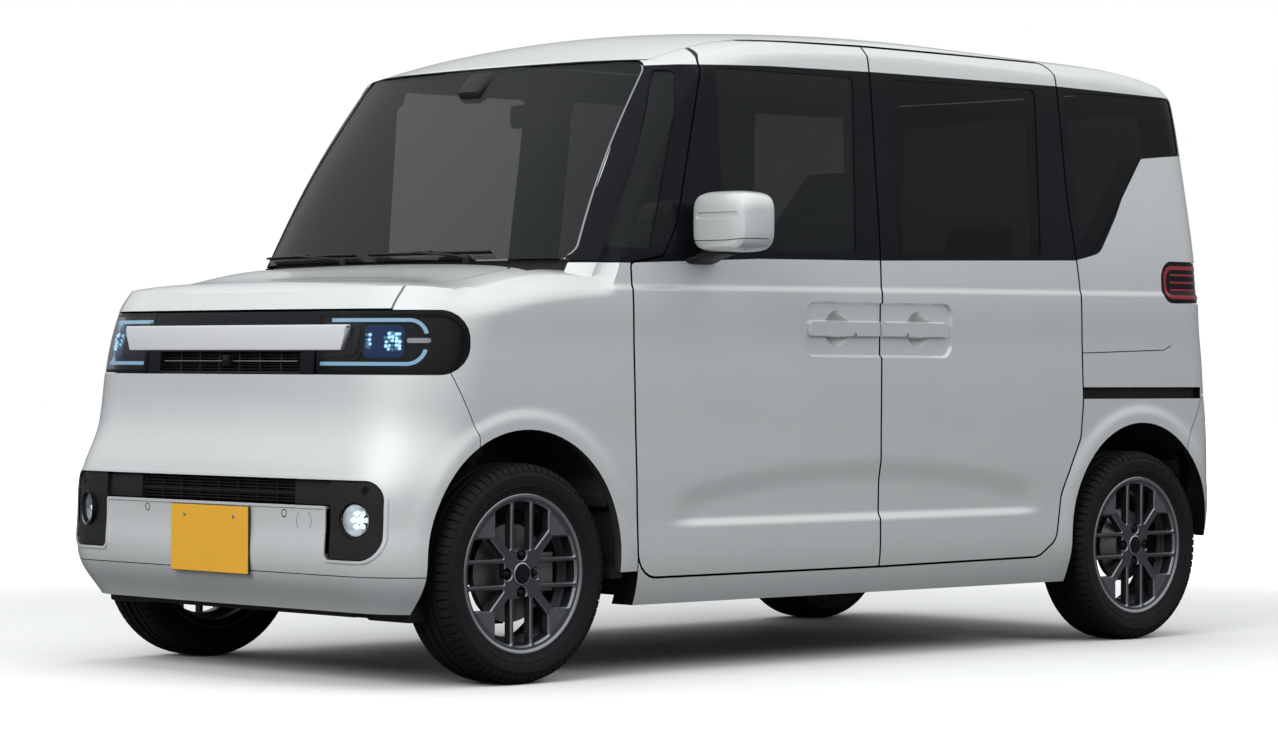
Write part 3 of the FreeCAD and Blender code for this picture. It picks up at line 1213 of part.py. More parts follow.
# Rear axle: beam between the drums, trailing arms, springs
beam_half = size("beam_half")
beam_end = beam_half - size("beam_lap")
beam = tube(size("beam_diameter") / 2, beam_half * 2, V(-beam_half, rear_axle, wheel_height), V(1, 0, 0))
arms = []
inner_end = wheel_centre + disc_plane - size("spindle_length") - disc_clear
for sign in (-1, 1):
    stub = tube(boss_radius, inner_end - beam_end, V(beam_end, rear_axle, wheel_height), V(1, 0, 0))
    sleeve = tube(boss_radius, carrier_length, V(inner_end, rear_axle, wheel_height), V(1, 0, 0))
    hollow = tube(spindle + size("bearing_clearance"), far, V(inner_end, rear_axle, wheel_height), V(1, 0, 0))
    trailing_top = size("floor_height") - fit
    trailing = block(size("trailing_x") - arm_tall / 2, size("trailing_x") + arm_tall / 2,
                     rear_axle - size("trailing_arm"), rear_axle, trailing_top - arm_tall, trailing_top)
    coil = tube(size("spring_diameter") / 2, size("cargo_floor_height") - fit - wheel_height,
                V(size("rear_spring_x"), rear_axle, wheel_height), V(0, 0, 1))
    corner = stub.fuse([sleeve, trailing, coil]).cut(hollow)
    arms.append(corner if sign > 0 else mirrored(corner))
keep("rear_axle", beam.fuse(arms))

# Floor: main floor, step up to the cargo floor, bulkhead, side rails and the four wheel housings
metal = size("sheet_metal")
slab = size("floor_thickness")
low = size("floor_height")
wide = size("floor_half")
kick = size("kick_up")
cargo_low = size("cargo_floor_height")
floor_parts = [
    block(-wide, wide, size("floor_front"), kick, low, low + slab),
    block(-wide, wide, kick - metal, kick, low, cargo_low + slab),
    block(-wide, wide, kick - metal, size("floor_rear"), cargo_low, cargo_low + slab),
    block(-wide, wide, size("floor_front") - metal, size("floor_front"), low, size("bulkhead_top")),
    block(-wide, wide, size("rail_front"), size("rail_front") + metal * 3, low + slab, low + slab * 3)]


def housing(axle, outer_edge):
    """Liner over one wheel: half a drum with its inner wall."""
    radius = size("arch_radius") + size("well_clearance")
    top = size("arch_height")
    inner_edge = size("well_inner")
    drum = tube(radius + metal, outer_edge - inner_edge + metal, V(inner_edge - metal, axle, top), V(1, 0, 0))
    hollow = tube(radius, far, V(inner_edge, axle, top), V(1, 0, 0))
    skirt = block(inner_edge - metal, outer_edge, axle - radius - metal, axle + radius + metal, low, top)
    skirt_hollow = block(inner_edge, far, axle - radius, axle + radius, -overrun, top)
    shell = drum.fuse(skirt).cut(hollow).cut(skirt_hollow)
    return shell.common(block(0, far, axle - far, axle + far, low, height))


for axle in (front_axle, rear_axle):
    floor_parts += both(housing(axle, half_width))
floor = floor_parts[0].fuse(floor_parts[1:])
for axle in (front_axle, rear_axle):
    for zone in both(wheel_opening(axle)):
        floor = floor.cut(zone)
beam_room = size("beam_diameter") / 2 + size("well_clearance")
floor = floor.cut(block(-far, far, rear_axle - beam_room, rear_axle + beam_room, -overrun,
                        wheel_height + beam_room))
wall_clear = envelope(wall + fit)
fender_clear = envelope(size("fender_thickness") + fit)
split = HINGE_HIGH_SHARES[0] * half_length - joint
front_floor = floor.common(block(-far, far, -far, split, -overrun, height)).common(fender_clear)
rear_floor = floor.common(block(-far, far, split, far, -overrun, height)).common(wall_clear)
keep("floor_pan", largest(front_floor.fuse(rear_floor)))

# Battery under the floor, motor and gear case ahead of the bulkhead
battery = add("Part::Box", "battery_box", Length="sizes.battery_width", Width="sizes.battery_length",
              Height="sizes.battery_height", x="-sizes.battery_width / 2", y="-sizes.battery_length / 2",
              z="sizes.floor_height - sizes.battery_height - sizes.seat_clearance")
node(round_all(battery, "battery", size("battery_round")), "battery_pack")
drive = add("Part::Box", "drive_box", Length="sizes.drive_width", Width="sizes.drive_length",
            Height="sizes.drive_height", x="-sizes.drive_width / 2",
            y=FRONT_AXLE + " - sizes.drive_length / 2",
            z="sizes.ground_clearance + sizes.arm_thickness + sizes.seat_clearance")
node(round_all(drive, "drive", size("drive_round")), "drive_unit")

# Dashboard
dash_back = size("floor_front") + size("dash_gap")
dash = block(-size("dash_half"), size("dash_half"), dash_back, dash_back + size("dash_depth"),
             size("dash_top") - size("dash_height"), size("dash_top"))
long_edges = [edge for edge in dash.Edges if abs(edge.CenterOfMass.x) < size("shortest_edge")]
dash = dash.makeFillet(size("dash_round"), long_edges)
shelf_part = block(-size("dash_half"), size("dash_half"), size("dash_front"),
                   dash_back + size("dash_shelf") * 3, size("dash_top") - size("dash_shelf"), size("dash_top"))
dash = dash.fuse(shelf_part).common(wall_clear)


def cushion(x, y, z, wide, deep, tall, tilt=0):
    """Rounded pad centred on x with its lower front edge at y, z, tilted back by degrees."""
    pad = Part.makeBox(wide, deep, tall, V(-wide / 2, 0, 0))
    pad = pad.makeFillet(size("soft_radius"), pad.Edges)
    pad.rotate(V(0, 0, 0), V(1, 0, 0), -tilt)
    pad.translate(V(x, y, z))
    return pad


BACK_LAP_SHARE = 0.6
CUSHION_LAP_SHARE = 0.4


def seat(x, front, wide):
    """Cushion, backrest and head restraint on its posts, on a riser."""
    top = size("seat_height")
    thick = size("seat_cushion")
    lean = size("seat_back_tilt")
    back_thick = size("seat_back_thickness")
    back_y = front + size("seat_depth") - back_thick * BACK_LAP_SHARE
    back_z = top - thick * CUSHION_LAP_SHARE
    base = cushion(x, front, top - thick, wide, size("seat_depth"), thick)
    back = cushion(x, back_y, back_z, wide, back_thick, size("seat_back_height"), lean)
    up = V(0, math.sin(math.radians(lean)), math.cos(math.radians(lean)))
    rise = size("seat_back_height") * up.z + back_z
    run = size("seat_back_height") * up.y + back_y
    pieces = [back]
    spots = [x] if wide < size("seat_width") * 1.5 else [x - wide / 4, x + wide / 4]
    for spot in spots:
        head = cushion(spot, run + size("head_set_back"), rise + size("head_gap"), size("head_width"),
                       size("head_thickness"), size("head_height"), lean)
        pieces.append(head)
        for sign in (-1, 1):
            foot = V(spot + sign * size("head_width") / 4, run + size("head_post_set_back"),
                     rise - size("head_post_sunk"))
            pieces.append(tube(size("post_diameter") / 2, size("head_post_length"), foot, up))
    floor_top = size("floor_height") + size("floor_thickness") + size("seat_clearance")
    riser_half = wide / 2 - size("seat_post")
    riser = block(x - riser_half, x + riser_half, front + size("riser_front"),
                  front + size("seat_depth") - size("riser_rear"), floor_top, top - thick + size("riser_sunk"))
    return base.fuse(pieces + [riser])


keep("front_seats", solids([seat(-size("seat_offset"), size("seat_front"), size("seat_width")),
                            seat(size("seat_offset"), size("seat_front"), size("seat_width"))]))
keep("rear_seat", seat(0, size("rear_seat_front"), size("rear_seat_width")))

# Steering wheel on its column
tilt = size("steering_tilt")
hub_at = V(-size("steering_offset"), size("steering_y"), size("steering_height"))
grip = size("steering_grip") / 2
ring = Part.makeTorus(size("steering_diameter") / 2 - grip, grip)
WHEEL_BOSS_SHARE = 0.2
boss_deep = grip * 2.2
spoke_reach = size("steering_diameter") / 2 - grip
boss = tube(size("steering_diameter") * WHEEL_BOSS_SHARE, grip * 2.4, V(0, 0, -boss_deep), V(0, 0, 1))
spokes = [Part.makeBox(spoke_reach * 2, grip * 2, grip, V(-spoke_reach, -grip, -grip)),
          Part.makeBox(grip * 2, spoke_reach, grip, V(-grip, -spoke_reach, -grip))]
wheel = ring.fuse([boss] + spokes)
wheel.rotate(V(0, 0, 0), V(1, 0, 0), -tilt)
wheel.translate(hub_at)
keep("steering_wheel", wheel)
column_axis = V(0, math.sin(math.radians(tilt)), math.cos(math.radians(tilt)))
column = tube(size("column_diameter") / 2, size("dash_depth"),
              hub_at - column_axis * (size("dash_depth") + boss_deep + fit), column_axis)
keep("dashboard", dash.fuse(column))

# Door mirrors: foot on the belt line, arm and housing
mirror_half = size("mirror_width") / 2
mirror_rear = size("mirror_y") + size("mirror_depth") / 2
mirror_low = size("mirror_z") - size("mirror_height") / 2
mirror_high = size("mirror_z") + size("mirror_height") / 2
mirror_inner = size("mirror_x") - mirror_half
mirror_outer = size("mirror_x") + mirror_half
housing_box = block(mirror_inner, mirror_outer, size("mirror_y") - size("mirror_depth") / 2, mirror_rear,
                    mirror_low, mirror_high)
mirror = housing_box.makeFillet(size("mirror_round"), housing_box.Edges)
frame = size("mirror_frame")
glass_round = size("mirror_round") - frame
glass_corners = [(mirror_inner + frame, mirror_low + frame, glass_round),
                 (mirror_outer - frame, mirror_low + frame, glass_round),
                 (mirror_outer - frame, mirror_high - frame, glass_round),
                 (mirror_inner + frame, mirror_high - frame, glass_round)]
mirror_pocket = prism(glass_corners, front_plane, mirror_rear - size("mirror_glass_set"), far)
mirror = mirror.cut(mirror_pocket)
foot_top = mirror_low + size("mirror_foot_sunk")
foot_front = size("mirror_y") - size("mirror_foot_front")
foot_rear = size("mirror_y") + size("mirror_foot_rear")
foot = block(half_width - size("mirror_foot_reach"), size("mirror_x"), foot_front, foot_rear,
             foot_top - size("mirror_foot_height"), foot_top)
skin_clear = envelope(-size("seat_clearance"))
foot = largest(foot.cut(skin_clear))
keep("mirror_left", mirror.fuse(foot))
keep("mirror_right", mirrored(mirror.fuse(foot)))

# Wipers lying on the foot of the windscreen, each on a spindle in the cowl panel
blade_shell = envelope(-size("wiper_reach")).cut(skin_clear)
half_blade = size("wiper_blade") / 2
wipers = []
cowl_clear = cowl.copy()
cowl_clear.translate(V(0, 0, fit))
WIPER_SHARES = [(-0.80, -0.14, -0.20), (-0.06, 0.58, 0.50)]
thick = size("wiper_thickness") / 2
foot = size("wiper_spindle_y")
blade_low = size("wiper_height") - half_blade
blade_high = size("wiper_height") + half_blade
spindle_low = size("hood_hinge_z") - lug
for start_share, end_share, spindle_share in WIPER_SHARES:
    strip = block(start_share * half_width, end_share * half_width, -far, 0, blade_low, blade_high)
    blade = largest(blade_shell.common(strip))
    middle = spindle_share * half_width
    rod = tube(thick, blade_high - spindle_low, V(middle, foot, spindle_low), V(0, 0, 1)).cut(cowl_clear)
    spindle_rod = max(rod.Solids, key=lambda solid: solid.CenterOfMass.z)
    wiper_arm = block(middle - thick, middle + thick, foot - thick, foot + size("wiper_arm"), blade_low,
                      size("wiper_height") + half_blade / 2).cut(skin_clear)
    wipers.append(blade.fuse([largest(wiper_arm), spindle_rod]))
keep("wipers", solids(wipers))

doc.recompute()
for item in doc.Objects:
    if "Invalid" in item.State or "Error" in item.State:
        raise SystemExit("failed object: " + item.Name)
for label, feature in shelf.items():
    if feature.Shape.isNull() or not feature.Shape.isValid() or not feature.Shape.Solids:
        raise SystemExit("bad shape: " + label)
os.makedirs("parts", exist_ok=True)
for label, feature in shelf.items():
    feature.Shape.exportStep("parts/%s.step" % label)
    print(label, len(feature.Shape.Solids), "solids")
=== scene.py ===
# %% [markdown]
# # A small electric box wagon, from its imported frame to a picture
# The frame is the plain CAD model with its moving bodies. Each cell adds one kind of piece to it.
# Metres throughout, front along -Y, the car's left along +X, standing on Z = 0.

# %%
# Frame
import bpy
import bmesh
import math
import random
import numpy as np
from mathutils import Matrix, Vector


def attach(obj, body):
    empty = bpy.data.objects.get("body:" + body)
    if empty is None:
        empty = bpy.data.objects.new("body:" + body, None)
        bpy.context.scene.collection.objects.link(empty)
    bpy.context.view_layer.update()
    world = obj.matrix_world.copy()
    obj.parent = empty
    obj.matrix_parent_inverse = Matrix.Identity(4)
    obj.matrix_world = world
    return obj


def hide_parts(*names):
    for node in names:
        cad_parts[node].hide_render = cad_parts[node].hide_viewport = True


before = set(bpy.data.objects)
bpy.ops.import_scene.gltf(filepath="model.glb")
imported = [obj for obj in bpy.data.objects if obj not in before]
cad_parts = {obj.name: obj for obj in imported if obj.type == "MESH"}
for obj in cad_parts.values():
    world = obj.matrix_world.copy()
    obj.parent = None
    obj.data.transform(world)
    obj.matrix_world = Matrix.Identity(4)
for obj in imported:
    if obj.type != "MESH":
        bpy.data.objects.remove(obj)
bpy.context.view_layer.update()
print(len(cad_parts), "pieces in the frame")

# %% [markdown]
# The body is one form. A table gives the plan outline at several heights, a second one the side
# view, and every panel is a slice of the shell between that form and a smaller copy of itself.

# %%
# Body form
HALF_LENGTH, HALF_WIDTH, HEIGHT = 1.6975, 0.7375, 1.800
PLAN = np.array([
    (0.080, 0.930, 0.950, 0.960, 0.010, 0.215, 0.150), (0.114, 0.968, 0.967, 0.975, 0.010, 0.225, 0.165),
    (0.150, 0.991, 0.993, 0.985, 0.009, 0.231, 0.176), (0.224, 0.997, 0.9990, 0.9985, 0.007, 0.231, 0.176),
    (0.294, 0.999, 0.9985, 0.9990, 0.013, 0.250, 0.176), (0.357, 0.999, 0.983, 0.996, 0.016, 0.310, 0.176),
    (0.411, 1.000, 0.975, 0.988, 0.017, 0.325, 0.176), (0.478, 1.000, 0.973, 0.981, 0.025, 0.350, 0.176),
    (0.537, 0.999, 0.961, 0.972, 0.038, 0.366, 0.176), (0.580, 0.996, 0.950, 0.969, 0.045, 0.400, 0.176),
    (0.622, 0.992, 0.945, 0.966, 0.050, 0.430, 0.176), (0.722, 0.974, 0.940, 0.955, 0.050, 0.430, 0.176),
    (0.832, 0.950, 0.935, 0.940, 0.050, 0.430, 0.176), (0.923, 0.928, 0.930, 0.923, 0.050, 0.430, 0.176),
    (0.967, 0.908, 0.925, 0.910, 0.050, 0.430, 0.176), (1.020, 0.870, 0.920, 0.890, 0.050, 0.430, 0.176)])
HOOD = [(-1.060, 0.500), (-0.978, 0.538), (-0.942, 0.5655), (-0.825, 0.586), (-0.666, 0.611)]
SCREEN = [(-0.666, 0.611), (-0.555, 0.770), (-0.436, 0.925)]
ROOF = [(-0.436, 0.925), (-0.265, 0.9722), (-0.059, 0.994), (0.177, 1.000),
        (0.589, 0.992), (0.825, 0.978), (0.930, 0.953), (1.060, 0.905)]


print(len(PLAN), "plan sections")

# %% [markdown]
# A pressed panel has no corners along its length, so a natural spline runs through the rows. Blender's
# own curves would do for one line; numpy gives whole rows of points at once.

# %%
# Splines
def natural(x, y, at):
    """Natural cubic spline through the rows of y at the positions x."""
    x, y, at = np.asarray(x, float), np.asarray(y, float), np.asarray(at, float)
    n, h = len(x), np.diff(x)
    flat = y.reshape(n, -1)
    m = np.zeros((n, flat.shape[1]))
    if n > 2:
        a = np.diag(2 * (h[:-1] + h[1:])) + np.diag(h[1:-1], 1) + np.diag(h[1:-1], -1)
        slope = np.diff(flat, axis=0) / h[:, None]
        m[1:-1] = np.linalg.solve(a, 6 * np.diff(slope, axis=0))
    i = np.clip(np.searchsorted(x, at) - 1, 0, n - 2)
    t, w = (at - x[i])[:, None], h[i][:, None]
    p, q = flat[i], flat[i + 1]
    out = p + t * ((q - p) / w - w * (2 * m[i] + m[i + 1]) / 6) + t ** 2 * m[i] / 2
    out += t ** 3 * (m[i + 1] - m[i]) / (6 * w)
    return out.reshape((len(at),) + y.shape[1:])


def smooth_run(points, count):
    """The spline through a run of points, spaced evenly along its length."""
    p = np.asarray(points, float)
    run = np.concatenate([[0], np.cumsum(np.linalg.norm(np.diff(p, axis=0), axis=1))])
    return natural(run, p, np.linspace(0, run[-1], count))


def profile(u, inset=0.0):
    """Side view outline at a share u of the half width: hood, screen and roof points of y and z."""
    hood_fall = HEIGHT * (0.008 * u ** 2 + 0.022 * u ** 8)
    roof_fall = HEIGHT * (0.031 * u ** 2 + 0.028 * u ** 12)
    sweep = HALF_LENGTH * (0.035 * u ** 2 + 0.082 * u ** 6)
    hood = [(a * HALF_LENGTH, b * HEIGHT - hood_fall - inset) for a, b in HOOD]
    screen = [(a * HALF_LENGTH + sweep + inset, b * HEIGHT - inset) for a, b in SCREEN]
    roof = [(a * HALF_LENGTH, b * HEIGHT - roof_fall - inset) for a, b in ROOF]
    cowl = (screen[0][0], hood[-1][1])
    header = (screen[-1][0], screen[-1][1] - roof_fall / 3)
    hood[-1] = (min(hood[-1][0], cowl[0] - 0.004), cowl[1])
    hood.append(cowl)
    screen[0], screen[-1], roof[0] = cowl, header, header
    return np.concatenate([smooth_run(hood, 30)[:-1], smooth_run(screen, 26)[:-1], smooth_run(roof, 80)])


print(len(profile(0.0)), "points in the side view")

# %% [markdown]
# From above, the nose is crowned, the corners are round and the sides bow out a little. Arcs and a
# parabola give that, drawn in by any inset, so that an inner copy of the form stays parallel.

# %%
# Height over the plan, and the plan outline
STATIONS = np.linspace(0, 1.08, 46)
ALONG = np.linspace(-1.06 * HALF_LENGTH, 1.06 * HALF_LENGTH, 420)
TOPS = {}


def top_at(x, y, inset):
    """Height of the upper skin over points of x and y."""
    if inset not in TOPS:
        rows = []
        for u in STATIONS:
            p = profile(u, inset)
            rows.append(np.interp(ALONG, p[:, 0], p[:, 1]))
        TOPS[inset] = np.array(rows)
    table = TOPS[inset]
    u = np.clip(np.abs(x) / HALF_WIDTH / STATIONS[1], 0, len(STATIONS) - 1.001)
    v = np.clip((y - ALONG[0]) / (ALONG[1] - ALONG[0]), 0, len(ALONG) - 1.001)
    i, j = u.astype(int), v.astype(int)
    fu, fv = u - i, v - j
    low = table[i, j] * (1 - fv) + table[i, j + 1] * fv
    return low * (1 - fu) + (table[i + 1, j] * (1 - fv) + table[i + 1, j + 1] * fv) * fu


def plan_row(z):
    return natural(PLAN[:, 0] * HEIGHT, PLAN[:, 1:], z)


RING_COUNTS = (16, 14, 150, 10, 10)  # points on the nose, front corner, side, rear corner and tail
SIDE_BOW = (0.016, 0.008)  # how far the side draws in at its front and rear, as shares of the half width
LEAST_CORNER = 0.03


def half_ring(z, inset):
    """Left half of the plan outline at each height: points from nose centre to tail centre."""
    row = plan_row(z)
    wide, nose, tail, crown, rf, rr = [row[:, k][:, None] for k in range(6)]
    w = wide * HALF_WIDTH - inset
    front = -nose * HALF_LENGTH + inset
    rear = tail * HALF_LENGTH - inset
    bow = crown * HALF_WIDTH
    rf = np.maximum(rf * HALF_WIDTH - inset, LEAST_CORNER)
    rr = np.maximum(rr * HALF_WIDTH - inset, LEAST_CORNER)
    wf, wr = [w - share * HALF_WIDTH for share in SIDE_BOW]
    c = wf - rf
    big = (c ** 2 + bow ** 2) / (2 * bow)
    s = np.linspace(0, 1, RING_COUNTS[0], endpoint=False)[None]
    parts = [(c * s, front + big - np.sqrt(big ** 2 - (c * s) ** 2))]
    a = np.linspace(0, math.pi / 2, RING_COUNTS[1], endpoint=False)[None]
    parts.append((c + rf * np.sin(a), front + bow + rf - rf * np.cos(a)))
    y0, y1 = front + bow + rf, rear - rr
    s = np.linspace(0, 1, RING_COUNTS[2], endpoint=False)[None]
    y = y0 + (y1 - y0) * s
    x = wf * y * (y - y1) / (y0 * (y0 - y1)) + w * (y - y0) * (y - y1) / (y0 * y1)
    x = x + wr * (y - y0) * y / ((y1 - y0) * y1)
    parts.append((x, y))
    a = np.linspace(0, math.pi / 2, RING_COUNTS[3], endpoint=False)[None]
    parts.append((wr - rr + rr * np.cos(a), y1 + rr * np.sin(a)))
    s = np.linspace(0, 1, RING_COUNTS[4])[None]
    parts.append(((wr - rr) * (1 - s), rear + 0 * s))
    x = np.concatenate([p[0] + 0 * z[:, None] for p in parts], axis=1)
    y = np.concatenate([p[1] + 0 * z[:, None] for p in parts], axis=1)
    return x, y

# %% [markdown]
# Wheel arches stand out, the door skin lies in and the shoulder catches light. Sculpting could do it;
# a smooth step as a formula keeps these forms equal on both sides of every seam.

# %%
# Pressed forms of the side, and rounded edges
def step(a, b, t):
    """Smooth rise from 0 at a to 1 at b."""
    t = np.clip((t - a) / (b - a), 0, 1)
    return t * t * (3 - 2 * t)


FRONT_AXLE, REAR_AXLE, ARCH_Z = -1.2375, 1.2825, 0.328


def side_relief(y, z):
    """How far the pressed forms of the side stand out from, or lie in, the plain skin."""
    out = np.zeros_like(y)
    for axle in (FRONT_AXLE, REAR_AXLE):
        r = np.hypot(y - axle, np.maximum(z - ARCH_Z, 0))
        out += 0.006 * (1 - step(0.362, 0.386, r)) * step(0.20, 0.30, z)
    shoulder = 1.028 + 0.008 * (y + 1.0)
    out += 0.004 * step(shoulder - 0.16, shoulder - 0.004, z) * (1 - step(shoulder, shoulder + 0.012, z))
    edge = 0.475 - 0.075 * np.abs((y - 0.04) / 0.75) ** 2.2
    inside = step(-0.74, -0.60, y) * (1 - step(0.70, 0.82, y))
    out -= 0.009 * inside * step(0.395, 0.415, z) * (1 - step(edge + 0.02, edge + 0.10, z))
    return out


FILLET_TURN = math.radians(38)  # past this turn the rounding runs on straight, so both forms still cross


def fillet(depth, radius):
    """How far a rounded edge draws a surface in, at a depth below the other surface."""
    t = np.clip((radius - depth) / radius, 0, None)
    turn = math.sin(FILLET_TURN)
    arc = radius * (1 - np.sqrt(1 - np.minimum(t, turn) ** 2))
    return arc + radius * np.maximum(t - turn, 0) * math.tan(FILLET_TURN)

# %% [markdown]
# The form is where two skins cross: a column that carries the plan up, and a lid that carries the
# side view across. Both are rings of points, and both draw in where they meet, which rounds the edge.

# %%
# Column and lid
def mesh_of(name, verts, faces):
    mesh = bpy.data.meshes.new(name)
    mesh.from_pydata([tuple(v) for v in verts], [], [tuple(f) for f in faces])
    mesh.update()
    return mesh


def object_of(name, mesh):
    obj = bpy.data.objects.new(name, mesh)
    bpy.context.scene.collection.objects.link(obj)
    return obj


def outward(mesh):
    bm = bmesh.new()
    bm.from_mesh(mesh)
    bmesh.ops.recalc_face_normals(bm, faces=bm.faces)
    bm.to_mesh(mesh)
    bm.free()
    return mesh


def ring_faces(rows, count, close=False):
    """Quads between rings of points, with both ends capped unless the run closes on itself."""
    i = np.arange(count)
    j = (i + 1) % count
    faces = []
    for r in range(rows if close else rows - 1):
        a, b = r * count, (r + 1) % rows * count
        faces += np.stack([a + i, a + j, b + j, b + i], 1).tolist()
    if not close:
        faces += [i[::-1].tolist(), (i + (rows - 1) * count).tolist()]
    return faces


def edge_radius(y):
    """Rounding between the side and the top: broad on the fender, tighter on the roof."""
    return 0.058 - 0.026 * step(-1.15, -0.80, y)


RELIEF_DEPTH = 0.03  # copies of the form further in than this are plain
LEAST_EDGE = 0.008


def column(inset):
    """The plan outline carried up the car, drawn in where it meets the hood and roof."""
    z = np.concatenate([np.arange(0.150, 0.37, 0.011), np.arange(0.37, 0.54, 0.0065),
                        np.arange(0.54, 0.98, 0.011), np.arange(0.98, 1.075, 0.0055),
                        np.arange(1.075, 1.86, 0.0105)])
    x, y = half_ring(z, inset)
    level = z[:, None] + 0 * x
    if inset < RELIEF_DEPTH:
        side = step(0.55, 0.66, x)
        x = x + side_relief(y, level) * side
    radius = np.maximum(edge_radius(y) - inset, LEAST_EDGE)
    depth = np.maximum(top_at(x, y, inset) - level, -0.01)
    pull = fillet(depth, radius) * np.where(y < -1.45, 0.4, 1.0)
    dx, dy = np.gradient(x, axis=1), np.gradient(y, axis=1)
    size = np.hypot(dx, dy) + 1e-9
    nx, ny = dy / size, -dx / size
    nx[:, -1], nx[:, 0] = 0, 0
    x, y = x - nx * pull, y - ny * pull
    ring_x = np.concatenate([x, -x[:, -2:0:-1]], axis=1)
    ring_y = np.concatenate([y, y[:, -2:0:-1]], axis=1)
    count = ring_x.shape[1]
    verts = np.stack([ring_x, ring_y, np.repeat(z[:, None], count, 1)], axis=2).reshape(-1, 3)
    return outward(mesh_of("column", verts, ring_faces(len(z), count)))


def lid(inset):
    """The side view outline carried across the car, drawn down where it meets the sides."""
    x = np.concatenate([np.linspace(0, 0.60, 20), np.linspace(0.60, 0.80, 34)[1:]])
    rings = []
    for at in x:
        p = profile(min(at, 0.79) / HALF_WIDTH, inset)
        row = plan_row(np.clip(p[:, 1], 0.2, 1.83))
        wide = row[:, 0] * HALF_WIDTH - inset - 0.008 * HALF_WIDTH
        radius = np.maximum(edge_radius(p[:, 0]) - inset, LEAST_EDGE)
        edge = np.where(p[:, 0] < -1.40, 0.3, wide - at)
        p[:, 1] -= fillet(np.maximum(edge, -0.01), radius)
        ends = [(p[-1, 0], 0.05), (p[0, 0], 0.05)]
        rings.append(np.concatenate([p, ends]))
    rings = np.array(rings)
    xs = np.concatenate([-x[:0:-1], x])
    rings = np.concatenate([rings[:0:-1], rings])
    count = rings.shape[1]
    verts = np.concatenate([np.repeat(xs[:, None], count, 1)[:, :, None], rings], axis=2).reshape(-1, 3)
    return outward(mesh_of("lid", verts, ring_faces(len(xs), count)))

# %% [markdown]
# Sheet metal is cut along its seams with a boolean. Blender's manifold solver is quick and keeps each
# tool's material on the faces that it cuts, so an edge can be black under a painted skin.

# %%
# Cutting
def boolean(mesh, tool, kind):
    """The first mesh with the second one taken away, kept as common or added."""
    a, b = object_of("a", mesh), object_of("b", tool)
    for o in (a, b):
        if not o.data.materials:
            o.data.materials.append(None)
    cut = a.modifiers.new("cut", "BOOLEAN")
    cut.operation, cut.solver, cut.object = kind, "MANIFOLD", b
    cut.material_mode = "TRANSFER"
    shown = a.evaluated_get(bpy.context.evaluated_depsgraph_get())
    made = bpy.data.meshes.new_from_object(shown)
    bpy.data.objects.remove(a)
    bpy.data.objects.remove(b)
    return made


def common(mesh, tool):
    return boolean(mesh, tool, "INTERSECT")


def less(mesh, *tools):
    for tool in tools:
        mesh = boolean(mesh, tool, "DIFFERENCE")
    return mesh


def envelope(inset):
    return common(column(inset), lid(inset))


OUTER, GLASS_OUT, GLASS_IN = envelope(0), envelope(0.003), envelope(0.008)
SHELLS = {t: envelope(t) for t in (0.018, 0.024, 0.042, 0.080)}
print("body form:", len(OUTER.polygons), "faces")

# %% [markdown]
# The panels of the real car are pressed to shapes that are plain in one view: doors and windows from
# the side, screen and tailgate from the front, hood and roof from above. So each outline is drawn in
# that view, as corners with radii, and pushed through the shell. Shares of the sizes keep it in step.

# %%
# Outlines
HINGE_LOW, HINGE_HIGH = (-0.4915, 0.1039), (-0.5102, 0.6111)
FRONT_DOOR = [(-0.4930, 0.1450, 0.040), (*HINGE_HIGH, 0.008), (-0.4390, 0.622, 0.010),
              (-0.4059, 0.672, 0.030), (-0.3290, 0.924, 0.030), (-0.2800, 0.9600, 0.030),
              (0.0636, 0.9650, 0.0), (0.0636, 0.1450, 0.0)]
SLIDING_DOOR = [(0.0636, 0.1450, 0.0), (0.0636, 0.9650, 0.0), (0.5500, 0.9650, 0.033), (0.5514, 0.9170, 0.0),
                (0.5597, 0.7372, 0.0), (0.5826, 0.5961, 0.20), (0.5920, 0.4000, 0.10),
                (0.5860, 0.3430, 0.030), (0.5330, 0.2500, 0.060), (0.5200, 0.1750, 0.030),
                (0.4750, 0.1480, 0.040)]
FRONT_WINDOW = [(-0.3016, 0.6350, 0.010), (-0.3016, 0.9110, 0.012), (0.0224, 0.9128, 0.010),
                (0.0040, 0.6350, 0.010)]
SLIDING_WINDOW = [(0.1060, 0.6390, 0.010), (0.1184, 0.9150, 0.010), (0.4907, 0.9167, 0.010),
                  (0.4790, 0.6417, 0.010)]
QUARTER_WINDOW = [(0.5700, 0.9170, 0.006), (0.8800, 0.9200, 0.012), (0.8950, 0.8230, 0.012),
                  (0.7780, 0.8150, 0.020), (0.6500, 0.6730, 0.050), (0.6100, 0.6440, 0.020),
                  (0.5930, 0.6430, 0.010)]
FRONT_QUARTER = [(-0.5550, 0.6330, 0.006), (-0.4680, 0.6330, 0.006), (-0.3740, 0.9040, 0.008),
                 (-0.3990, 0.9040, 0.006)]
FENDER = [(-1.10, 0.4900, 0.0), (-0.8736, 0.4489, 0.0), (-0.8253, 0.3556, 0.0), (-0.8253, 0.1550, 0.0),
          (-0.4938, 0.1550, 0.0), (*HINGE_HIGH, 0.0), (-0.70, 0.6150, 0.0), (-1.10, 0.6150, 0.0)]
BUMPER = [(-1.10, 0.1055, 0.0), (-1.10, 0.4900, 0.0), (-0.8736, 0.4489, 0.0), (-0.8253, 0.3556, 0.0),
          (-0.8253, 0.1055, 0.0)]
REAR_BUMPER = [(0.8884, 0.1694, 0.0), (0.8884, 0.3289, 0.0), (0.9379, 0.4128, 0.0), (1.10, 0.4128, 0.0),
               (1.10, 0.1694, 0.0)]
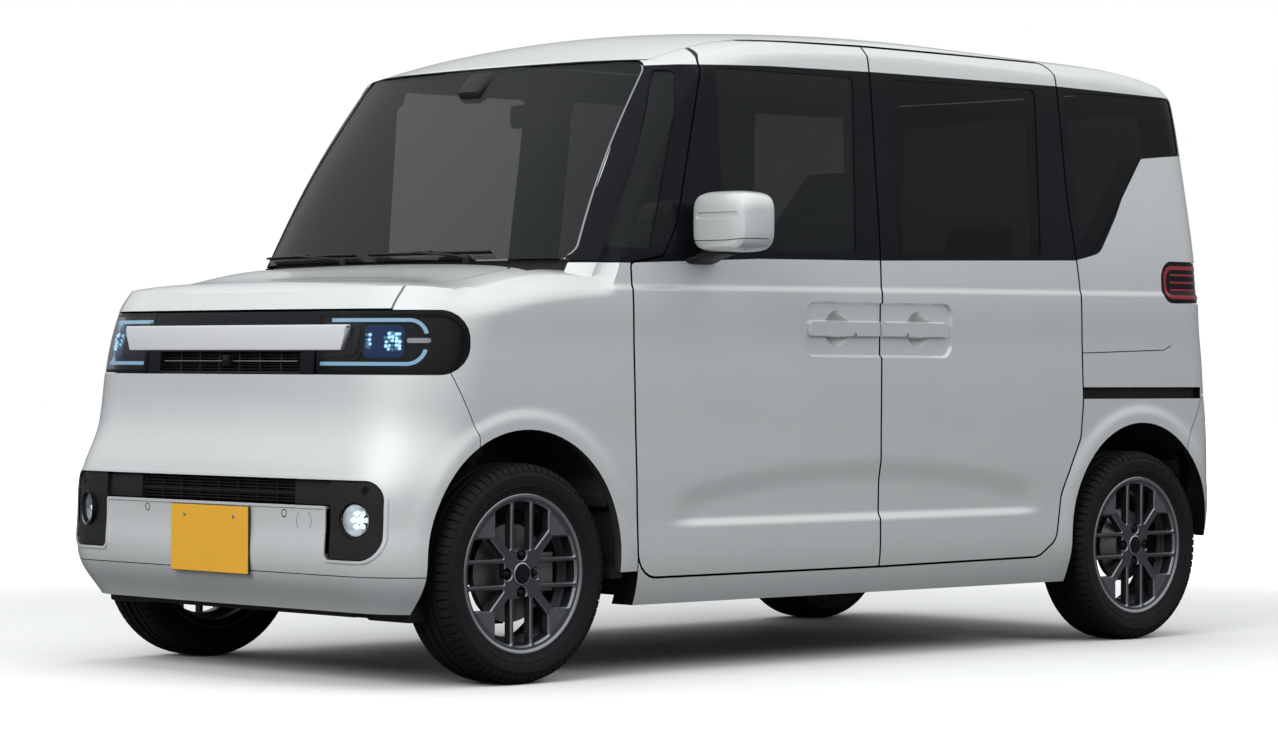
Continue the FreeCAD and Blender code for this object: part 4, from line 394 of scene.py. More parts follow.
SIDE = [(*HINGE_LOW, 0.0), (*HINGE_HIGH, 0.0), (-0.70, 0.6150, 0.0), (-0.70, 1.05, 0.0), (1.05, 1.05, 0.0),
        (1.05, 0.4128, 0.0), (0.9379, 0.4128, 0.0), (0.8884, 0.3289, 0.0), (0.8884, 0.1039, 0.0)]
DARK_SIDE = [(-1.021, 1.098, 0.0), (-0.701, 1.640, 0.012), (-0.30, 1.656, 0.0), (0.129, 1.663, 0.0),
             (0.925, 1.667, 0.0), (1.75, 1.655, 0.0), (1.75, 1.483, 0.0), (1.500, 1.481, 0.030),
             (1.290, 1.462, 0.060), (1.175, 1.280, 0.080), (1.090, 1.170, 0.060), (0.975, 1.146, 0.0),
             (0.10, 1.126, 0.0), (-0.387, 1.120, 0.0), (-0.868, 1.099, 0.0)]
SCREEN_FRONT = [(-0.885, 0.6150, 0.020), (0.885, 0.6150, 0.020), (0.790, 0.9200, 0.022),
                (-0.790, 0.9200, 0.022)]
GAP, SEAM = 0.0032, 0.0013
print("front door:", len(FRONT_DOOR), "corners")

# %% [markdown]
# An outline becomes a solid in three steps: its corners are rounded by their own radius, its edge is
# moved out or in by the gap of a seam, and it is pushed along the third axis of its view.

# %%
# Solids from outlines
def scaled(shares):
    return [(a * HALF_LENGTH, b * HEIGHT, r * HEIGHT) for a, b, r in shares]


def rounded(corners, steps=7):
    """Points of a closed outline whose corners are rounded by their own radius."""
    p = np.array([(a, b) for a, b, r in corners])
    out = []
    for k, (a, b, r) in enumerate(corners):
        here, back, ahead = p[k], p[k - 1] - p[k], p[(k + 1) % len(p)] - p[k]
        lb, la = np.linalg.norm(back), np.linalg.norm(ahead)
        back, ahead = back / lb, ahead / la
        turn = math.acos(np.clip(back @ ahead, -1, 1))
        if r <= 0 or turn > 3.13:
            out.append(here)
            continue
        reach = min(r / math.tan(turn / 2), lb * 0.49, la * 0.49)
        true = reach * math.tan(turn / 2)
        inward = (back + ahead) / np.linalg.norm(back + ahead)
        centre = here + inward * (true / math.sin(turn / 2))
        first, last = here + back * reach - centre, here + ahead * reach - centre
        for t in np.linspace(0, 1, steps + 1):
            v = first * (1 - t) + last * t
            out.append(centre + v / np.linalg.norm(v) * true)
    return np.array(out)


def grown(points, by):
    """Outline with its edge moved out by a distance."""
    if not by:
        return points
    area = 0.5 * np.sum(points[:, 0] * np.roll(points[:, 1], -1) - np.roll(points[:, 0], -1) * points[:, 1])
    edge = np.roll(points, -1, axis=0) - points
    edge /= np.linalg.norm(edge, axis=1)[:, None] + 1e-12
    normal = np.stack([edge[:, 1], -edge[:, 0]], 1) * (1 if area > 0 else -1)
    before = np.roll(normal, 1, axis=0)
    both = before + normal
    both /= np.maximum(np.sum(both * normal, axis=1), 0.35)[:, None]
    return points + both * by


PLANES = {"side": ((0, 1, 0), (0, 0, 1), (1, 0, 0)), "front": ((1, 0, 0), (0, 0, 1), (0, 1, 0)),
          "top": ((1, 0, 0), (0, 1, 0), (0, 0, 1)),
          "corner": ((math.sqrt(0.5), math.sqrt(0.5), 0), (0, 0, 1), (math.sqrt(0.5), -math.sqrt(0.5), 0))}


def prism(points, plane, low, high, by=0.0):
    """Solid made by pushing an outline along the third axis of its view."""
    if len(points[0]) == 3:
        points = rounded(points)
    points = grown(np.asarray(points, float), by)
    u, v, n = [np.array(a, float) for a in PLANES[plane]]
    base = points[:, :1] * u + points[:, 1:] * v
    count = len(points)
    verts = np.concatenate([base + n * low, base + n * high])
    i = np.arange(count)
    j = (i + 1) % count
    faces = np.stack([i, j, j + count, i + count], 1).tolist()
    faces += [i[::-1].tolist(), (i + count).tolist()]
    return outward(mesh_of("prism", verts, faces))


def oblong(a0, a1, b0, b1, r0=None, r1=None):
    """Corners of a rectangle; given a radius, each corner carries one, r1 being that of the far side."""
    corners = [(a0, b0), (a1, b0), (a1, b1), (a0, b1)]
    if r0 is None:
        return corners
    return [(a, b, r) for (a, b), r in zip(corners, (r0, r1 or r0, r1 or r0, r0))]


def block(x0, x1, y0, y1, z0, z1):
    return prism(oblong(x0, x1, y0, y1), "top", z0, z1)


def mirrored(mesh):
    made = mesh.copy()
    made.transform(Matrix.Scale(-1, 4, (1, 0, 0)))
    made.flip_normals()
    return made


SIDE_NEAR, SIDE_FAR = 0.18, 2.0
ARCH_RADIUS, WELL_DEPTH = 0.332, 0.395


def side_prism(shares, by=0.0):
    return prism(scaled(shares), "side", SIDE_NEAR, SIDE_FAR, by)


def wheel_opening(axle):
    """Wheel arch with the well behind it, open downwards."""
    turn, r = np.linspace(0, math.pi, 40), ARCH_RADIUS
    arc = [(axle + r * math.cos(t), ARCH_Z + r * math.sin(t)) for t in turn]
    return prism(arc + [(axle - r, -0.05), (axle + r, -0.05)], "side", WELL_DEPTH, SIDE_FAR)


def join(*meshes):
    """Several meshes as one, each face with its own material."""
    bm = bmesh.new()
    mats = []
    for m in meshes:
        m = m.copy()
        index = np.zeros(len(m.polygons), np.int32)
        m.polygons.foreach_get("material_index", index)
        for mat in m.materials:
            if mat not in mats:
                mats.append(mat)
        places = np.array([mats.index(mat) for mat in m.materials] or [0], np.int32)
        m.polygons.foreach_set("material_index", places[np.minimum(index, len(places) - 1)])
        bm.from_mesh(m)
    made = bpy.data.meshes.new("joined")
    for mat in mats:
        made.materials.append(mat)
    bm.to_mesh(made)
    bm.free()
    return made


print("outlines ready")

# %% [markdown]
# Real paint, rubber and cloth are never one flat colour. An image could carry that, but a noise in
# the shader needs no file and no unwrapping. One node group holds it for every material: the colour
# and the roughness wander a little, and grain or flakes tilt the normal.

# %%
# One effect for every surface
MATS = {}


def surface_group():
    """Shared effect: colour and roughness wander with a noise, with fine grain and flakes in the normal."""
    group = bpy.data.node_groups.new("surface", "ShaderNodeTree")
    for name, kind, way in (("Color", "Color", "INPUT"), ("Roughness", "Float", "INPUT"),
                            ("Grain", "Float", "INPUT"), ("Scale", "Float", "INPUT"),
                            ("Bump", "Float", "INPUT"), ("Flakes", "Float", "INPUT"),
                            ("Color", "Color", "OUTPUT"), ("Roughness", "Float", "OUTPUT"),
                            ("Normal", "Vector", "OUTPUT")):
        group.interface.new_socket(name, in_out=way, socket_type="NodeSocket" + kind)
    nodes, links = group.nodes, group.links
    given, result = nodes.new("NodeGroupInput"), nodes.new("NodeGroupOutput")
    coord = nodes.new("ShaderNodeTexCoord")

    def math_node(operation, *values):
        node = nodes.new("ShaderNodeMath")
        node.operation = operation
        for socket, value in zip(node.inputs, values):
            if isinstance(value, (int, float)):
                socket.default_value = value
            else:
                links.new(value, socket)
        return node.outputs[0]

    noise = nodes.new("ShaderNodeTexNoise")
    noise.inputs["Detail"].default_value = 6
    links.new(coord.outputs["Object"], noise.inputs["Vector"])
    links.new(given.outputs["Scale"], noise.inputs["Scale"])
    swing = math_node("MULTIPLY_ADD", noise.outputs["Fac"], 2, -1)
    light = math_node("MULTIPLY_ADD", swing, given.outputs["Grain"], 1)
    tint = nodes.new("ShaderNodeVectorMath")
    tint.operation = "SCALE"
    links.new(given.outputs["Color"], tint.inputs[0])
    links.new(light, tint.inputs["Scale"])
    links.new(tint.outputs[0], result.inputs["Color"])
    rough = math_node("MULTIPLY_ADD", math_node("MULTIPLY", swing, given.outputs["Grain"]), 3, 1)
    links.new(math_node("MULTIPLY", rough, given.outputs["Roughness"]), result.inputs["Roughness"])
    normal = None
    for kind, share, finer, output in (("ShaderNodeTexNoise", "Bump", 8, "Fac"),
                                       ("ShaderNodeTexVoronoi", "Flakes", 60, "Distance")):
        fine, dent = nodes.new(kind), nodes.new("ShaderNodeBump")
        links.new(coord.outputs["Object"], fine.inputs["Vector"])
        links.new(math_node("MULTIPLY", given.outputs["Scale"], finer), fine.inputs["Scale"])
        dent.inputs["Distance"].default_value = 0.001
        links.new(given.outputs[share], dent.inputs["Strength"])
        links.new(fine.outputs[output], dent.inputs["Height"])
        if normal:
            links.new(normal, dent.inputs["Normal"])
        normal = dent.outputs["Normal"]
    links.new(normal, result.inputs["Normal"])
    return group


SURFACE = surface_group()

# %% [markdown]
# Paint is a base with fine flakes under a clear coat, glass is nearly black and thin, rubber is rough.
# Each is one call with its own numbers, which makes finishes easy to compare.

# %%
# Materials
def material(name, color, rough, metal=0.0, grain=0.04, grain_scale=60.0, bump=0.0, coat=0.0, flakes=0.0,
             emit=None, glass=0.0, sheen=0.0, ior=1.5, alpha=1.0):
    """Principled material whose colour, roughness and normal come from the shared surface effect."""
    mat = bpy.data.materials.new(name)
    mat.use_nodes = True
    tree = mat.node_tree
    shader = tree.nodes["Principled BSDF"]
    surface = tree.nodes.new("ShaderNodeGroup")
    surface.node_tree = SURFACE
    for socket, value in (("Color", (*color, 1)), ("Roughness", rough), ("Grain", grain),
                          ("Scale", grain_scale), ("Bump", bump), ("Flakes", flakes)):
        surface.inputs[socket].default_value = value
    tree.links.new(surface.outputs["Color"], shader.inputs["Base Color"])
    tree.links.new(surface.outputs["Roughness"], shader.inputs["Roughness"])
    if bump or flakes:
        tree.links.new(surface.outputs["Normal"], shader.inputs["Normal"])
    for socket, value in (("Metallic", metal), ("Coat Weight", coat), ("Coat Roughness", 0.03), ("IOR", ior),
                          ("Transmission Weight", glass), ("Sheen Weight", sheen), ("Alpha", alpha)):
        shader.inputs[socket].default_value = value
    if emit:
        shader.inputs["Emission Color"].default_value = (*emit[:3], 1)
        shader.inputs["Emission Strength"].default_value = emit[3]
    MATS[name] = mat
    return mat


material("body_paint", (0.80, 0.825, 0.825), 0.30, metal=0.42, grain=0.02, grain_scale=9, coat=0.8,
         flakes=0.04)
material("gloss_black", (0.008, 0.009, 0.011), 0.12, grain=0.05, grain_scale=14, ior=1.24)
material("cabin_glass", (0.010, 0.013, 0.014), 0.02, grain=0.03, grain_scale=5, ior=1.5, alpha=0.52)
material("dark_glass", (0.006, 0.007, 0.008), 0.03, grain=0.04, grain_scale=5, ior=1.32, alpha=0.76)
material("black_plastic", (0.015, 0.015, 0.016), 0.48, grain=0.12, grain_scale=40, bump=0.25, ior=1.38)
# Black mesh of grilles and vents; on the walls of seams, grooves and the door rail slot it is painted shade.
material("black_mesh_and_groove_shade", (0.006, 0.006, 0.007), 0.6, grain=0.2, grain_scale=80, bump=0.2)
material("satin_metal", (0.62, 0.63, 0.64), 0.28, metal=0.9, grain=0.04, grain_scale=30, bump=0.03)
material("lamp_dark", (0.007, 0.008, 0.010), 0.14, grain=0.05, grain_scale=20, ior=1.3)
material("lamp_clear", (0.93, 0.94, 0.96), 0.02, grain=0.02, grain_scale=10, glass=1.0, ior=1.22)
material("lamp_glow", (0.45, 0.58, 0.66), 0.25, grain=0.03, emit=(0.30, 0.62, 0.90, 0.45))
material("lens_blue", (0.10, 0.22, 0.42), 0.05, grain=0.10, grain_scale=60, coat=1.0,
         emit=(0.20, 0.45, 0.80, 0.15))
material("lens_deep", (0.006, 0.014, 0.040), 0.12, grain=0.10, grain_scale=60, emit=(0.02, 0.10, 0.35, 0.18),
         ior=1.3)
material("gem_glow", (0.45, 0.70, 0.92), 0.08, grain=0.10, grain_scale=120, emit=(0.45, 0.80, 1.0, 0.9))
material("fog_glow", (0.80, 0.84, 0.86), 0.10, grain=0.08, grain_scale=90, emit=(0.85, 0.95, 1.0, 0.9))
material("red_lens", (0.30, 0.012, 0.018), 0.09, grain=0.06, grain_scale=25, coat=0.8)
material("clear_lens", (0.55, 0.56, 0.58), 0.12, grain=0.05, grain_scale=35, coat=0.8)
material("plate_yellow", (0.80, 0.42, 0.035), 0.42, grain=0.03, grain_scale=25, bump=0.05)
# Dark inner trim; on the backs of the body panels it is also painted shade that darkens the panel gaps.
material("trim_inner", (0.035, 0.035, 0.037), 0.62, grain=0.10, grain_scale=50, bump=0.3)
material("tyre", (0.011, 0.011, 0.012), 0.72, grain=0.15, grain_scale=45, bump=0.2, ior=1.34)
material("wheel_alloy", (0.105, 0.11, 0.125), 0.33, metal=0.8, grain=0.04, grain_scale=60, coat=0.4,
         flakes=0.05)
# Bright edge metal: machined rim edges whose brightness is partly a painted highlight, and a painted
# highlight along the screen pillars.
material("edge_metal_and_highlight", (0.42, 0.43, 0.45), 0.25, metal=0.85, grain=0.03, grain_scale=60, coat=0.3)
material("alloy_plate", (0.20, 0.205, 0.225), 0.32, metal=0.8, grain=0.03, grain_scale=60, coat=0.4)
material("rim_dark", (0.022, 0.023, 0.026), 0.38, grain=0.05, grain_scale=60, coat=0.2)
material("bar_satin", (0.84, 0.85, 0.87), 0.36, metal=0.30, grain=0.015, grain_scale=12, coat=0.2)
material("cast_iron", (0.24, 0.235, 0.23), 0.38, metal=0.9, grain=0.10, grain_scale=70, bump=0.1)
material("chassis_black", (0.02, 0.02, 0.021), 0.55, grain=0.15, grain_scale=20, bump=0.2)
material("floor_metal", (0.035, 0.035, 0.037), 0.6, grain=0.15, grain_scale=20, bump=0.2)
material("seat_cloth", (0.040, 0.041, 0.045), 0.85, grain=0.25, grain_scale=90, bump=0.5, sheen=0.3)
material("steering_cover", (0.025, 0.025, 0.026), 0.5, grain=0.1, grain_scale=60, bump=0.3)
print(len(MATS), "materials")

# %% [markdown]
# A wagon opens and turns in eleven places, so each finished mesh is hung on the body that moves it
# and hides the plain piece of the frame that it stands for, where there is one. The cutting zones of
# the panels follow, since neighbours on the car share one seam line and so should share one outline here.

# %%
# Putting a finished mesh on its body
MADE = {}
SKIN_SLOT = {"gloss_black": "black_plastic", "cabin_glass": "dark_glass", "lamp_dark": "lamp_lens",
             "lamp_clear": "lamp_lens", "lamp_glow": "lamp_lens", "clear_lens": "lamp_lens",
             "lens_blue": "lamp_lens", "lens_deep": "lamp_lens", "gem_glow": "lamp_lens",
             "fog_glow": "lamp_lens", "black_mesh_and_groove_shade": "black_plastic", "trim_inner": "black_plastic",
             "edge_metal_and_highlight": "wheel_alloy", "alloy_plate": "wheel_alloy", "rim_dark": "wheel_alloy",
             "bar_satin": "satin_metal"}


def put(name, mesh, body="root", mats=(), hides=(), slot=None, smooth=32, weighted=True):
    """Finished piece: materials, smooth shading, its body, and the nodes it stands for hidden; its finish
    slot is worked out but not kept.
    """
    mesh.name = name
    for k, mat in enumerate(mats):
        if k < len(mesh.materials):
            mesh.materials[k] = MATS[mat]
        else:
            mesh.materials.append(MATS[mat])
    obj = object_of(name, mesh)
    for poly in mesh.polygons:
        poly.use_smooth = True
    mesh.set_sharp_from_angle(angle=math.radians(smooth))
    if weighted:
        modifier = obj.modifiers.new("weighted", "WEIGHTED_NORMAL")
        modifier.keep_sharp = True
        modifier.weight = 80
    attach(obj, body)
    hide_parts(*hides)
    first = mats[0] if mats else mesh.materials[0].name.split(".")[0]
    slot = slot or SKIN_SLOT.get(first, first)
    MADE[name] = obj
    return obj


def tagged(mesh, mat):
    """Mesh whose faces all carry one material."""
    mesh.materials.clear()
    mesh.materials.append(MATS[mat])
    mesh.polygons.foreach_set("material_index", np.zeros(len(mesh.polygons), np.int32))
    return mesh


for shell in (OUTER, *SHELLS.values()):
    tagged(shell, "body_paint")
for shell in (GLASS_OUT, GLASS_IN):
    tagged(shell, "cabin_glass")
# The backs of the panels are dark inner trim, partly painted shade that makes the panel gaps read dark.
DARK = {t: tagged(SHELLS[t].copy(), "trim_inner") for t in SHELLS}
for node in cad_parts.values():
    given = node.data.materials[0].name.split(".")[0] if node.data.materials else ""
    for k in range(len(node.data.materials)):
        node.data.materials[k] = MATS.get(given, MATS["black_plastic"])


# %% [markdown]
# Hood, screen, roof, tailgate and lamps meet along shared lines. Each zone is one function of a gap,
# so one panel is cut a little inside the line and its neighbour a little outside.

# %%
# Zones that cut the panels
FAR = 2.5
NOSE_BACK, BAND_BACK = -1.3, -1.36  # how far back the cuts through the nose and the dark band reach
GATE = [(-0.590, 0.640, 0.04), (0.590, 0.640, 0.04), (0.590, 1.350, 0.3), (0.520, 1.690, 0.04),
        (-0.520, 1.690, 0.04), (-0.590, 1.350, 0.3)]
GATE_GLASS = [(-0.568, 1.160, 0.045), (0.568, 1.160, 0.045), (0.507, 1.628, 0.045), (-0.507, 1.628, 0.045)]
HOOD_TOP = [(-0.560, -FAR, 0.0), (0.560, -FAR, 0.0), (0.590, -1.1594, 0.03), (-0.590, -1.1594, 0.03)]
ROOF_TOP = [(-0.531, -FAR, 0.0), (0.531, -FAR, 0.0), (0.575, -0.3395, 0.3), (0.575, FAR, 0.0),
            (-0.575, FAR, 0.0), (-0.575, -0.3395, 0.3)]
LAMP_START = (0.355 - 1.6517 + 0.020) * math.sqrt(0.5)
BAND_LOW, BAND_HIGH = 0.801, 0.965  # the dark band and the lamps share these heights
LAMP = [(LAMP_START, BAND_LOW, 0.008), (LAMP_START, BAND_HIGH, 0.008), (-0.500, BAND_HIGH, 0.074),
        (-0.500, BAND_LOW, 0.074)]
INSERT = [(-0.655, 0.330, 0.06), (-0.470, 0.330, 0.014), (-0.470, 0.466, 0.008), (0.470, 0.466, 0.008),
          (0.470, 0.330, 0.014), (0.655, 0.330, 0.06), (0.655, 0.531, 0.05), (-0.655, 0.531, 0.05)]


def hood_zone(by):
    return prism(HOOD_TOP, "top", 0.9667 - by, 1.25, by)


def screen_zone(by):
    return prism([(a * HALF_WIDTH, b * HEIGHT, r * HEIGHT) for a, b, r in SCREEN_FRONT], "front", -FAR, -0.34,
                 by)


def roof_zone(by):
    return prism(ROOF_TOP, "top", 0.9215 * HEIGHT - by, 1.98, by)


def gate_zone(by):
    return prism(GATE, "front", 1.50, FAR, by)


def corner_prism(points, by=0.0):
    """Outline pushed through the front corner, where a headlamp is seen square on."""
    return prism(points, "corner", 0.26, 2.0, by)


def lamp_zone(by):
    return corner_prism(LAMP, by)


def tail_zone(by):
    corners = [(1.385, 1.026, 0.05), (1.385, 1.152, 0.05), (FAR, 1.152, 0.0), (FAR, 1.026, 0.0)]
    return prism(corners, "side", 0.53, FAR, by)


def cowl_zone(by=0.0):
    return block(-0.64, 0.64, -1.1594, -0.95, 0.99, 1.107 + by)


def band_zone(by):
    return prism(oblong(-0.415, 0.415, BAND_LOW, BAND_HIGH), "front", -FAR, BAND_BACK, by)


def dark_side():
    return prism(DARK_SIDE, "side", SIDE_NEAR, FAR)


def two_tone(mesh, zone):
    """Panel whose painted faces inside a zone are gloss black instead."""
    part = common(mesh, tagged(zone.copy(), "gloss_black"))
    kept = less(mesh, tagged(zone.copy(), "body_paint"))
    given = list(part.materials)
    for poly in part.polygons:
        if given[poly.material_index] == MATS["body_paint"]:
            poly.material_index = given.index(MATS["gloss_black"])
    return join(kept, part)


print("zones ready")

# %% [markdown]
# Bars, caps, pads and soft blocks recur all over a car. Each could be modelled by hand; a loft and a
# turned outline cover nearly all of them, and they stay exact when a size changes.

# %%
# Small solids
def welded(mesh):
    """Mesh without doubled points, its faces turned outward."""
    bm = bmesh.new()
    bm.from_mesh(mesh)
    bmesh.ops.remove_doubles(bm, verts=bm.verts, dist=1e-6)
    bmesh.ops.recalc_face_normals(bm, faces=bm.faces)
    bm.to_mesh(mesh)
    bm.free()
    return mesh


def loft(rings, close=False):
    """Skin over rings of points; the ends are capped unless the run closes on itself."""
    rings = np.asarray(rings, float)
    return welded(mesh_of("loft", rings.reshape(-1, 3), ring_faces(*rings.shape[:2], close)))


def across(n):
    """Two directions at right angles to a third one."""
    n = np.asarray(n, float) / np.linalg.norm(n)
    side = np.cross(n, (0, 0, 1) if abs(n[2]) < 0.9 else (0, 1, 0))
    side /= np.linalg.norm(side)
    return side, np.cross(n, side), n


def turned(points, centre=(0, 0, 0), axis=(1, 0, 0), steps=64):
    """Solid of revolution: an outline of radius and height, closed on itself or by the axis."""
    p = np.asarray(points, float)
    u, v, n = across(axis)
    t = np.linspace(0, 2 * math.pi, steps, endpoint=False)
    spin = np.cos(t)[:, None] * u + np.sin(t)[:, None] * v
    verts = np.asarray(centre, float) + spin[:, None, :] * p[None, :, :1] + n * p[None, :, 1:]
    count = len(p)
    on_axis = p[0, 0] < 1e-9
    i = np.arange(count - 1 if on_axis else count)
    k = (i + 1) % count
    faces = []
    for s in range(steps):
        a, b = s * count, (s + 1) % steps * count
        faces += np.stack([a + i, a + k, b + k, b + i], 1).tolist()
    return welded(mesh_of("turned", verts.reshape(-1, 3), faces))


def rod(a, b, radius, steps=16, end=None):
    """Round bar from one point to another."""
    a, b = np.asarray(a, float), np.asarray(b, float)
    long = np.linalg.norm(b - a)
    return turned([(0, 0), (radius, 0), (radius if end is None else end, long), (0, long)], a, b - a, steps)


def tube(path, radius, steps=10, squash=1.0):
    """Round bar along a path of points; squash flattens it."""
    p = np.asarray(path, float)
    rings = []
    turn = np.linspace(0, 2 * math.pi, steps, endpoint=False)
    for k in range(len(p)):
        along = p[min(k + 1, len(p) - 1)] - p[max(k - 1, 0)]
        u, v = across(along)[:2]
        rings.append(p[k] + radius * (np.cos(turn)[:, None] * u + squash * np.sin(turn)[:, None] * v))
    return loft(rings)


def tapered(points, plane, low, high, grow_low=0.0, grow_high=0.0):
    """Prism whose two ends differ in size."""
    if len(points[0]) == 3:
        points = rounded(points)
    points = np.asarray(points, float)
    u, v, n = [np.array(a, float) for a in PLANES[plane]]
    rings = []
    for at, by in ((low, grow_low), (high, grow_high)):
        p = grown(points, by)
        rings.append(p[:, :1] * u + p[:, 1:] * v + n * at)
    return loft(rings)


def soft_block(x0, x1, y0, y1, z0, z1, radius, segments=3):
    """Block with all edges rounded."""
    mesh = block(x0, x1, y0, y1, z0, z1)
    bm = bmesh.new()
    bm.from_mesh(mesh)
    bmesh.ops.bevel(bm, geom=bm.edges[:] + bm.verts[:], offset=radius, segments=segments, profile=0.5,
                    affect="EDGES")
    bm.to_mesh(mesh)
    bm.free()
    return mesh


def moved(mesh, place=(0, 0, 0), angle=0.0, axis="X"):
    made = mesh.copy()
    made.transform(Matrix.Translation(place) @ Matrix.Rotation(angle, 4, axis))
    return made

# %% [markdown]
# Sensors, lamps and plates sit on the skin. Their places are read off the form
# itself, so they follow it when it changes.

# %%
# Places on the body, and slices of its skin
def oval(cx, cy, rx, ry, power=2.0, count=40):
    """Points of a superellipse."""
    t = np.linspace(0, 2 * math.pi, count, endpoint=False)
    c, s = np.cos(t), np.sin(t)
    return np.stack([cx + rx * np.sign(c) * np.abs(c) ** (2 / power),
                     cy + ry * np.sign(s) * np.abs(s) ** (2 / power)], 1)


def ribbon(path, width):
    """Outline of a band of even width along an open path."""
    p = np.asarray(path, float)
    along = np.gradient(p, axis=0)
    along /= np.linalg.norm(along, axis=1)[:, None]
    normal = np.stack([along[:, 1], -along[:, 0]], 1)
    return np.concatenate([p + normal * width / 2, (p - normal * width / 2)[::-1]])


def nose_point(x, z, inset=0.0):
    """Point on the front of the body form and the direction out of it."""
    def at(x, z):
        px, py = half_ring(np.array([z]), inset)
        return np.interp(abs(x), px[0, :30], py[0, :30])
    y, e = at(x, z), 0.004
    side = 1 if x >= 0 else -1
    slope = (at(abs(x) + e, z) - at(max(abs(x) - e, 0), z)) / (2 * e)
    rise = (at(x, z + e) - at(x, z - e)) / (2 * e)
    n = np.array([slope * side, -1.0, rise])
    return np.array([x, y, z]), n / np.linalg.norm(n)


def side_x(y, z):
    """Half width of the body form on its side."""
    px, py = half_ring(np.array([z]), 0.0)
    relief = side_relief(np.array([float(y)]), np.array([float(z)]))[0]
    return float(np.interp(y, py[0, 16:190], px[0, 16:190])) + relief


def slice_of(zone, near, far, mat):
    """Slab of the body form between two depths inside a zone, of one material."""
    return less(common(tagged(skin(near).copy(), mat), tagged(zone, mat)), tagged(skin(far).copy(), mat))


SKINS = {0: OUTER, 0.003: GLASS_OUT, 0.008: GLASS_IN, **SHELLS}


def skin(depth):
    """Body form at a depth, made once and kept."""
    if depth not in SKINS:
        SKINS[depth] = envelope(depth)
        tagged(SKINS[depth], "body_paint")
    return SKINS[depth]


print("helpers ready")

# %% [markdown]
# Pressed sheet panels. They could be drawn as surfaces of their own, but panels cut from one form
# meet each other in even gaps, and a highlight runs on from one to the next as it does on paint.

# %%
# Hood, roof, cowl, fenders and body sides
# The dark backs cut here show through the panel gaps as painted shade.
hood = less(common(OUTER, hood_zone(-GAP)), DARK[0.018])
put("hood_skin", hood, "hood", ["body_paint", "trim_inner"], ["hood"])

roof = less(common(OUTER, roof_zone(-SEAM)), DARK[0.024], screen_zone(SEAM), gate_zone(GAP))
put("roof_skin", roof, "root", ["body_paint", "trim_inner"], ["roof"])

cowl_block = block(-0.66, 0.66, -1.1594, -0.95, 0.99, 1.105)
cowl = less(common(tagged(SHELLS[0.018].copy(), "black_plastic"), cowl_block), SHELLS[0.042], hood_zone(GAP))
put("cowl_skin", cowl, "root", ["black_plastic"], ["cowl_panel"])

fender = common(OUTER, side_prism(FENDER, -SEAM))
fender = less(fender, DARK[0.024], hood_zone(GAP), band_zone(SEAM), lamp_zone(SEAM),
              wheel_opening(FRONT_AXLE), cowl_zone(), screen_zone(SEAM), side_prism(FRONT_DOOR, GAP))
fender = two_tone(fender, dark_side())
put("fender_skin_left", fender, "root", ["body_paint", "trim_inner"], ["fender_left"])
put("fender_skin_right", mirrored(fender), "root", [], ["fender_right"], "body_paint")


def front_quarter_zone(by=0.0):
    """Small window behind the screen pillar, kept clear of the screen."""
    return tagged(less(side_prism(FRONT_QUARTER, by), screen_zone(0.024)), "gloss_black")


side = less(common(OUTER, side_prism(SIDE, -SEAM)), DARK[0.080])
door_seat = envelope(0.049)
for shares in (FRONT_DOOR, SLIDING_DOOR):
    pocket = tagged(less(side_prism(shares, GAP), door_seat), "gloss_black")
    side = less(side, pocket, tagged(side_prism(shares, -0.038), "trim_inner"))
side = less(side, screen_zone(SEAM), roof_zone(SEAM), cowl_zone(SEAM), gate_zone(GAP),
            wheel_opening(REAR_AXLE), tail_zone(SEAM), tagged(side_prism(QUARTER_WINDOW), "gloss_black"),
            front_quarter_zone())
# The door rail slot and the seam groove get black walls: painted shade in these recesses.
rail = prism(oblong(1.005, 1.582, 0.7326, 0.7677), "side", 0.5, 0.8)
rail = tagged(less(rail, skin(0.018)), "black_mesh_and_groove_shade")
crease = ribbon([(1.000, 0.870), (1.2, 0.8755), (1.393, 0.881), (1.427, 0.894)], 0.003)
crease = prism(crease, "side", 0.5, 0.8)
side = less(side, rail, tagged(less(crease, skin(0.003)), "black_mesh_and_groove_shade"))
side = two_tone(side, dark_side())
put("body_side_skin_left", side, "root", [], ["body_side_left"], "body_paint")
put("body_side_skin_right", mirrored(side), "root", [], ["body_side_right"], "body_paint")
print("body sides:", len(side.polygons), "faces each")

# %% [markdown]
# The doors are slices of the same form with a shallow pressed field for the handles. The cups for the
# fingers are turned hollows, and the bars lie across them, a little proud of the field.

# %%
# Doors with their window frames and handles, and the tailgate
HANDLE_FIELD = oblong(-0.203, 0.407, 0.852, 1.006, 0.036)
handle_recess = tagged(less(tapered(HANDLE_FIELD, "side", 0.7255, 0.7435, -0.010, 0.005), skin(0.0085)),
                       "body_paint")
CUP = [(0, -0.070), *[(0.070 * math.cos(t), 0.070 * math.sin(t)) for t in np.linspace(-1.5, 1.5, 26)],
       (0, 0.070)]
cups = [tagged(turned(CUP, (0.7775, y, 0.932), (1, 0, 0), 48), "body_paint") for y in (-0.070, 0.270)]
for name, shares, window in (("door", FRONT_DOOR, FRONT_WINDOW),
                             ("sliding_door", SLIDING_DOOR, SLIDING_WINDOW)):
    panel = less(common(OUTER, side_prism(shares, -GAP)), DARK[0.042],
                 tagged(side_prism(window), "gloss_black"), roof_zone(GAP), handle_recess, *cups)
    panel = two_tone(panel, dark_side())
    for side_name, made in (("left", panel), ("right", mirrored(panel))):
        body = "door_" + side_name if name == "door" else "root"
        put(name + "_skin_" + side_name, made, body, [], [name + "_" + side_name], "body_paint")


def plate_recess():
    """Pressed field for the rear plate."""
    return tapered(oblong(-0.180, 0.180, 0.700, 0.872, 0.03), "front", 1.60, 1.72, -0.012, 0.010)


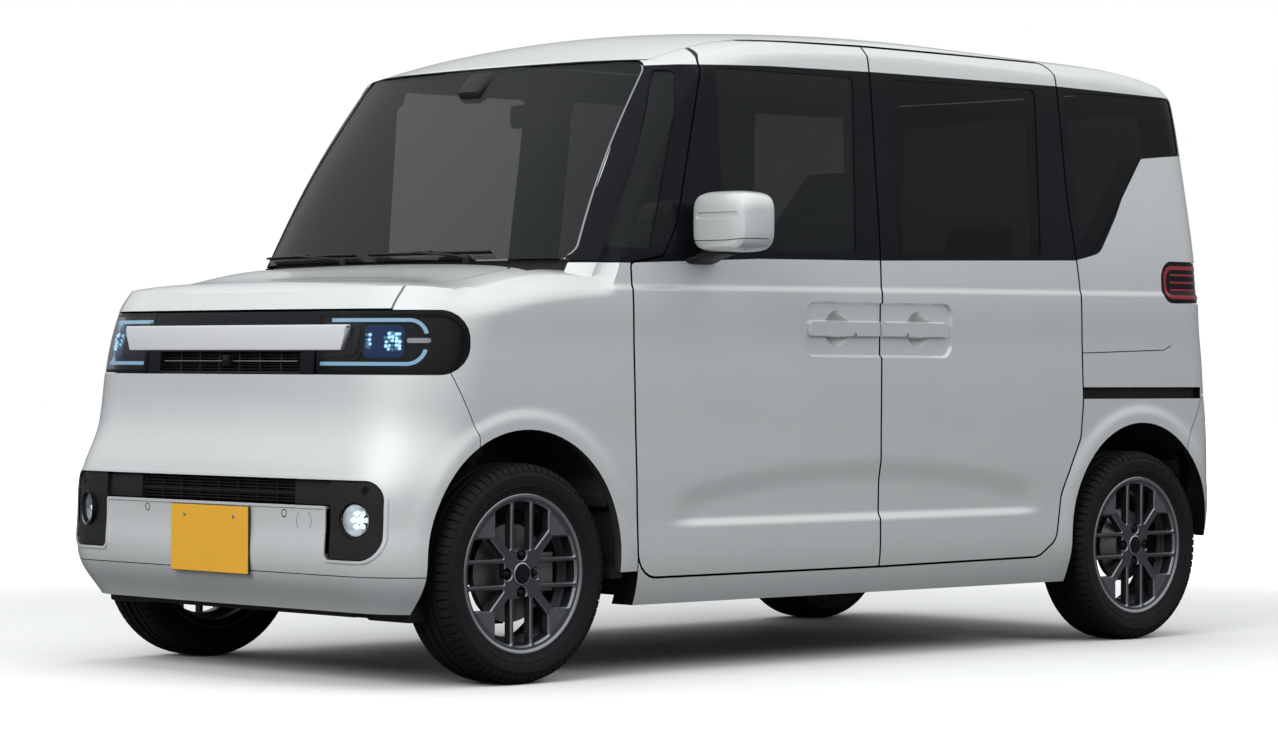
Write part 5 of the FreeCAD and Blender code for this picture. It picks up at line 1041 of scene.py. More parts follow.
BARS = {"door": oblong(-0.190, 0.1018, 0.908, 0.956, 0.014, 0.003),
        "sliding_door": oblong(0.1142, 0.394, 0.908, 0.956, 0.003, 0.014)}
button = tagged(turned([(0.0035, -0.002), (0.005, -0.002), (0.005, 0.0006), (0.0035, 0.0006)], steps=24),
                "lamp_dark")
for name, outline in BARS.items():
    zone = tapered(outline, "side", 0.7275, 0.7435, 0.0, -0.0055)
    grip = less(common(skin(-0.0025), zone), skin(0.0085))
    y = -0.005 if name == "door" else 0.213
    feet = [block(0.7090, 0.7320, at - 0.012, at + 0.012, 0.916, 0.948)
            for at in ((-0.172, 0.075) if name == "door" else (0.140, 0.376))]
    grip = join(tagged(grip, "body_paint"), *[tagged(foot, "body_paint") for foot in feet],
                moved(button, (side_x(y, 0.916) + 0.0028, y, 0.916)))
    for side_name, made in (("left", grip), ("right", mirrored(grip))):
        put(name + "_handle_" + side_name, made, "door_" + side_name if name == "door" else "root",
            slot="body_paint")

gate = less(common(OUTER, gate_zone(-GAP)), DARK[0.042],
            tagged(less(plate_recess(), skin(0.018)), "body_paint"),
            tagged(prism(GATE_GLASS, "front", 1.2, FAR), "gloss_black"))
dark_gate = prism(oblong(-0.80, 0.80, 1.145, 1.648), "front", 1.2, FAR)
gate = two_tone(gate, dark_gate)
put("tailgate_skin", gate, "tailgate", [], ["tailgate"], "body_paint")
print("doors and tailgate made")

# %% [markdown]
# Panes follow the body form too, because side glass on such a car is flush to its frame. A pane is a
# thin slice, see-through by its alpha, so that light reaches the cabin without bending.

# %%
# Glass: panes set 3 mm back from the skin
def pane(zone):
    return less(common(GLASS_OUT, zone), GLASS_IN)


put("windscreen_pane", pane(screen_zone(-SEAM)), "root", ["cabin_glass"], ["windscreen"])
door_pane = pane(side_prism(FRONT_WINDOW, -0.0003))
put("door_pane_left", door_pane, "door_left", ["cabin_glass"], ["door_glass_left"])
put("door_pane_right", mirrored(door_pane), "door_right", ["cabin_glass"], ["door_glass_right"])
front_quarter = pane(tagged(front_quarter_zone(-0.0003), "cabin_glass"))
put("front_quarter_panes", join(front_quarter, mirrored(front_quarter)), "root", ["cabin_glass"],
    ["side_glass"])
rear_panes = []
for window in (SLIDING_WINDOW, QUARTER_WINDOW):
    rear_panes.append(tagged(pane(side_prism(window, -0.0003)), "dark_glass"))
    rear_panes.append(mirrored(rear_panes[-1]))
put("rear_side_panes", join(*rear_panes), "root", ["dark_glass"])
gate_pane = tagged(pane(prism(GATE_GLASS, "front", 1.2, FAR, -0.0003)), "dark_glass")
put("tailgate_pane", gate_pane, "tailgate", ["dark_glass"], ["tailgate_glass"])

# %% [markdown]
# The face of the car: a bumper with a lip round its black insert, a dark band with a bright bar,
# and clear-covered lamps. Each is a slab of the body form between two depths, cut by its outline.

# %%
# Bumpers
bumper = less(common(OUTER, prism(scaled(BUMPER), "side", -FAR, FAR, -SEAM)), DARK[0.024], hood_zone(GAP),
              band_zone(SEAM), lamp_zone(SEAM), mirrored(lamp_zone(SEAM)),
              prism(INSERT, "front", -FAR, NOSE_BACK, SEAM), wheel_opening(FRONT_AXLE),
              mirrored(wheel_opening(FRONT_AXLE)))
lip = less(common(skin(-0.0035), tapered(INSERT, "front", -1.45, -1.72, 0.013, 0.008)), skin(0.010),
           prism(INSERT, "front", -FAR, NOSE_BACK, SEAM))
# The parting line is a groove with black walls: painted shade in the groove.
parting = tagged(less(block(-1, 1, -1.8, -1.36, 0.2865, 0.2890), skin(0.0025)), "black_mesh_and_groove_shade")
bumper = less(bumper, parting)
marks = []
for x in (-0.285, 0.300):
    at, out = nose_point(x, 0.442)
    marks.append(tagged(turned([(0.0085, -0.004), (0.0105, -0.004), (0.0105, 0.0008), (0.0085, 0.0008)], at,
                               out, 32), "lamp_dark"))
    marks.append(tagged(turned([(0, -0.004), (0.0080, -0.004), (0.0080, 0.0003), (0, 0.0010)], at, out, 32),
                        "body_paint"))
at, out = nose_point(0.380, 0.424)
ring = turned([(0.0290, -0.003), (0.0302, -0.003), (0.0302, 0.0003), (0.0290, 0.0003)], at, out, 48)
marks.append(tagged(ring, "lamp_dark"))
put("front_bumper_skin", join(tagged(lip, "body_paint"), bumper, *marks), "root", [], ["front_bumper"],
    "body_paint")

rear_bumper = less(common(OUTER, prism(scaled(REAR_BUMPER), "side", -FAR, FAR, -SEAM)), DARK[0.024],
                   wheel_opening(REAR_AXLE), mirrored(wheel_opening(REAR_AXLE)), gate_zone(GAP))
# This parting line too has black walls: painted shade in the groove.
parting = tagged(less(prism(ribbon([(-0.60, 0.415), (-0.50, 0.405), (0.50, 0.405), (0.60, 0.415)], 0.003),
                            "front", 1.5, 1.8),
                      skin(0.0025)), "black_mesh_and_groove_shade")
reflectors = [tagged(slice_of(prism([(x - 0.06, 0.455, 0.006), (x + 0.06, 0.455, 0.006),
                                     (x + 0.06, 0.480, 0.006), (x - 0.06, 0.480, 0.006)], "front", 1.5, 1.8),
                              -0.0015, 0.010, "red_lens"), "red_lens")
              for x in (-0.52, 0.52)]
put("rear_bumper_skin", join(less(rear_bumper, parting), *reflectors), "root", [], ["rear_bumper"],
    "body_paint")

# %% [markdown]
# Behind the bumper lies a dark insert with fine slats and two pods. Slats and webs are thin slabs at
# different depths, which gives real shadow between them. The fog lamps are turned, since they are round.

# %%
# Black insert of the front bumper, with fine slats, pods and fog lamps
POD = [(0.478, 0.330, 0.010), (0.655, 0.330, 0.060), (0.655, 0.531, 0.055), (0.478, 0.531, 0.010)]


def front_prism(x0, x1, z0, z1):
    return prism(oblong(x0, x1, z0, z1), "front", -FAR, NOSE_BACK)


insert = slice_of(prism(INSERT, "front", -FAR, NOSE_BACK, -SEAM), 0.036, 0.048, "black_mesh_and_groove_shade")
slats = join(*[front_prism(-0.325, 0.325, z, z + 0.0028)
               for z in (0.4715, 0.4795, 0.4875, 0.4975, 0.5055, 0.5135, 0.5215)])
slats = slice_of(slats, 0.020, 0.034, "black_mesh_and_groove_shade")
webs = join(*[front_prism(x - 0.0016, x + 0.0016, 0.466, 0.531) for x in np.linspace(-0.325, 0.325, 9)])
webs = slice_of(webs, 0.023, 0.034, "black_plastic")
ends = join(front_prism(0.328, 0.476, 0.4675, 0.530), front_prism(-0.476, -0.328, 0.4675, 0.530))
ends = slice_of(ends, 0.014, 0.030, "black_plastic")
middle = slice_of(front_prism(-0.327, 0.327, 0.4925, 0.4962), 0.016, 0.034, "black_plastic")
pod = slice_of(prism(POD, "front", -FAR, NOSE_BACK, -SEAM), 0.0045, 0.040, "black_plastic")
at = nose_point(0.572, 0.431, 0.004)[0]
out = np.array([0.30, -0.954, 0.0])
bowl = [(0, -0.055), (0.036, -0.055), (0.044, -0.004), (0.0485, 0.006), (0.0485, 0.08), (0, 0.08)]
pod = less(pod, tagged(turned(bowl, at, out, 64), "satin_metal"))
sensor_at = nose_point(0.605, 0.507, 0.0045)[0]
sensor_out = np.array([0.5, -0.866, 0.0])
sensor = join(tagged(turned([(0, -0.006), (0.0100, -0.006), (0.0100, 0.0008), (0, 0.0018)], sensor_at,
                            sensor_out, 32), "lamp_dark"),
              tagged(turned([(0.0110, -0.004), (0.0135, -0.004), (0.0130, 0.0010), (0.0110, 0.0014)],
                            sensor_at, sensor_out, 32),
                     "black_plastic"))
bezel = turned([(0.0405, -0.010), (0.0480, -0.010), (0.0480, 0.0005), (0.0450, 0.0025), (0.0405, -0.002)], at,
               out, 64)
dish = turned([(0, -0.040), (0.012, -0.039), (0.026, -0.031), (0.036, -0.020), (0.0415, -0.008),
               (0.0415, -0.012), (0.036, -0.024), (0.026, -0.035), (0.012, -0.043), (0, -0.044)], at, out, 64)
gems = []
for k in range(6):
    turn = k * math.pi / 3
    u, v, n = across(out)
    spot = at + (u * math.cos(turn) + v * math.sin(turn)) * 0.019 - n * 0.028
    gems.append(tagged(turned([(0, 0), (0.0075, 0), (0.0055, 0.011), (0, 0.014)], spot, out, 8), "fog_glow"))
gems.append(tagged(turned([(0, 0), (0.0115, 0), (0.009, 0.012), (0, 0.016)], at - across(out)[2] * 0.034, out,
                          12), "fog_glow"))
cover = turned([(0, 0.0015), (0.025, 0.0005), (0.0405, -0.004), (0.0405, -0.006), (0.025, -0.0015),
                (0, -0.0005)], at, out, 64)
lamp_in = join(tagged(bezel, "gloss_black"), tagged(dish, "satin_metal"), *gems)
pods = join(pod, sensor, mirrored(pod), mirrored(sensor))
put("lower_grille_skin", join(insert, middle, ends, webs, pods), "root", [], ["lower_grille"],
    "black_plastic")
put("lower_grille_slats", slats, slot="black_plastic")
put("fog_lamps", join(lamp_in, mirrored(lamp_in)), slot="lamp_lens")
put("fog_lamp_covers", tagged(join(cover, mirrored(cover)), "lamp_clear"), slot="lamp_lens")

back = soft_block(-0.1665, 0.1665, -1.7045, -1.6990, 0.2775, 0.4560, 0.0020, 2)
face = soft_block(-0.1650, 0.1650, -1.7065, -1.7040, 0.2790, 0.4545, 0.0011, 2)
screws = [turned([(0, 0), (0.0055, 0), (0.0045, 0.0022), (0, 0.0026)], (x, -1.7064, 0.428), (0, -1, 0), 24)
          for x in (-0.105, 0.105)]
put("number_plate", join(tagged(back, "black_plastic"), tagged(face, "plate_yellow"),
                         *[tagged(s, "satin_metal") for s in screws]), slot="body_paint")

# %% [markdown]
# Between the lamps runs a black band with a mesh below and a bare bright bar across. The bar follows
# the bow of the nose, so its section is carried along the nose line and slanted off at both ends.

# %%
# Dark band, mesh and bright bar between the lamps
upper = prism(oblong(-0.353, 0.353, 0.858, 0.9635), "front", -FAR, BAND_BACK)
upper = slice_of(upper, 0.003, 0.024, "gloss_black")
ends = join(front_prism(0.300, 0.353, 0.802, 0.858), front_prism(-0.353, -0.300, 0.802, 0.858))
ends = slice_of(ends, 0.004, 0.024, "gloss_black")
back = slice_of(front_prism(-0.301, 0.301, 0.802, 0.858), 0.034, 0.044, "black_mesh_and_groove_shade")
frame_low = slice_of(front_prism(-0.300, 0.300, 0.802, 0.8075), 0.006, 0.034, "black_plastic")
webs = join(*[front_prism(x - 0.0022, x + 0.0022, 0.8075, 0.858) for x in np.linspace(-0.30, 0.30, 8)[1:-1]])
webs = slice_of(webs, 0.013, 0.034, "black_plastic")
line = slice_of(front_prism(-0.285, 0.285, 0.8335, 0.8355), 0.008, 0.034, "satin_metal")
slats = join(*[front_prism(-0.300, 0.300, z, z + 0.0024) for z in (0.8125, 0.8205, 0.8275, 0.8415, 0.8495)])
slats = slice_of(slats, 0.017, 0.034, "black_mesh_and_groove_shade")
eye_at = nose_point(0.0, 0.835, 0.002)[0]
camera_eye = join(tagged(soft_block(-0.016, 0.016, eye_at[1] - 0.004, eye_at[1] + 0.030, 0.822, 0.850, 0.005),
                         "gloss_black"),
                  tagged(turned([(0, 0), (0.0085, 0), (0.0070, 0.0022), (0, 0.0040)], eye_at - (0, 0.004, 0),
                                (0, -1, 0), 32), "lamp_dark"))
put("lamp_band_skin", join(upper, ends, back, frame_low, webs, line, camera_eye), "root", [],
    ["upper_grille"], "black_plastic")
put("lamp_band_slats", slats, slot="black_plastic")

rings = []
for x in np.concatenate([[-0.4690], np.linspace(-0.4660, 0.4660, 61), [0.4690]]):
    at, out = nose_point(x, 0.8955)
    edge = 0.008 if abs(x) > 0.467 else 0.0
    slant = max(abs(x) - 0.452, 0) / 0.017
    low, high = 0.8625 + 0.055 * slant ** 2 + edge * 0.3, 0.9285 - edge * 0.3
    half, mid = (high - low) / 2, (high + low) / 2
    corner = [(0, -0.014), (half, -0.014), (half, 0.0050), (half - 0.0012, 0.0072), (half - 0.006, 0.0084),
              (0, 0.0092)]
    section = corner + [(-z, d) for z, d in corner[-2:0:-1]]
    rings.append([(at[0] + out[0] * (d - edge * (d > 0)), at[1] + out[1] * (d - edge * (d > 0)), mid + z)
                  for z, d in section])
put("grille_bar_skin", tagged(loft(rings), "bar_satin"), "root", [], ["grille_bar"], smooth=20)

# %% [markdown]
# A headlamp reads through layers: a dark box, shelves that step inwards, two light lines, a deep blue
# well with small cut gems, and a clear cover. Each layer is a slab between two depths of the form.

# %%
# Headlamps: dark housing, two light lines round the projector, and a clear cover
half_space = block(0.3545, FAR, -FAR, 0, 0, 2)


def lamp_slab(by, near, far, mat):
    return slice_of(common(lamp_zone(by), half_space), near, far, mat)


housing = lamp_slab(-0.0006, 0.0225, 0.080, "lamp_dark")
rim = less(lamp_slab(-0.0006, 0.0030, 0.0230, "lamp_dark"),
           corner_prism(grown(rounded(LAMP), -0.010)))
steps = [slice_of(common(corner_prism(shelf_edge), half_space), depth, 0.0230, mat)
         for shelf_edge, depth, mat in (
             ([(-1.0, 0.8330, 0.002), (-0.7800, 0.8330, 0.040), (-0.7650, 0.9480, 0.030),
               (-1.0, 0.9480, 0.002)], 0.0170, "black_plastic"),
             ([(-1.0, 0.8440, 0.002), (-0.7950, 0.8440, 0.036), (-0.7780, 0.9370, 0.024),
               (-1.0, 0.9370, 0.002)], 0.0120, "black_plastic"))]


def corner_point(u, z, inset):
    """Point of the body form seen square on at the corner."""
    px, py = half_ring(np.array([z]), inset)
    along = (px[0, :32] + py[0, :32]) * math.sqrt(0.5)
    return np.array([np.interp(u, along, px[0, :32]), np.interp(u, along, py[0, :32]), z])


def bent(start, straight, centre, radius, first, last):
    """Run of points: a straight and the arc that it turns into."""
    t = np.radians(np.linspace(first, last, 26))
    arc = [(centre[0] + radius * math.cos(a), centre[1] + radius * math.sin(a)) for a in t]
    line = [(u, straight) for u in np.linspace(start, arc[0][0], 12)[:-1]]
    return line + arc


lines = []
for path, width in ((bent(-0.862, 0.9400, (-0.6530, 0.8950), 0.0450, 90, 14), 0.0095),
                    (bent(-0.893, 0.8280, (-0.6600, 0.8785), 0.0505, -90, -16), 0.0095)):
    lines.append(slice_of(common(corner_prism(ribbon(path, width)), half_space), 0.0100, 0.0240,
                          "lamp_glow"))
tip = slice_of(corner_prism(oblong(-0.6590, -0.5985, 0.8815, 0.8940, 0.006)), 0.0095, 0.0240, "bar_satin")
well = corner_prism(oblong(-0.775, -0.6660, 0.8440, 0.9270, 0.012, 0.018))
well = slice_of(well, 0.0195, 0.0240, "lens_deep")
parts = [housing, rim, *steps, *lines, tip, well]
dice = random.Random(7)
out = np.array([0.40, -0.9165, 0.0])
for middle, wide, tall, columns, rows in ((-0.6960, 0.046, 0.050, 5, 5), (-0.7600, 0.016, 0.040, 2, 4)):
    for i in range(columns):
        for j in range(rows):
            u = middle + wide * ((i + 0.5) / columns - 0.5) + dice.uniform(-0.002, 0.002)
            z = 0.8850 + tall * ((j + 0.5) / rows - 0.5) + dice.uniform(-0.002, 0.002)
            if abs(u - middle) > wide * 0.38 and abs(z - 0.8850) > tall * 0.38:
                continue
            spot = corner_point(u, z, 0.0195)
            r = dice.uniform(0.0045, 0.0062)
            gem = turned([(0, -0.002), (r, -0.002), (r * 0.9, 0.003), (r * 0.35, 0.0065), (0, 0.0070)], spot,
                         out, dice.choice((5, 6, 7)))
            bright = dice.random() < (0.62 if columns > 2 else 0.25)
            parts.append(tagged(gem, "gem_glow" if bright else "lens_blue"))
inner = join(*parts)
put("headlamp_bodies", join(inner, mirrored(inner)), "root", [], ["headlamps"], "lamp_lens")
cover = lamp_slab(-0.0008, 0.0020, 0.0045, "lamp_clear")
put("headlamp_covers", tagged(join(cover, mirrored(cover)), "lamp_clear"), slot="lamp_lens")

# %% [markdown]
# The photograph shows only the edge of a tail lamp: a red loop with stripes inside. The same outline is
# carried round the corner, as on cars of this kind.

# %%
# Tail lamps that wrap round the corner
tail = less(common(tagged(GLASS_OUT.copy(), "lamp_dark"), tail_zone(-SEAM)), SHELLS[0.042], gate_zone(GAP))
edge = [(1.397, 1.038, 0.040), (1.397, 1.140, 0.040), (FAR, 1.140, 0.0), (FAR, 1.038, 0.0)]
core = [(1.409, 1.050, 0.030), (1.409, 1.128, 0.030), (FAR, 1.128, 0.0), (FAR, 1.050, 0.0)]
loop = slice_of(less(prism(edge, "side", 0.53, FAR), prism(core, "side", 0.40, FAR)), 0.0012, 0.012,
                "red_lens")
loop = less(loop, gate_zone(GAP))
stripes = []
for z in (1.066, 1.089, 1.112):
    bar = prism(oblong(1.43, FAR, z - 0.003, z + 0.003), "side", 0.53, FAR)
    stripes.append(less(slice_of(bar, 0.0018, 0.012, "red_lens"), gate_zone(GAP)))
tail = join(tail, loop, *stripes)
put("tail_lamp_bodies", join(tail, mirrored(tail)), "root", [], ["tail_lamps"], "red_lens")
print("front and rear made")

# %% [markdown]
# Wheels. The rim is turned, its windows are cut as one set of four, and each window's edge gets a
# machined chamfer. What repeats round the axle, such as nuts and tread blocks, comes from one node tree.

# %%
# A node tree that repeats a shape along a line and round the X axis
def repeat_tree():
    tree = bpy.data.node_groups.new("repeat", "GeometryNodeTree")
    tree.is_modifier = True
    sockets = {}
    for name, kind in (("Geometry", "NodeSocketGeometry"), ("Count", "NodeSocketInt"),
                       ("Step", "NodeSocketVector"), ("Turn", "NodeSocketFloat"),
                       ("Material", "NodeSocketMaterial")):
        sockets[name] = tree.interface.new_socket(name, in_out="INPUT", socket_type=kind).identifier
    tree.interface.new_socket("Geometry", in_out="OUTPUT", socket_type="NodeSocketGeometry")
    nodes, links = tree.nodes, tree.links
    given, result = nodes.new("NodeGroupInput"), nodes.new("NodeGroupOutput")
    line = nodes.new("GeometryNodeMeshLine")
    index, angle = nodes.new("GeometryNodeInputIndex"), nodes.new("ShaderNodeMath")
    angle.operation = "MULTIPLY"
    turn, copies = nodes.new("ShaderNodeCombineXYZ"), nodes.new("GeometryNodeInstanceOnPoints")
    real, finish = nodes.new("GeometryNodeRealizeInstances"), nodes.new("GeometryNodeSetMaterial")
    links.new(given.outputs["Count"], line.inputs["Count"])
    links.new(given.outputs["Step"], line.inputs["Offset"])
    links.new(index.outputs[0], angle.inputs[0])
    links.new(given.outputs["Turn"], angle.inputs[1])
    links.new(angle.outputs[0], turn.inputs["X"])
    links.new(line.outputs["Mesh"], copies.inputs["Points"])
    links.new(given.outputs["Geometry"], copies.inputs["Instance"])
    links.new(turn.outputs[0], copies.inputs["Rotation"])
    links.new(copies.outputs["Instances"], real.inputs["Geometry"])
    links.new(real.outputs["Geometry"], finish.inputs["Geometry"])
    links.new(given.outputs["Material"], finish.inputs["Material"])
    links.new(finish.outputs["Geometry"], result.inputs["Geometry"])
    return tree, sockets


REPEAT, REPEAT_SOCKETS = repeat_tree()


def repeated(mesh, count, mat, turn):
    """Copies of a mesh, each a turn further round the X axis, as one mesh."""
    obj = object_of("repeated", mesh.copy())
    modifier = obj.modifiers.new("repeat", "NODES")
    modifier.node_group = REPEAT
    for name, value in (("Count", count), ("Step", (0, 0, 0)), ("Turn", turn), ("Material", MATS[mat])):
        modifier[REPEAT_SOCKETS[name]] = value
    obj.update_tag()
    shown = obj.evaluated_get(bpy.context.evaluated_depsgraph_get())
    made = bpy.data.meshes.new_from_object(shown)
    obj.modifiers.clear()
    bpy.data.objects.remove(obj)
    return tagged(made, mat)


QUARTER = math.pi / 2
print("repeat tree:", len(REPEAT.nodes), "nodes")

# %% [markdown]
# A cast rim with paired bars along its axes. The face is one turned disc; windows and chamfers are cut
# four times from one quarter, which keeps the wheel true and gives the bright machined edges, their
# light colour partly a painted highlight.

# %%
# Rim
GAP_HALF, BAR_OUT, WEB, ARC_R, SLANT = 0.028, 0.0395, 0.092, 0.1865, 0.0177


def arc_points(r, a0, a1):
    """Run along the outer edge of a window."""
    t = np.linspace(math.asin(a0 / r), math.asin(a1 / r), 8)
    return [(r * math.sin(k), r * math.cos(k)) for k in t]


def window_set():
    """Outlines of the windows of one quarter, in the wheel's plane."""
    middle = [(-GAP_HALF, 0.0600)] + arc_points(ARC_R, -GAP_HALF, GAP_HALF) + [(GAP_HALF, 0.0600)]
    low = BAR_OUT + SLANT
    right = [(BAR_OUT, low)] + arc_points(ARC_R, BAR_OUT, WEB) + [(WEB, WEB + SLANT)]
    left = [(-a, b) for a, b in right[::-1]]
    return middle, right, left


def softened(points, radius=0.004):
    """Outline whose sharp corners are rounded."""
    p = np.array(points)
    out = []
    for k in range(len(p)):
        back, ahead = p[k - 1] - p[k], p[(k + 1) % len(p)] - p[k]
        turn = math.acos(np.clip(back @ ahead / np.linalg.norm(back) / np.linalg.norm(ahead), -1, 1))
        out.append((*p[k], radius if turn < 2.9 else 0.0))
    return rounded(out, 4)


face = turned([(0, 0.044), (0.180, 0.044), (0.190, 0.040), (0.1990, 0.040), (0.1990, 0.0708), (0.190, 0.0702),
               (0.172, 0.0684), (0.060, 0.0670), (0.0325, 0.0668), (0.0310, 0.0650), (0, 0.0650)], steps=120)
face = tagged(face, "wheel_alloy")
cuts, bevels = [], []
# Each window's chamfer is cut in bright edge metal, partly a painted highlight along the edge.
for outline in window_set():
    outline = softened(outline)
    cuts.append(prism(outline, "side", 0.030, 0.090))
    bevels.append(tapered(outline, "side", 0.0640, 0.0760, -0.0004, 0.0096))
for k in range(4):
    spin = Matrix.Rotation(k * QUARTER, 4, "X")
    for group, mat in ((cuts, "rim_dark"), (bevels, "edge_metal_and_highlight")):
        for tool in group:
            tool = tagged(tool.copy(), mat)
            tool.transform(spin)
            face = less(face, tool)
# Each nut seat gets a bright chamfer as well, partly a painted highlight.
for k in range(4):
    place = (0, 0.0495 * math.sin(k * QUARTER), 0.0495 * math.cos(k * QUARTER))
    face = less(face, tagged(turned([(0, 0.047), (0.0160, 0.047), (0.0160, 0.09), (0, 0.09)], place,
                                    steps=40), "rim_dark"),
                tagged(turned([(0, 0.0640), (0.0158, 0.0640), (0.0215, 0.0700), (0, 0.0700)], place,
                              steps=40), "edge_metal_and_highlight"))
corner = [(WEB + 0.0045, WEB + 0.0045)] + [(0.1835 * math.sin(t), 0.1835 * math.cos(t)) for t in
                                          np.linspace(math.asin((WEB + 0.0045) / 0.1835),
                                                      math.acos((WEB + 0.0045) / 0.1835), 14)]
plate = tapered(softened(corner[::-1], 0.003), "side", 0.0665, 0.0696, 0.0010, -0.0004)
plates = repeated(plate, 4, "alloy_plate", turn=QUARTER)
flange = turned([(0.1975, 0.060), (0.1975, 0.0722), (0.2010, 0.0748), (0.2050, 0.0755), (0.2080, 0.0738),
                 (0.2080, 0.066), (0.1940, 0.060)], steps=120)
barrel = turned([(0.1935, 0.060), (0.1935, 0.042), (0.1750, 0.029), (0.1750, -0.009), (0.1925, -0.036),
                 (0.1925, -0.060), (0.2075, -0.066), (0.2075, -0.075), (0.2030, -0.075), (0.1835, -0.060),
                 (0.1835, -0.036), (0.166, -0.009), (0.166, 0.020), (0.184, 0.034), (0.1860, 0.060)],
                steps=96)
cap = turned([(0, 0.060), (0.0260, 0.060), (0.0260, 0.0680), (0.0248, 0.0695), (0.0200, 0.0705), (0, 0.0712)],
             steps=48)
cap_ring = turned([(0.0262, 0.0640), (0.0292, 0.0640), (0.0292, 0.0672), (0.0262, 0.0688)], steps=48)
nut = turned([(0, 0.046), (0.0100, 0.046), (0.0100, 0.056), (0.0085, 0.0620), (0.0050, 0.0650), (0, 0.0660)],
             (0, 0, 0.0495), steps=18)
valve = rod((0.058, 0.158, 0.045), (0.068, 0.156, 0.045), 0.0028)
rim = join(face, plates, tagged(flange, "edge_metal_and_highlight"), tagged(barrel, "rim_dark"), tagged(cap, "gloss_black"),
           tagged(cap_ring, "satin_metal"), repeated(nut, 4, "gloss_black", turn=QUARTER),
           tagged(valve, "black_plastic"))
print("rim:", len(rim.polygons), "faces")

# %% [markdown]
# The side wall is one turned outline with its ridges. Shoulder blocks and the slanted cuts between them
# repeat round the tread, so the node tree makes them from one block.

# %%
# Tyre
SIDE_WALL = [(0.1930, 0.062), (0.1930, 0.067), (0.2090, 0.0750), (0.2125, 0.0768), (0.2145, 0.0766),
             (0.2160, 0.0782), (0.2260, 0.0825), (0.2275, 0.0842), (0.2300, 0.0845), (0.2315, 0.0838),
             (0.2410, 0.0868), (0.2520, 0.0866), (0.2530, 0.0874), (0.2552, 0.0872), (0.2562, 0.0856),
             (0.2640, 0.0822), (0.2705, 0.0775), (0.2755, 0.0715), (0.2790, 0.0630), (0.2798, 0.0530),
             (0.2860, 0.0515), (0.2862, 0.0360), (0.2795, 0.0345), (0.2795, 0.0275), (0.2862, 0.0260),
             (0.28675, 0.0100), (0.2800, 0.0088), (0.2800, 0.0)]
section = SIDE_WALL + [(r, -x) for r, x in SIDE_WALL[-2::-1]]
carcass = turned(section, steps=144)
LUG = [(0.2785, 0.0532), (0.2860, 0.0532), (0.2852, 0.0610), (0.2822, 0.0700), (0.2768, 0.0775),
       (0.2700, 0.0818), (0.2655, 0.0832), (0.2640, 0.0805), (0.2700, 0.0765), (0.2750, 0.0700)]
LUGS = 76


def tread_block(outline, share, slant=0.0):
    """One block of the tread: an outline of radius and width over a share of the pitch."""
    half = math.pi / LUGS * share
    rings = []
    for side in (-1, 0, 1):
        rings.append([(x, r * math.sin(half * side + slant * (x - 0.053)),
                       r * math.cos(half * side + slant * (x - 0.053)))
                      for r, x in outline])
    return loft(rings)


lug = tread_block(LUG, 0.80)
sipe = tread_block([(0.2800, 0.0378), (0.2866, 0.0378), (0.2866, 0.0500), (0.2800, 0.0500)], 0.88, 1.2)
blocks = join(repeated(lug, LUGS, "tyre", turn=2 * math.pi / LUGS),
              repeated(sipe, LUGS, "tyre", turn=2 * math.pi / LUGS))
tyre = join(tagged(carcass, "tyre"), blocks, mirrored(blocks))
print("tyre:", len(tyre.polygons), "faces")

# %% [markdown]
# All four wheels of the car are alike, so one rim and one tyre serve, moved to each axle end and
# mirrored on the right. Each hangs on its own spinning body.

# %%
# Wheels on their axles
WHEEL_X, WHEEL_Z = 0.645, 0.28675
for end, axle in (("front", FRONT_AXLE), ("rear", REAR_AXLE)):
    centre = (WHEEL_X, axle, WHEEL_Z)
    for side_name in ("left", "right"):
        body = "wheel_%s_%s" % (end, side_name)
        made = [moved(mesh, centre) for mesh in (rim, tyre)]
        if side_name == "right":
            made = [mirrored(mesh) for mesh in made]
        put("rim_set_%s_%s" % (end, side_name), made[0], body, [], ["rim_%s_%s" % (end, side_name)],
            "wheel_alloy")
        put("tyre_set_%s_%s" % (end, side_name), made[1], body, [], ["tyre_%s_%s" % (end, side_name)], "tyre",
            smooth=24)
print("wheels placed")

# %% [markdown]
# Mirrors, wipers and trim. A mirror head is a soft shell, fuller in front than at its glass, so it is
# skinned over ovals that grow and shrink. A wiper blade follows the screen, so its path is read off
# the body form.

# %%
# Door mirrors
MIRROR = (0.853, 1.212)


def mirror_ring(y, share):
    """Outline of the mirror head at a place along the car."""
    points = oval(0, 0, 0.1050 * share, 0.0820 * share, 4.2, 56)
    return [(MIRROR[0] + a, y, MIRROR[1] + b) for a, b in points]


head = loft([mirror_ring(y, share) for y, share in (
    (-0.6735, 0.30), (-0.6730, 0.62), (-0.6700, 0.82), (-0.6620, 0.925), (-0.6470, 0.978), (-0.6250, 1.0),
                                                    (-0.5950, 1.0),
    (-0.5700, 0.985), (-0.5560, 0.955), (-0.5510, 0.925), (-0.5510, 0.895), (-0.5600, 0.885))])
slot_cut = tapered([(0.775, 1.2180, 0.008), (0.932, 1.2180, 0.008), (0.932, 1.2360, 0.008),
                    (0.775, 1.2360, 0.008)],
                   "front", -0.700, -0.664, 0.004, -0.001)
lower_cut = prism(ribbon([(0.74, 1.1640), (0.80, 1.1610), (0.90, 1.1610), (0.97, 1.1660)], 0.0022), "front",
                  -0.70, -0.575)
inner = loft([mirror_ring(y, share) for y, share in (
    (-0.6700, 0.30), (-0.6690, 0.61), (-0.6665, 0.80), (-0.6590, 0.908), (-0.6445, 0.962), (-0.6250, 0.985),
                                                     (-0.5720, 0.975))])
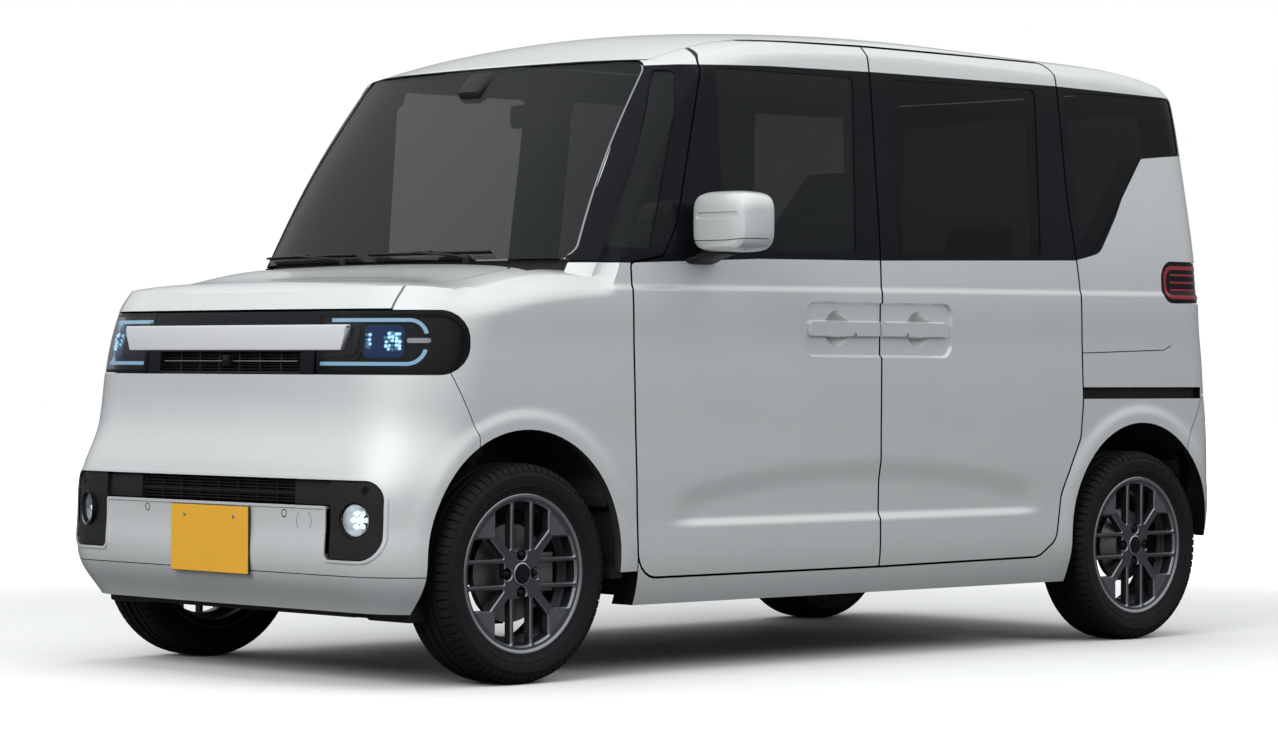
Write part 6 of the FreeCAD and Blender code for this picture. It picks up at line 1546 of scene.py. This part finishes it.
# The groove under the head has black walls: painted shade in the groove.
head = less(tagged(head, "body_paint"), tagged(less(slot_cut, inner), "body_paint"),
            tagged(less(lower_cut, inner), "black_mesh_and_groove_shade"))
glass = tagged(loft([mirror_ring(-0.5600, 0.880), mirror_ring(-0.5570, 0.880), mirror_ring(-0.5562, 0.840),
                     mirror_ring(-0.5560, 0.30)]), "satin_metal")
lens = tagged(turned([(0, -0.004), (0.0075, -0.004), (0.0060, 0.0020), (0, 0.0034)], (0.925, -0.640, 1.140),
                     (0.45, -0.55, -0.70), 28), "lamp_dark")
foot = []
for x, y0, y1, z0, z1 in ((0.7215, -0.662, -0.548, 1.098, 1.118), (0.7450, -0.658, -0.552, 1.103, 1.124),
                          (0.7750, -0.652, -0.560, 1.112, 1.136), (0.8150, -0.645, -0.570, 1.120, 1.145),
                          (0.8550, -0.638, -0.582, 1.124, 1.150)):
    foot.append([(x, a, b) for a, b in oval((y0 + y1) / 2, (z0 + z1) / 2, (y1 - y0) / 2, (z1 - z0) / 2, 3.0,
                                            40)])
foot = tagged(loft(foot), "black_plastic")
for side_name in ("left", "right"):
    made = [head, join(foot, glass, lens)]
    if side_name == "right":
        made = [mirrored(mesh) for mesh in made]
    put("mirror_head_" + side_name, made[0], "door_" + side_name, [], ["mirror_" + side_name], "body_paint")
    put("mirror_foot_" + side_name, made[1], "door_" + side_name, slot="black_plastic")
print("mirror head:", len(head.polygons), "faces")

# %% [markdown]
# Each wiper is a thin blade, a holder and an arm from its spindle in the cowl. All are round bars along
# paths on the screen, flattened where the real part is.

# %%
# Wipers on the screen
def screen_point(x, z, out=0.0):
    """Point off the windscreen at a height, for a share of the width."""
    p = profile(abs(x) / HALF_WIDTH, -out)[29:55]
    return np.array([x, np.interp(z, p[:, 1], p[:, 0]), z])


for side_name, x0, x1, spindle in (("right", -0.588, -0.105, -0.1475), ("left", -0.042, 0.426, 0.369)):
    xs = np.linspace(x0, x1, 30)
    rubber = tube([screen_point(x, 1.1260, 0.0035) for x in xs], 0.0028, 8)
    spine = tube([screen_point(x, 1.1290, 0.0100) for x in xs], 0.0056, 10, 0.6)
    middle = (x0 + x1) / 2
    holder = tube([screen_point(x, 1.1300, 0.0140) for x in np.linspace(middle - 0.030, middle + 0.030, 8)],
                  0.0085, 12, 0.6)
    toward = math.copysign(1, middle - spindle)
    run = [(spindle, -1.130, 1.112), (spindle + toward * 0.03, -1.132, 1.117)]
    run += [tuple(screen_point(spindle + (middle - spindle) * t, 1.117 + 0.012 * t, 0.019))
            for t in (0.35, 0.6, 0.8, 1.0)]
    arm = tube(run, 0.0050, 10, 0.7)
    cap = turned([(0, -0.034), (0.0090, -0.034), (0.0115, -0.010), (0.0115, 0.002), (0.0080, 0.0075),
                  (0, 0.0085)],
                 (spindle, -1.130, 1.112), (0, 0, 1), 28)
    parts = [tagged(m, "black_plastic") for m in (rubber, spine, holder, arm, cap)]
    put("wiper_" + side_name, join(*parts), "root", [], ["wipers"] if side_name == "right" else [],
        "black_plastic")

# %% [markdown]
# Small things finish the outline: a painted highlight along the screen pillars, the camera box and
# mirror behind the screen, black undertray edges below the bumper, and a bare plate at the rear.

# %%
# Painted highlight beside the screen, the pieces behind its top edge, the undertray and the rear plate
# A thin bright strip just inside the screen's edge at both pillars: a painted highlight.
ring = less(screen_zone(-0.0014), screen_zone(-0.0055))
ring = common(ring, join(block(0.56, 0.70, -1.3, -0.6, 1.118, 1.642),
                         block(-0.70, -0.56, -1.3, -0.6, 1.118, 1.642)))
put("screen_trim", slice_of(ring, 0.0006, 0.0058, "edge_metal_and_highlight"), slot="black_plastic")

camera_box = loft([[(a, y, b) for a, b in oval(0, 0, wide, tall, 5, 32)] for y, wide, tall in (
    (0.0, 0.030, 0.012), (0.004, 0.042, 0.020), (0.075, 0.060, 0.030), (0.095, 0.056, 0.026))])
camera_box = moved(camera_box, (0, -0.800, 1.572), math.radians(38), "X")
shroud = soft_block(-0.118, 0.118, -0.545, -0.512, 1.505, 1.572, 0.013)
pane_back = soft_block(-0.110, 0.110, -0.513, -0.5100, 1.512, 1.565, 0.0014, 1)
stem = tube([(0, -0.640, 1.640), (0, -0.600, 1.610), (0, -0.555, 1.565), (0, -0.535, 1.548)], 0.008, 12)
put("cabin_mirror", join(*[tagged(m, "black_plastic") for m in (camera_box, shroud, stem)],
                         tagged(pane_back, "satin_metal")),
    slot="black_plastic")

corners = [tagged(soft_block(0.470, 0.640, -1.560, -1.470, 0.168, 0.215, 0.008), "black_plastic")]
corners.append(mirrored(corners[0]))
corners.append(tagged(soft_block(-0.470, 0.470, -1.600, -1.560, 0.176, 0.215, 0.008), "black_plastic"))
put("undertray_edge", join(*corners), slot="black_plastic")

rear_y = float(half_ring(np.array([0.786]), 0.018)[1][0, -1])
rear_back = soft_block(-0.1665, 0.1665, rear_y + 0.0010, rear_y + 0.0065, 0.7010, 0.8710, 0.0020, 2)
rear_face = soft_block(-0.1650, 0.1650, rear_y + 0.0060, rear_y + 0.0085, 0.7025, 0.8695, 0.0011, 2)
bar = prism([(-0.205, 0.885, 0.012), (0.205, 0.885, 0.012), (0.195, 0.925, 0.012), (-0.195, 0.925, 0.012)],
            "front", 1.5, 1.8)
handle = less(common(skin(-0.006), bar), skin(0.004))
put("rear_plate", join(tagged(rear_back, "black_plastic"), tagged(rear_face, "plate_yellow"),
                       tagged(handle, "body_paint")),
    "tailgate", slot="body_paint")
print("trim made")

# %% [markdown]
# Seats. A seat is foam under cloth, so each pad starts as a slim block, is remeshed evenly and blown up
# as cloth until it bulges between its edges. Seams are pressed in afterwards, since a remesh loses them.

# %%
# A pad blown up as cloth
def coords(mesh):
    values = np.zeros(len(mesh.vertices) * 3, np.float32)
    mesh.vertices.foreach_get("co", values)
    return values.reshape(-1, 3).astype(float)


def evaluated(obj):
    obj.update_tag()
    return bpy.data.meshes.new_from_object(obj.evaluated_get(bpy.context.evaluated_depsgraph_get()))


PAD_CAP, PAD_FRAMES, PAD_VOXEL, PAD_PRESSURE = 0.024, 20, 0.011, 4


def pumped(mesh, box):
    """Soft pad from a slim block: swollen under pressure to a short travel and fitted to its box."""
    obj = object_of("pad", mesh.copy())
    remesh = obj.modifiers.new("remesh", "REMESH")
    remesh.mode, remesh.voxel_size = "VOXEL", PAD_VOXEL
    even = evaluated(obj)
    bpy.data.objects.remove(obj)
    start = coords(even)
    obj = object_of("pad", even)
    cloth = obj.modifiers.new("cloth", "CLOTH")
    cloth.settings.use_pressure = True
    cloth.settings.uniform_pressure_force = PAD_PRESSURE
    cloth.settings.effector_weights.gravity = 0
    cloth.point_cache.frame_end = PAD_FRAMES
    for frame_now in range(1, PAD_FRAMES + 1):
        bpy.context.scene.frame_set(frame_now)
    travel = coords(evaluated(obj)) - start
    obj.modifiers.remove(cloth)
    bpy.context.scene.frame_set(1)
    far = np.linalg.norm(travel, axis=1)
    travel *= np.minimum(1, PAD_CAP / np.maximum(far, 1e-9))[:, None]
    print("pad:", len(start), "points, mean travel",
          round(float(np.minimum(far, PAD_CAP).mean()) * 1000, 1), "mm")
    start = start + travel
    low, high = start.min(0), start.max(0)
    fitted = np.array(box[0]) + (start - low) / (high - low) * (np.array(box[1]) - np.array(box[0]))
    even.vertices.foreach_set("co", fitted.astype(np.float32).ravel())
    finer = obj.modifiers.new("finer", "SUBSURF")
    finer.levels = 1
    made = evaluated(obj)
    bpy.data.objects.remove(obj)
    return made


SEAM_DEPTH, SEAM_REACH = 0.006, 0.008


def pressed(mesh, lines):
    """Sewn seams: the surface is pressed in along planes of x or of y, on the side that faces one way."""
    at = coords(mesh)
    normal = np.zeros(len(at) * 3, np.float32)
    mesh.vertices.foreach_get("normal", normal)
    normal = normal.reshape(-1, 3)
    pull = np.zeros(len(at))
    for axis, place in lines:
        pull = np.maximum(pull, np.exp(-((at[:, axis] - place) / SEAM_REACH) ** 2))
    pull = pull * np.clip(normal[:, 2] * 2, 0, 1) * SEAM_DEPTH
    at = at - normal * pull[:, None]
    mesh.vertices.foreach_set("co", at.astype(np.float32).ravel())
    mesh.update()
    return mesh


# %% [markdown]
# Each pad is made once, lying flat, and then stood up and leaned where a seat has it. Two front seats
# and both halves of the bench share their pads.

# %%
# Front seats and rear bench
LEAN = math.radians(18)
UP = np.array([0, math.sin(LEAN), math.cos(LEAN)])
SEAT_WIDE, SEAT_DEEP, BENCH_HALF, BACK_TALL = 0.470, 0.480, 0.559, 0.580
CUSHION_THICK, BACK_THICK = 0.130, 0.120
CUSHION_Z, BACK_Z, BACK_SET = 0.470, 0.548, 0.408  # underside, foot of the back and its set-back
FRONT_SEAT_Y, BENCH_Y, FRONT_SEAT_X, BENCH_X = -0.380, 0.390, 0.315, 0.2805
FRONT_BOLSTER, BENCH_BOLSTER = 0.085, 0.070


def soft(wide, deep, tall, bolster):
    """Pad of a seat lying on its back: a slim block with raised edges along both sides."""
    body = soft_block(-wide / 2 + 0.016, wide / 2 - 0.016, 0.016, deep - 0.016, 0.014, tall - 0.030, 0.024)
    sides = [soft_block(min(a, b), max(a, b), 0.022, deep - 0.022, 0.020, tall - 0.012, 0.022)
             for a, b in ((-wide / 2 + 0.014, -wide / 2 + bolster), (wide / 2 - bolster, wide / 2 - 0.014))]
    box = ((-wide / 2 + 0.002, 0.002, 0.002), (wide / 2 - 0.002, deep - 0.002, tall - 0.002))
    pad = pumped(join(body, *sides), box)
    inner = wide / 2 - bolster - 0.006
    lines = [(0, -inner), (0, inner)] + [(1, deep * share) for share in (0.30, 0.62)]
    return tagged(pressed(pad, lines), "seat_cloth")


FRONT_CUSHION = soft(SEAT_WIDE, SEAT_DEEP, CUSHION_THICK, FRONT_BOLSTER)
FRONT_BACK = soft(SEAT_WIDE, BACK_TALL, BACK_THICK, FRONT_BOLSTER)
HEAD_PAD = tagged(pumped(soft_block(-0.112, 0.112, 0.013, 0.077, 0.013, 0.137, 0.026),
                         ((-0.124, 0.001, 0.001), (0.124, 0.089, 0.149))), "seat_cloth")
REAR_CUSHION = soft(BENCH_HALF, SEAT_DEEP, CUSHION_THICK, BENCH_BOLSTER)
REAR_BACK = soft(BENCH_HALF, BACK_TALL, BACK_THICK, BENCH_BOLSTER)


def leaned(mesh, place):
    return moved(mesh, place, -LEAN)


def stood(mesh, place):
    """A pad made lying down, stood up so that its face looks forward, and leaned back."""
    made = mesh.copy()
    thick = max(v.co.z for v in made.vertices)
    made.transform(Matrix(((1, 0, 0, 0), (0, 0, -1, thick), (0, 1, 0, 0), (0, 0, 0, 1))))
    return leaned(made, place)


def head_at(front):
    """Where a head restraint stands, along the car and up, for a seat's front edge."""
    return BACK_TALL * UP[1] + front + BACK_SET + 0.008, BACK_TALL * UP[2] + BACK_Z + 0.036


def seat_parts(x, front, spots, riser_half):
    """Riser and head-restraint posts of a seat."""
    rise, run = BACK_TALL * UP[2] + BACK_Z, BACK_TALL * UP[1] + front + BACK_SET
    parts = [tagged(soft_block(x - riser_half, x + riser_half, front + 0.062, front + 0.438, 0.304, 0.478,
                               0.010), "black_plastic")]
    for spot in spots:
        for sign in (-1, 1):
            foot = np.array([spot + sign * 0.0625, run + 0.034, rise - 0.040])
            parts.append(tagged(rod(foot, foot + UP * 0.110, 0.0058, 16), "satin_metal"))
    return parts


front_sets, rear_parts = [], seat_parts(0, BENCH_Y, (-0.28, 0.28), 0.465)
cushions, backs, heads = [], [], []
for x in (-FRONT_SEAT_X, FRONT_SEAT_X):
    front_sets += seat_parts(x, FRONT_SEAT_Y, (x,), 0.142)
    for sign in (-1, 1):
        side_cover = soft_block(-0.008, 0.008, -0.070, 0.070, -0.035, 0.035, 0.007)
        front_sets.append(tagged(moved(side_cover, (x + sign * 0.224, 0.030, 0.505), 0.35), "black_plastic"))
    cushions.append(moved(FRONT_CUSHION, (x, FRONT_SEAT_Y, CUSHION_Z)))
    backs.append(stood(FRONT_BACK, (x, FRONT_SEAT_Y + BACK_SET, BACK_Z)))
    heads.append(leaned(HEAD_PAD, (x, *head_at(FRONT_SEAT_Y))))
put("front_seat_frames", join(*front_sets), "root", [], ["front_seats"], "black_plastic")
put("rear_seat_frame", join(*rear_parts), "root", [], ["rear_seat"], "black_plastic")
rear_cushions = [moved(REAR_CUSHION, (x, BENCH_Y, CUSHION_Z)) for x in (-BENCH_X, BENCH_X)]
rear_backs = [stood(REAR_BACK, (x, BENCH_Y + BACK_SET, BACK_Z)) for x in (-BENCH_X, BENCH_X)]
rear_heads = [leaned(HEAD_PAD, (x, *head_at(BENCH_Y))) for x in (-0.28, 0.28)]
for name, meshes in (("front_cushions", cushions), ("front_backrests", backs), ("front_headrests", heads),
                     ("rear_cushions", rear_cushions), ("rear_backrests", rear_backs),
                     ("rear_headrests", rear_heads)):
    put(name, join(*meshes), "root", weighted=False, smooth=80)
print("seats made")

# %% [markdown]
# The dashboard is one section carried across the car with its screens, vents and dials set into it.
# Modelling it as one mesh would be hard to change, so each screen or vent is a soft block of its own.

# %%
# Dashboard and steering column
shelf = [(-1.088, 1.016), (-1.088, 1.050), (-1.030, 1.057), (-0.830, 1.058), (-0.790, 1.050), (-0.768, 1.025),
         (-0.763, 0.985), (-0.775, 0.930), (-0.800, 0.880), (-0.830, 0.830), (-0.870, 0.800), (-0.960, 0.800),
         (-0.960, 1.016)]
belly = tagged(prism(rounded([(a, b, 0.012) for a, b in shelf], 4), "side", -0.648, 0.648), "trim_inner")
tray = tagged(soft_block(-0.610, 0.610, -0.860, -0.700, 0.900, 0.955, 0.012), "black_plastic")
belly = less(belly, tray)
parts = [belly]
parts.append(tagged(soft_block(-0.475, -0.225, -0.815, -0.762, 1.000, 1.066, 0.010), "black_plastic"))
parts.append(tagged(soft_block(-0.462, -0.238, -0.7640, -0.7600, 1.010, 1.056, 0.0018, 2), "lamp_dark"))
parts.append(tagged(soft_block(-0.135, 0.135, -0.778, -0.764, 0.975, 1.066, 0.005), "black_plastic"))
parts.append(tagged(soft_block(-0.128, 0.128, -0.7650, -0.7625, 0.982, 1.060, 0.0011, 2), "lamp_dark"))
for x in (-0.590, -0.175, 0.175, 0.590):
    vent = less(soft_block(x - 0.034, x + 0.034, -0.785, -0.7600, 0.972, 1.020, 0.008),
                soft_block(x - 0.029, x + 0.029, -0.772, -0.7500, 0.977, 1.015, 0.006))
    parts.append(tagged(vent, "black_plastic"))
    for z in (0.984, 0.992, 1.000, 1.008):
        parts.append(tagged(block(x - 0.029, x + 0.029, -0.772, -0.7615, z - 0.0008, z + 0.0008),
                            "black_mesh_and_groove_shade"))
parts.append(tagged(soft_block(-0.075, 0.075, -0.800, -0.762, 0.845, 0.900, 0.012), "black_plastic"))
for x in (-0.050, -0.0167, 0.0167, 0.050):
    parts.append(tagged(turned([(0, 0), (0.010, 0), (0.0092, 0.010), (0, 0.011)], (x, -0.7635, 0.872),
                               (0, 1, 0), 24), "satin_metal"))
hub = np.array([-0.350, -0.470, 0.985])
axis = np.array([0, math.sin(math.radians(62)), math.cos(math.radians(62))])
parts.append(tagged(rod(hub - axis * 0.330, hub - axis * 0.060, 0.0225, 32, 0.0225), "black_plastic"))
put("dash_set", join(*parts), "root", [], ["dashboard"], "black_plastic")
print("dashboard made")

# %% [markdown]
# The steering wheel is a ring with two spokes, a padded middle and keys. It could be a curve with
# a bevel; a loft closed on itself gives the same round rim with even faces.

# %%
# Steering wheel
ring = [[((0.1715 + 0.0132 * math.cos(a)) * math.cos(t), (0.1715 + 0.0132 * math.cos(a)) * math.sin(t),
          0.0128 * math.sin(a))
         for a in np.linspace(0, 2 * math.pi, 14, endpoint=False)]
        for t in np.linspace(0, 2 * math.pi, 80, endpoint=False)]
spokes = [soft_block(-0.166, 0.166, -0.014, 0.012, -0.012, -0.002, 0.004),
          soft_block(-0.016, 0.016, -0.166, 0.0, -0.012, -0.003, 0.004)]
pad = soft_block(-0.072, 0.072, -0.062, 0.055, -0.030, 0.006, 0.014)
keys = [soft_block(s * 0.105 - 0.020, s * 0.105 + 0.020, -0.010, 0.009, -0.006, 0.001, 0.003)
        for s in (-1, 1)]
wheel = join(tagged(loft(ring, close=True), "steering_cover"),
             *[tagged(m, "black_plastic") for m in spokes + keys], tagged(pad, "steering_cover"),
             tagged(rod((0, 0, -0.056), (0, 0, -0.010), 0.030, 32), "black_plastic"))
put("steering_set", moved(wheel, hub, -math.radians(62)), "steering_wheel", [], ["steering_wheel"],
    "steering_cover")

# %% [markdown]
# An open door shows its lining: a cloth field, an arm rest, a lever and a speaker ring. They lie in
# shallow relief on the panel, so soft blocks and a turned ring do, and they ride on the door.

# %%
# Inner sides of the front doors
for side_name, sign in (("left", 1), ("right", -1)):
    reach = [sorted((sign * a, sign * b)) for a, b in ((0.684, 0.700), (0.681, 0.700), (0.683, 0.700))]
    grille = turned([(0.060, 0), (0.078, 0), (0.076, 0.006), (0.062, 0.006)], (sign * 0.692, -0.560, 0.420),
                    (-sign, 0, 0), 48)
    cloth = soft_block(*reach[0], -0.520, -0.030, 0.800, 0.985, 0.006)
    rest = soft_block(*reach[1], -0.470, -0.060, 0.745, 0.790, 0.006)
    lever = soft_block(*reach[2], -0.640, -0.560, 0.900, 0.925, 0.006)
    put("door_trim_" + side_name, join(tagged(cloth, "seat_cloth"), tagged(rest, "black_plastic"),
                                       tagged(grille, "black_plastic"), tagged(lever, "satin_metal")),
        "door_" + side_name, slot="black_plastic")
print("cabin made")

# %% [markdown]
# The camera stands off the front left corner, level and at eye height of a seated person, so upright
# edges stay upright. A long lens keeps near and far wheels close in size.

# %%
# Camera
camera = bpy.data.cameras.new("camera")
camera.lens = 106.84
camera.sensor_width = 36
camera.clip_end = 200
eye = object_of("camera", camera)
eye.location = (7.9805, -7.8304, 0.8222)
back = -Vector((-0.71979, 0.69419, -0.00193))
right = Vector((0.69418, 0.71979, 0.00406))
up = Vector((-0.00421, -0.00159, 0.99999))
turn = Matrix((right, up, back)).transposed()
eye.rotation_mode = "QUATERNION"
eye.rotation_quaternion = turn.to_quaternion()
bpy.context.scene.camera = eye

# %% [markdown]
# A white studio floor would throw its light up at the sills. This one is pale for camera rays alone and
# dark for the rest, and fades to plain white far out, so the car keeps its shadow.

# %%
# Floor
floor = object_of("floor", block(-40, 40, -40, 40, -0.2, 0.0))
ground = bpy.data.materials.new("floor_pale")
ground.use_nodes = True
tree = ground.node_tree
shader = tree.nodes["Principled BSDF"]
shader.inputs["Roughness"].default_value = 0.7
shader.inputs["Specular IOR Level"].default_value = 0.2
coord, ring, far, path, grain, seen, near, fade = [
    tree.nodes.new("ShaderNode" + kind)
    for kind in ("TexCoord", "VectorMath", "MapRange", "LightPath", "TexNoise", "Mix", "Mix", "Math")]
ring.operation, fade.operation = "LENGTH", "MULTIPLY"
far.interpolation_type = "SMOOTHSTEP"
far.inputs["From Min"].default_value = 2.6
far.inputs["From Max"].default_value = 7.0
grain.inputs["Scale"].default_value = 3
seen.data_type, near.data_type = "RGBA", "RGBA"
seen.inputs[6].default_value = (0.10, 0.103, 0.107, 1)
near.inputs[6].default_value = (0.84, 0.845, 0.85, 1)
near.inputs[7].default_value = (0.88, 0.885, 0.89, 1)
tree.links.new(coord.outputs["Object"], ring.inputs[0])
tree.links.new(coord.outputs["Object"], grain.inputs["Vector"])
tree.links.new(ring.outputs["Value"], far.inputs["Value"])
tree.links.new(grain.outputs["Fac"], near.inputs[0])
tree.links.new(near.outputs[2], seen.inputs[7])
tree.links.new(path.outputs["Is Camera Ray"], seen.inputs[0])
tree.links.new(seen.outputs[2], shader.inputs["Base Color"])
tree.links.new(far.outputs["Result"], fade.inputs[0])
tree.links.new(path.outputs["Is Camera Ray"], fade.inputs[1])
tree.links.new(fade.outputs["Value"], shader.inputs["Emission Strength"])
shader.inputs["Emission Color"].default_value = (1, 1, 1, 1)
floor.data.materials.append(ground)

# %% [markdown]
# Three broad lamps and a pale sky light the car evenly, which suits smooth panels. Small lamps would
# show as hard patches, so these are hidden from reflections.

# %%
# Lamps and sky
def lamp_area(name, place, aim, size, power):
    """Broad lamp that lights diffusely, so that no hard patch of it shows in paint or glass."""
    light = bpy.data.lights.new(name, "AREA")
    light.shape = "RECTANGLE"
    light.size, light.size_y = size
    light.energy = power
    obj = object_of(name, light)
    obj.location = place
    obj.rotation_mode = "QUATERNION"
    obj.rotation_quaternion = (Vector(aim) - Vector(place)).to_track_quat("-Z", "Y")
    obj.visible_glossy = False
    obj.visible_transmission = False


world = bpy.data.worlds.new("sky")
bpy.context.scene.world = world
world.use_nodes = True
tree = world.node_tree
ramp = tree.nodes.new("ShaderNodeValToRGB")
stops = ramp.color_ramp.elements
stops[0].position, stops[0].color = 0.44, (0.10, 0.11, 0.125, 1)
stops[1].position, stops[1].color = 0.54, (0.30, 0.32, 0.35, 1)
for at, level in ((0.63, 0.72), (0.80, 0.92), (1.0, 1.0)):
    stop = stops.new(at)
    stop.color = (level * 0.97, level * 0.99, level, 1)
coord, split, shift, path, white, both = [
    tree.nodes.new("ShaderNode" + kind)
    for kind in ("TexCoord", "SeparateXYZ", "Math", "LightPath", "Background", "MixShader")]
shift.operation = "MULTIPLY_ADD"
shift.inputs[1].default_value = shift.inputs[2].default_value = 0.5
tree.links.new(coord.outputs["Generated"], split.inputs[0])
tree.links.new(split.outputs["Z"], shift.inputs[0])
tree.links.new(shift.outputs[0], ramp.inputs["Fac"])
tree.links.new(ramp.outputs["Color"], tree.nodes["Background"].inputs["Color"])
tree.nodes["Background"].inputs["Strength"].default_value = 0.75
white.inputs["Color"].default_value = (1, 1, 1, 1)
tree.links.new(path.outputs["Is Camera Ray"], both.inputs["Fac"])
tree.links.new(tree.nodes["Background"].outputs[0], both.inputs[1])
tree.links.new(white.outputs[0], both.inputs[2])
tree.links.new(both.outputs[0], tree.nodes["World Output"].inputs["Surface"])
lamp_area("key", (2.0, -7.5, 4.6), (0, -0.8, 0.6), (6, 4), 420)
lamp_area("side", (6.5, 1.0, 4.5), (0, 0.3, 0.9), (5, 3), 130)
lamp_area("top", (0.0, 0.5, 7.0), (0, 0, 0), (8, 8), 190)
bpy.context.scene.view_settings.view_transform = "Standard"

# %%
# Finish
print(len(MADE), "pieces added,", sum(len(o.data.polygons) for o in MADE.values()), "faces")
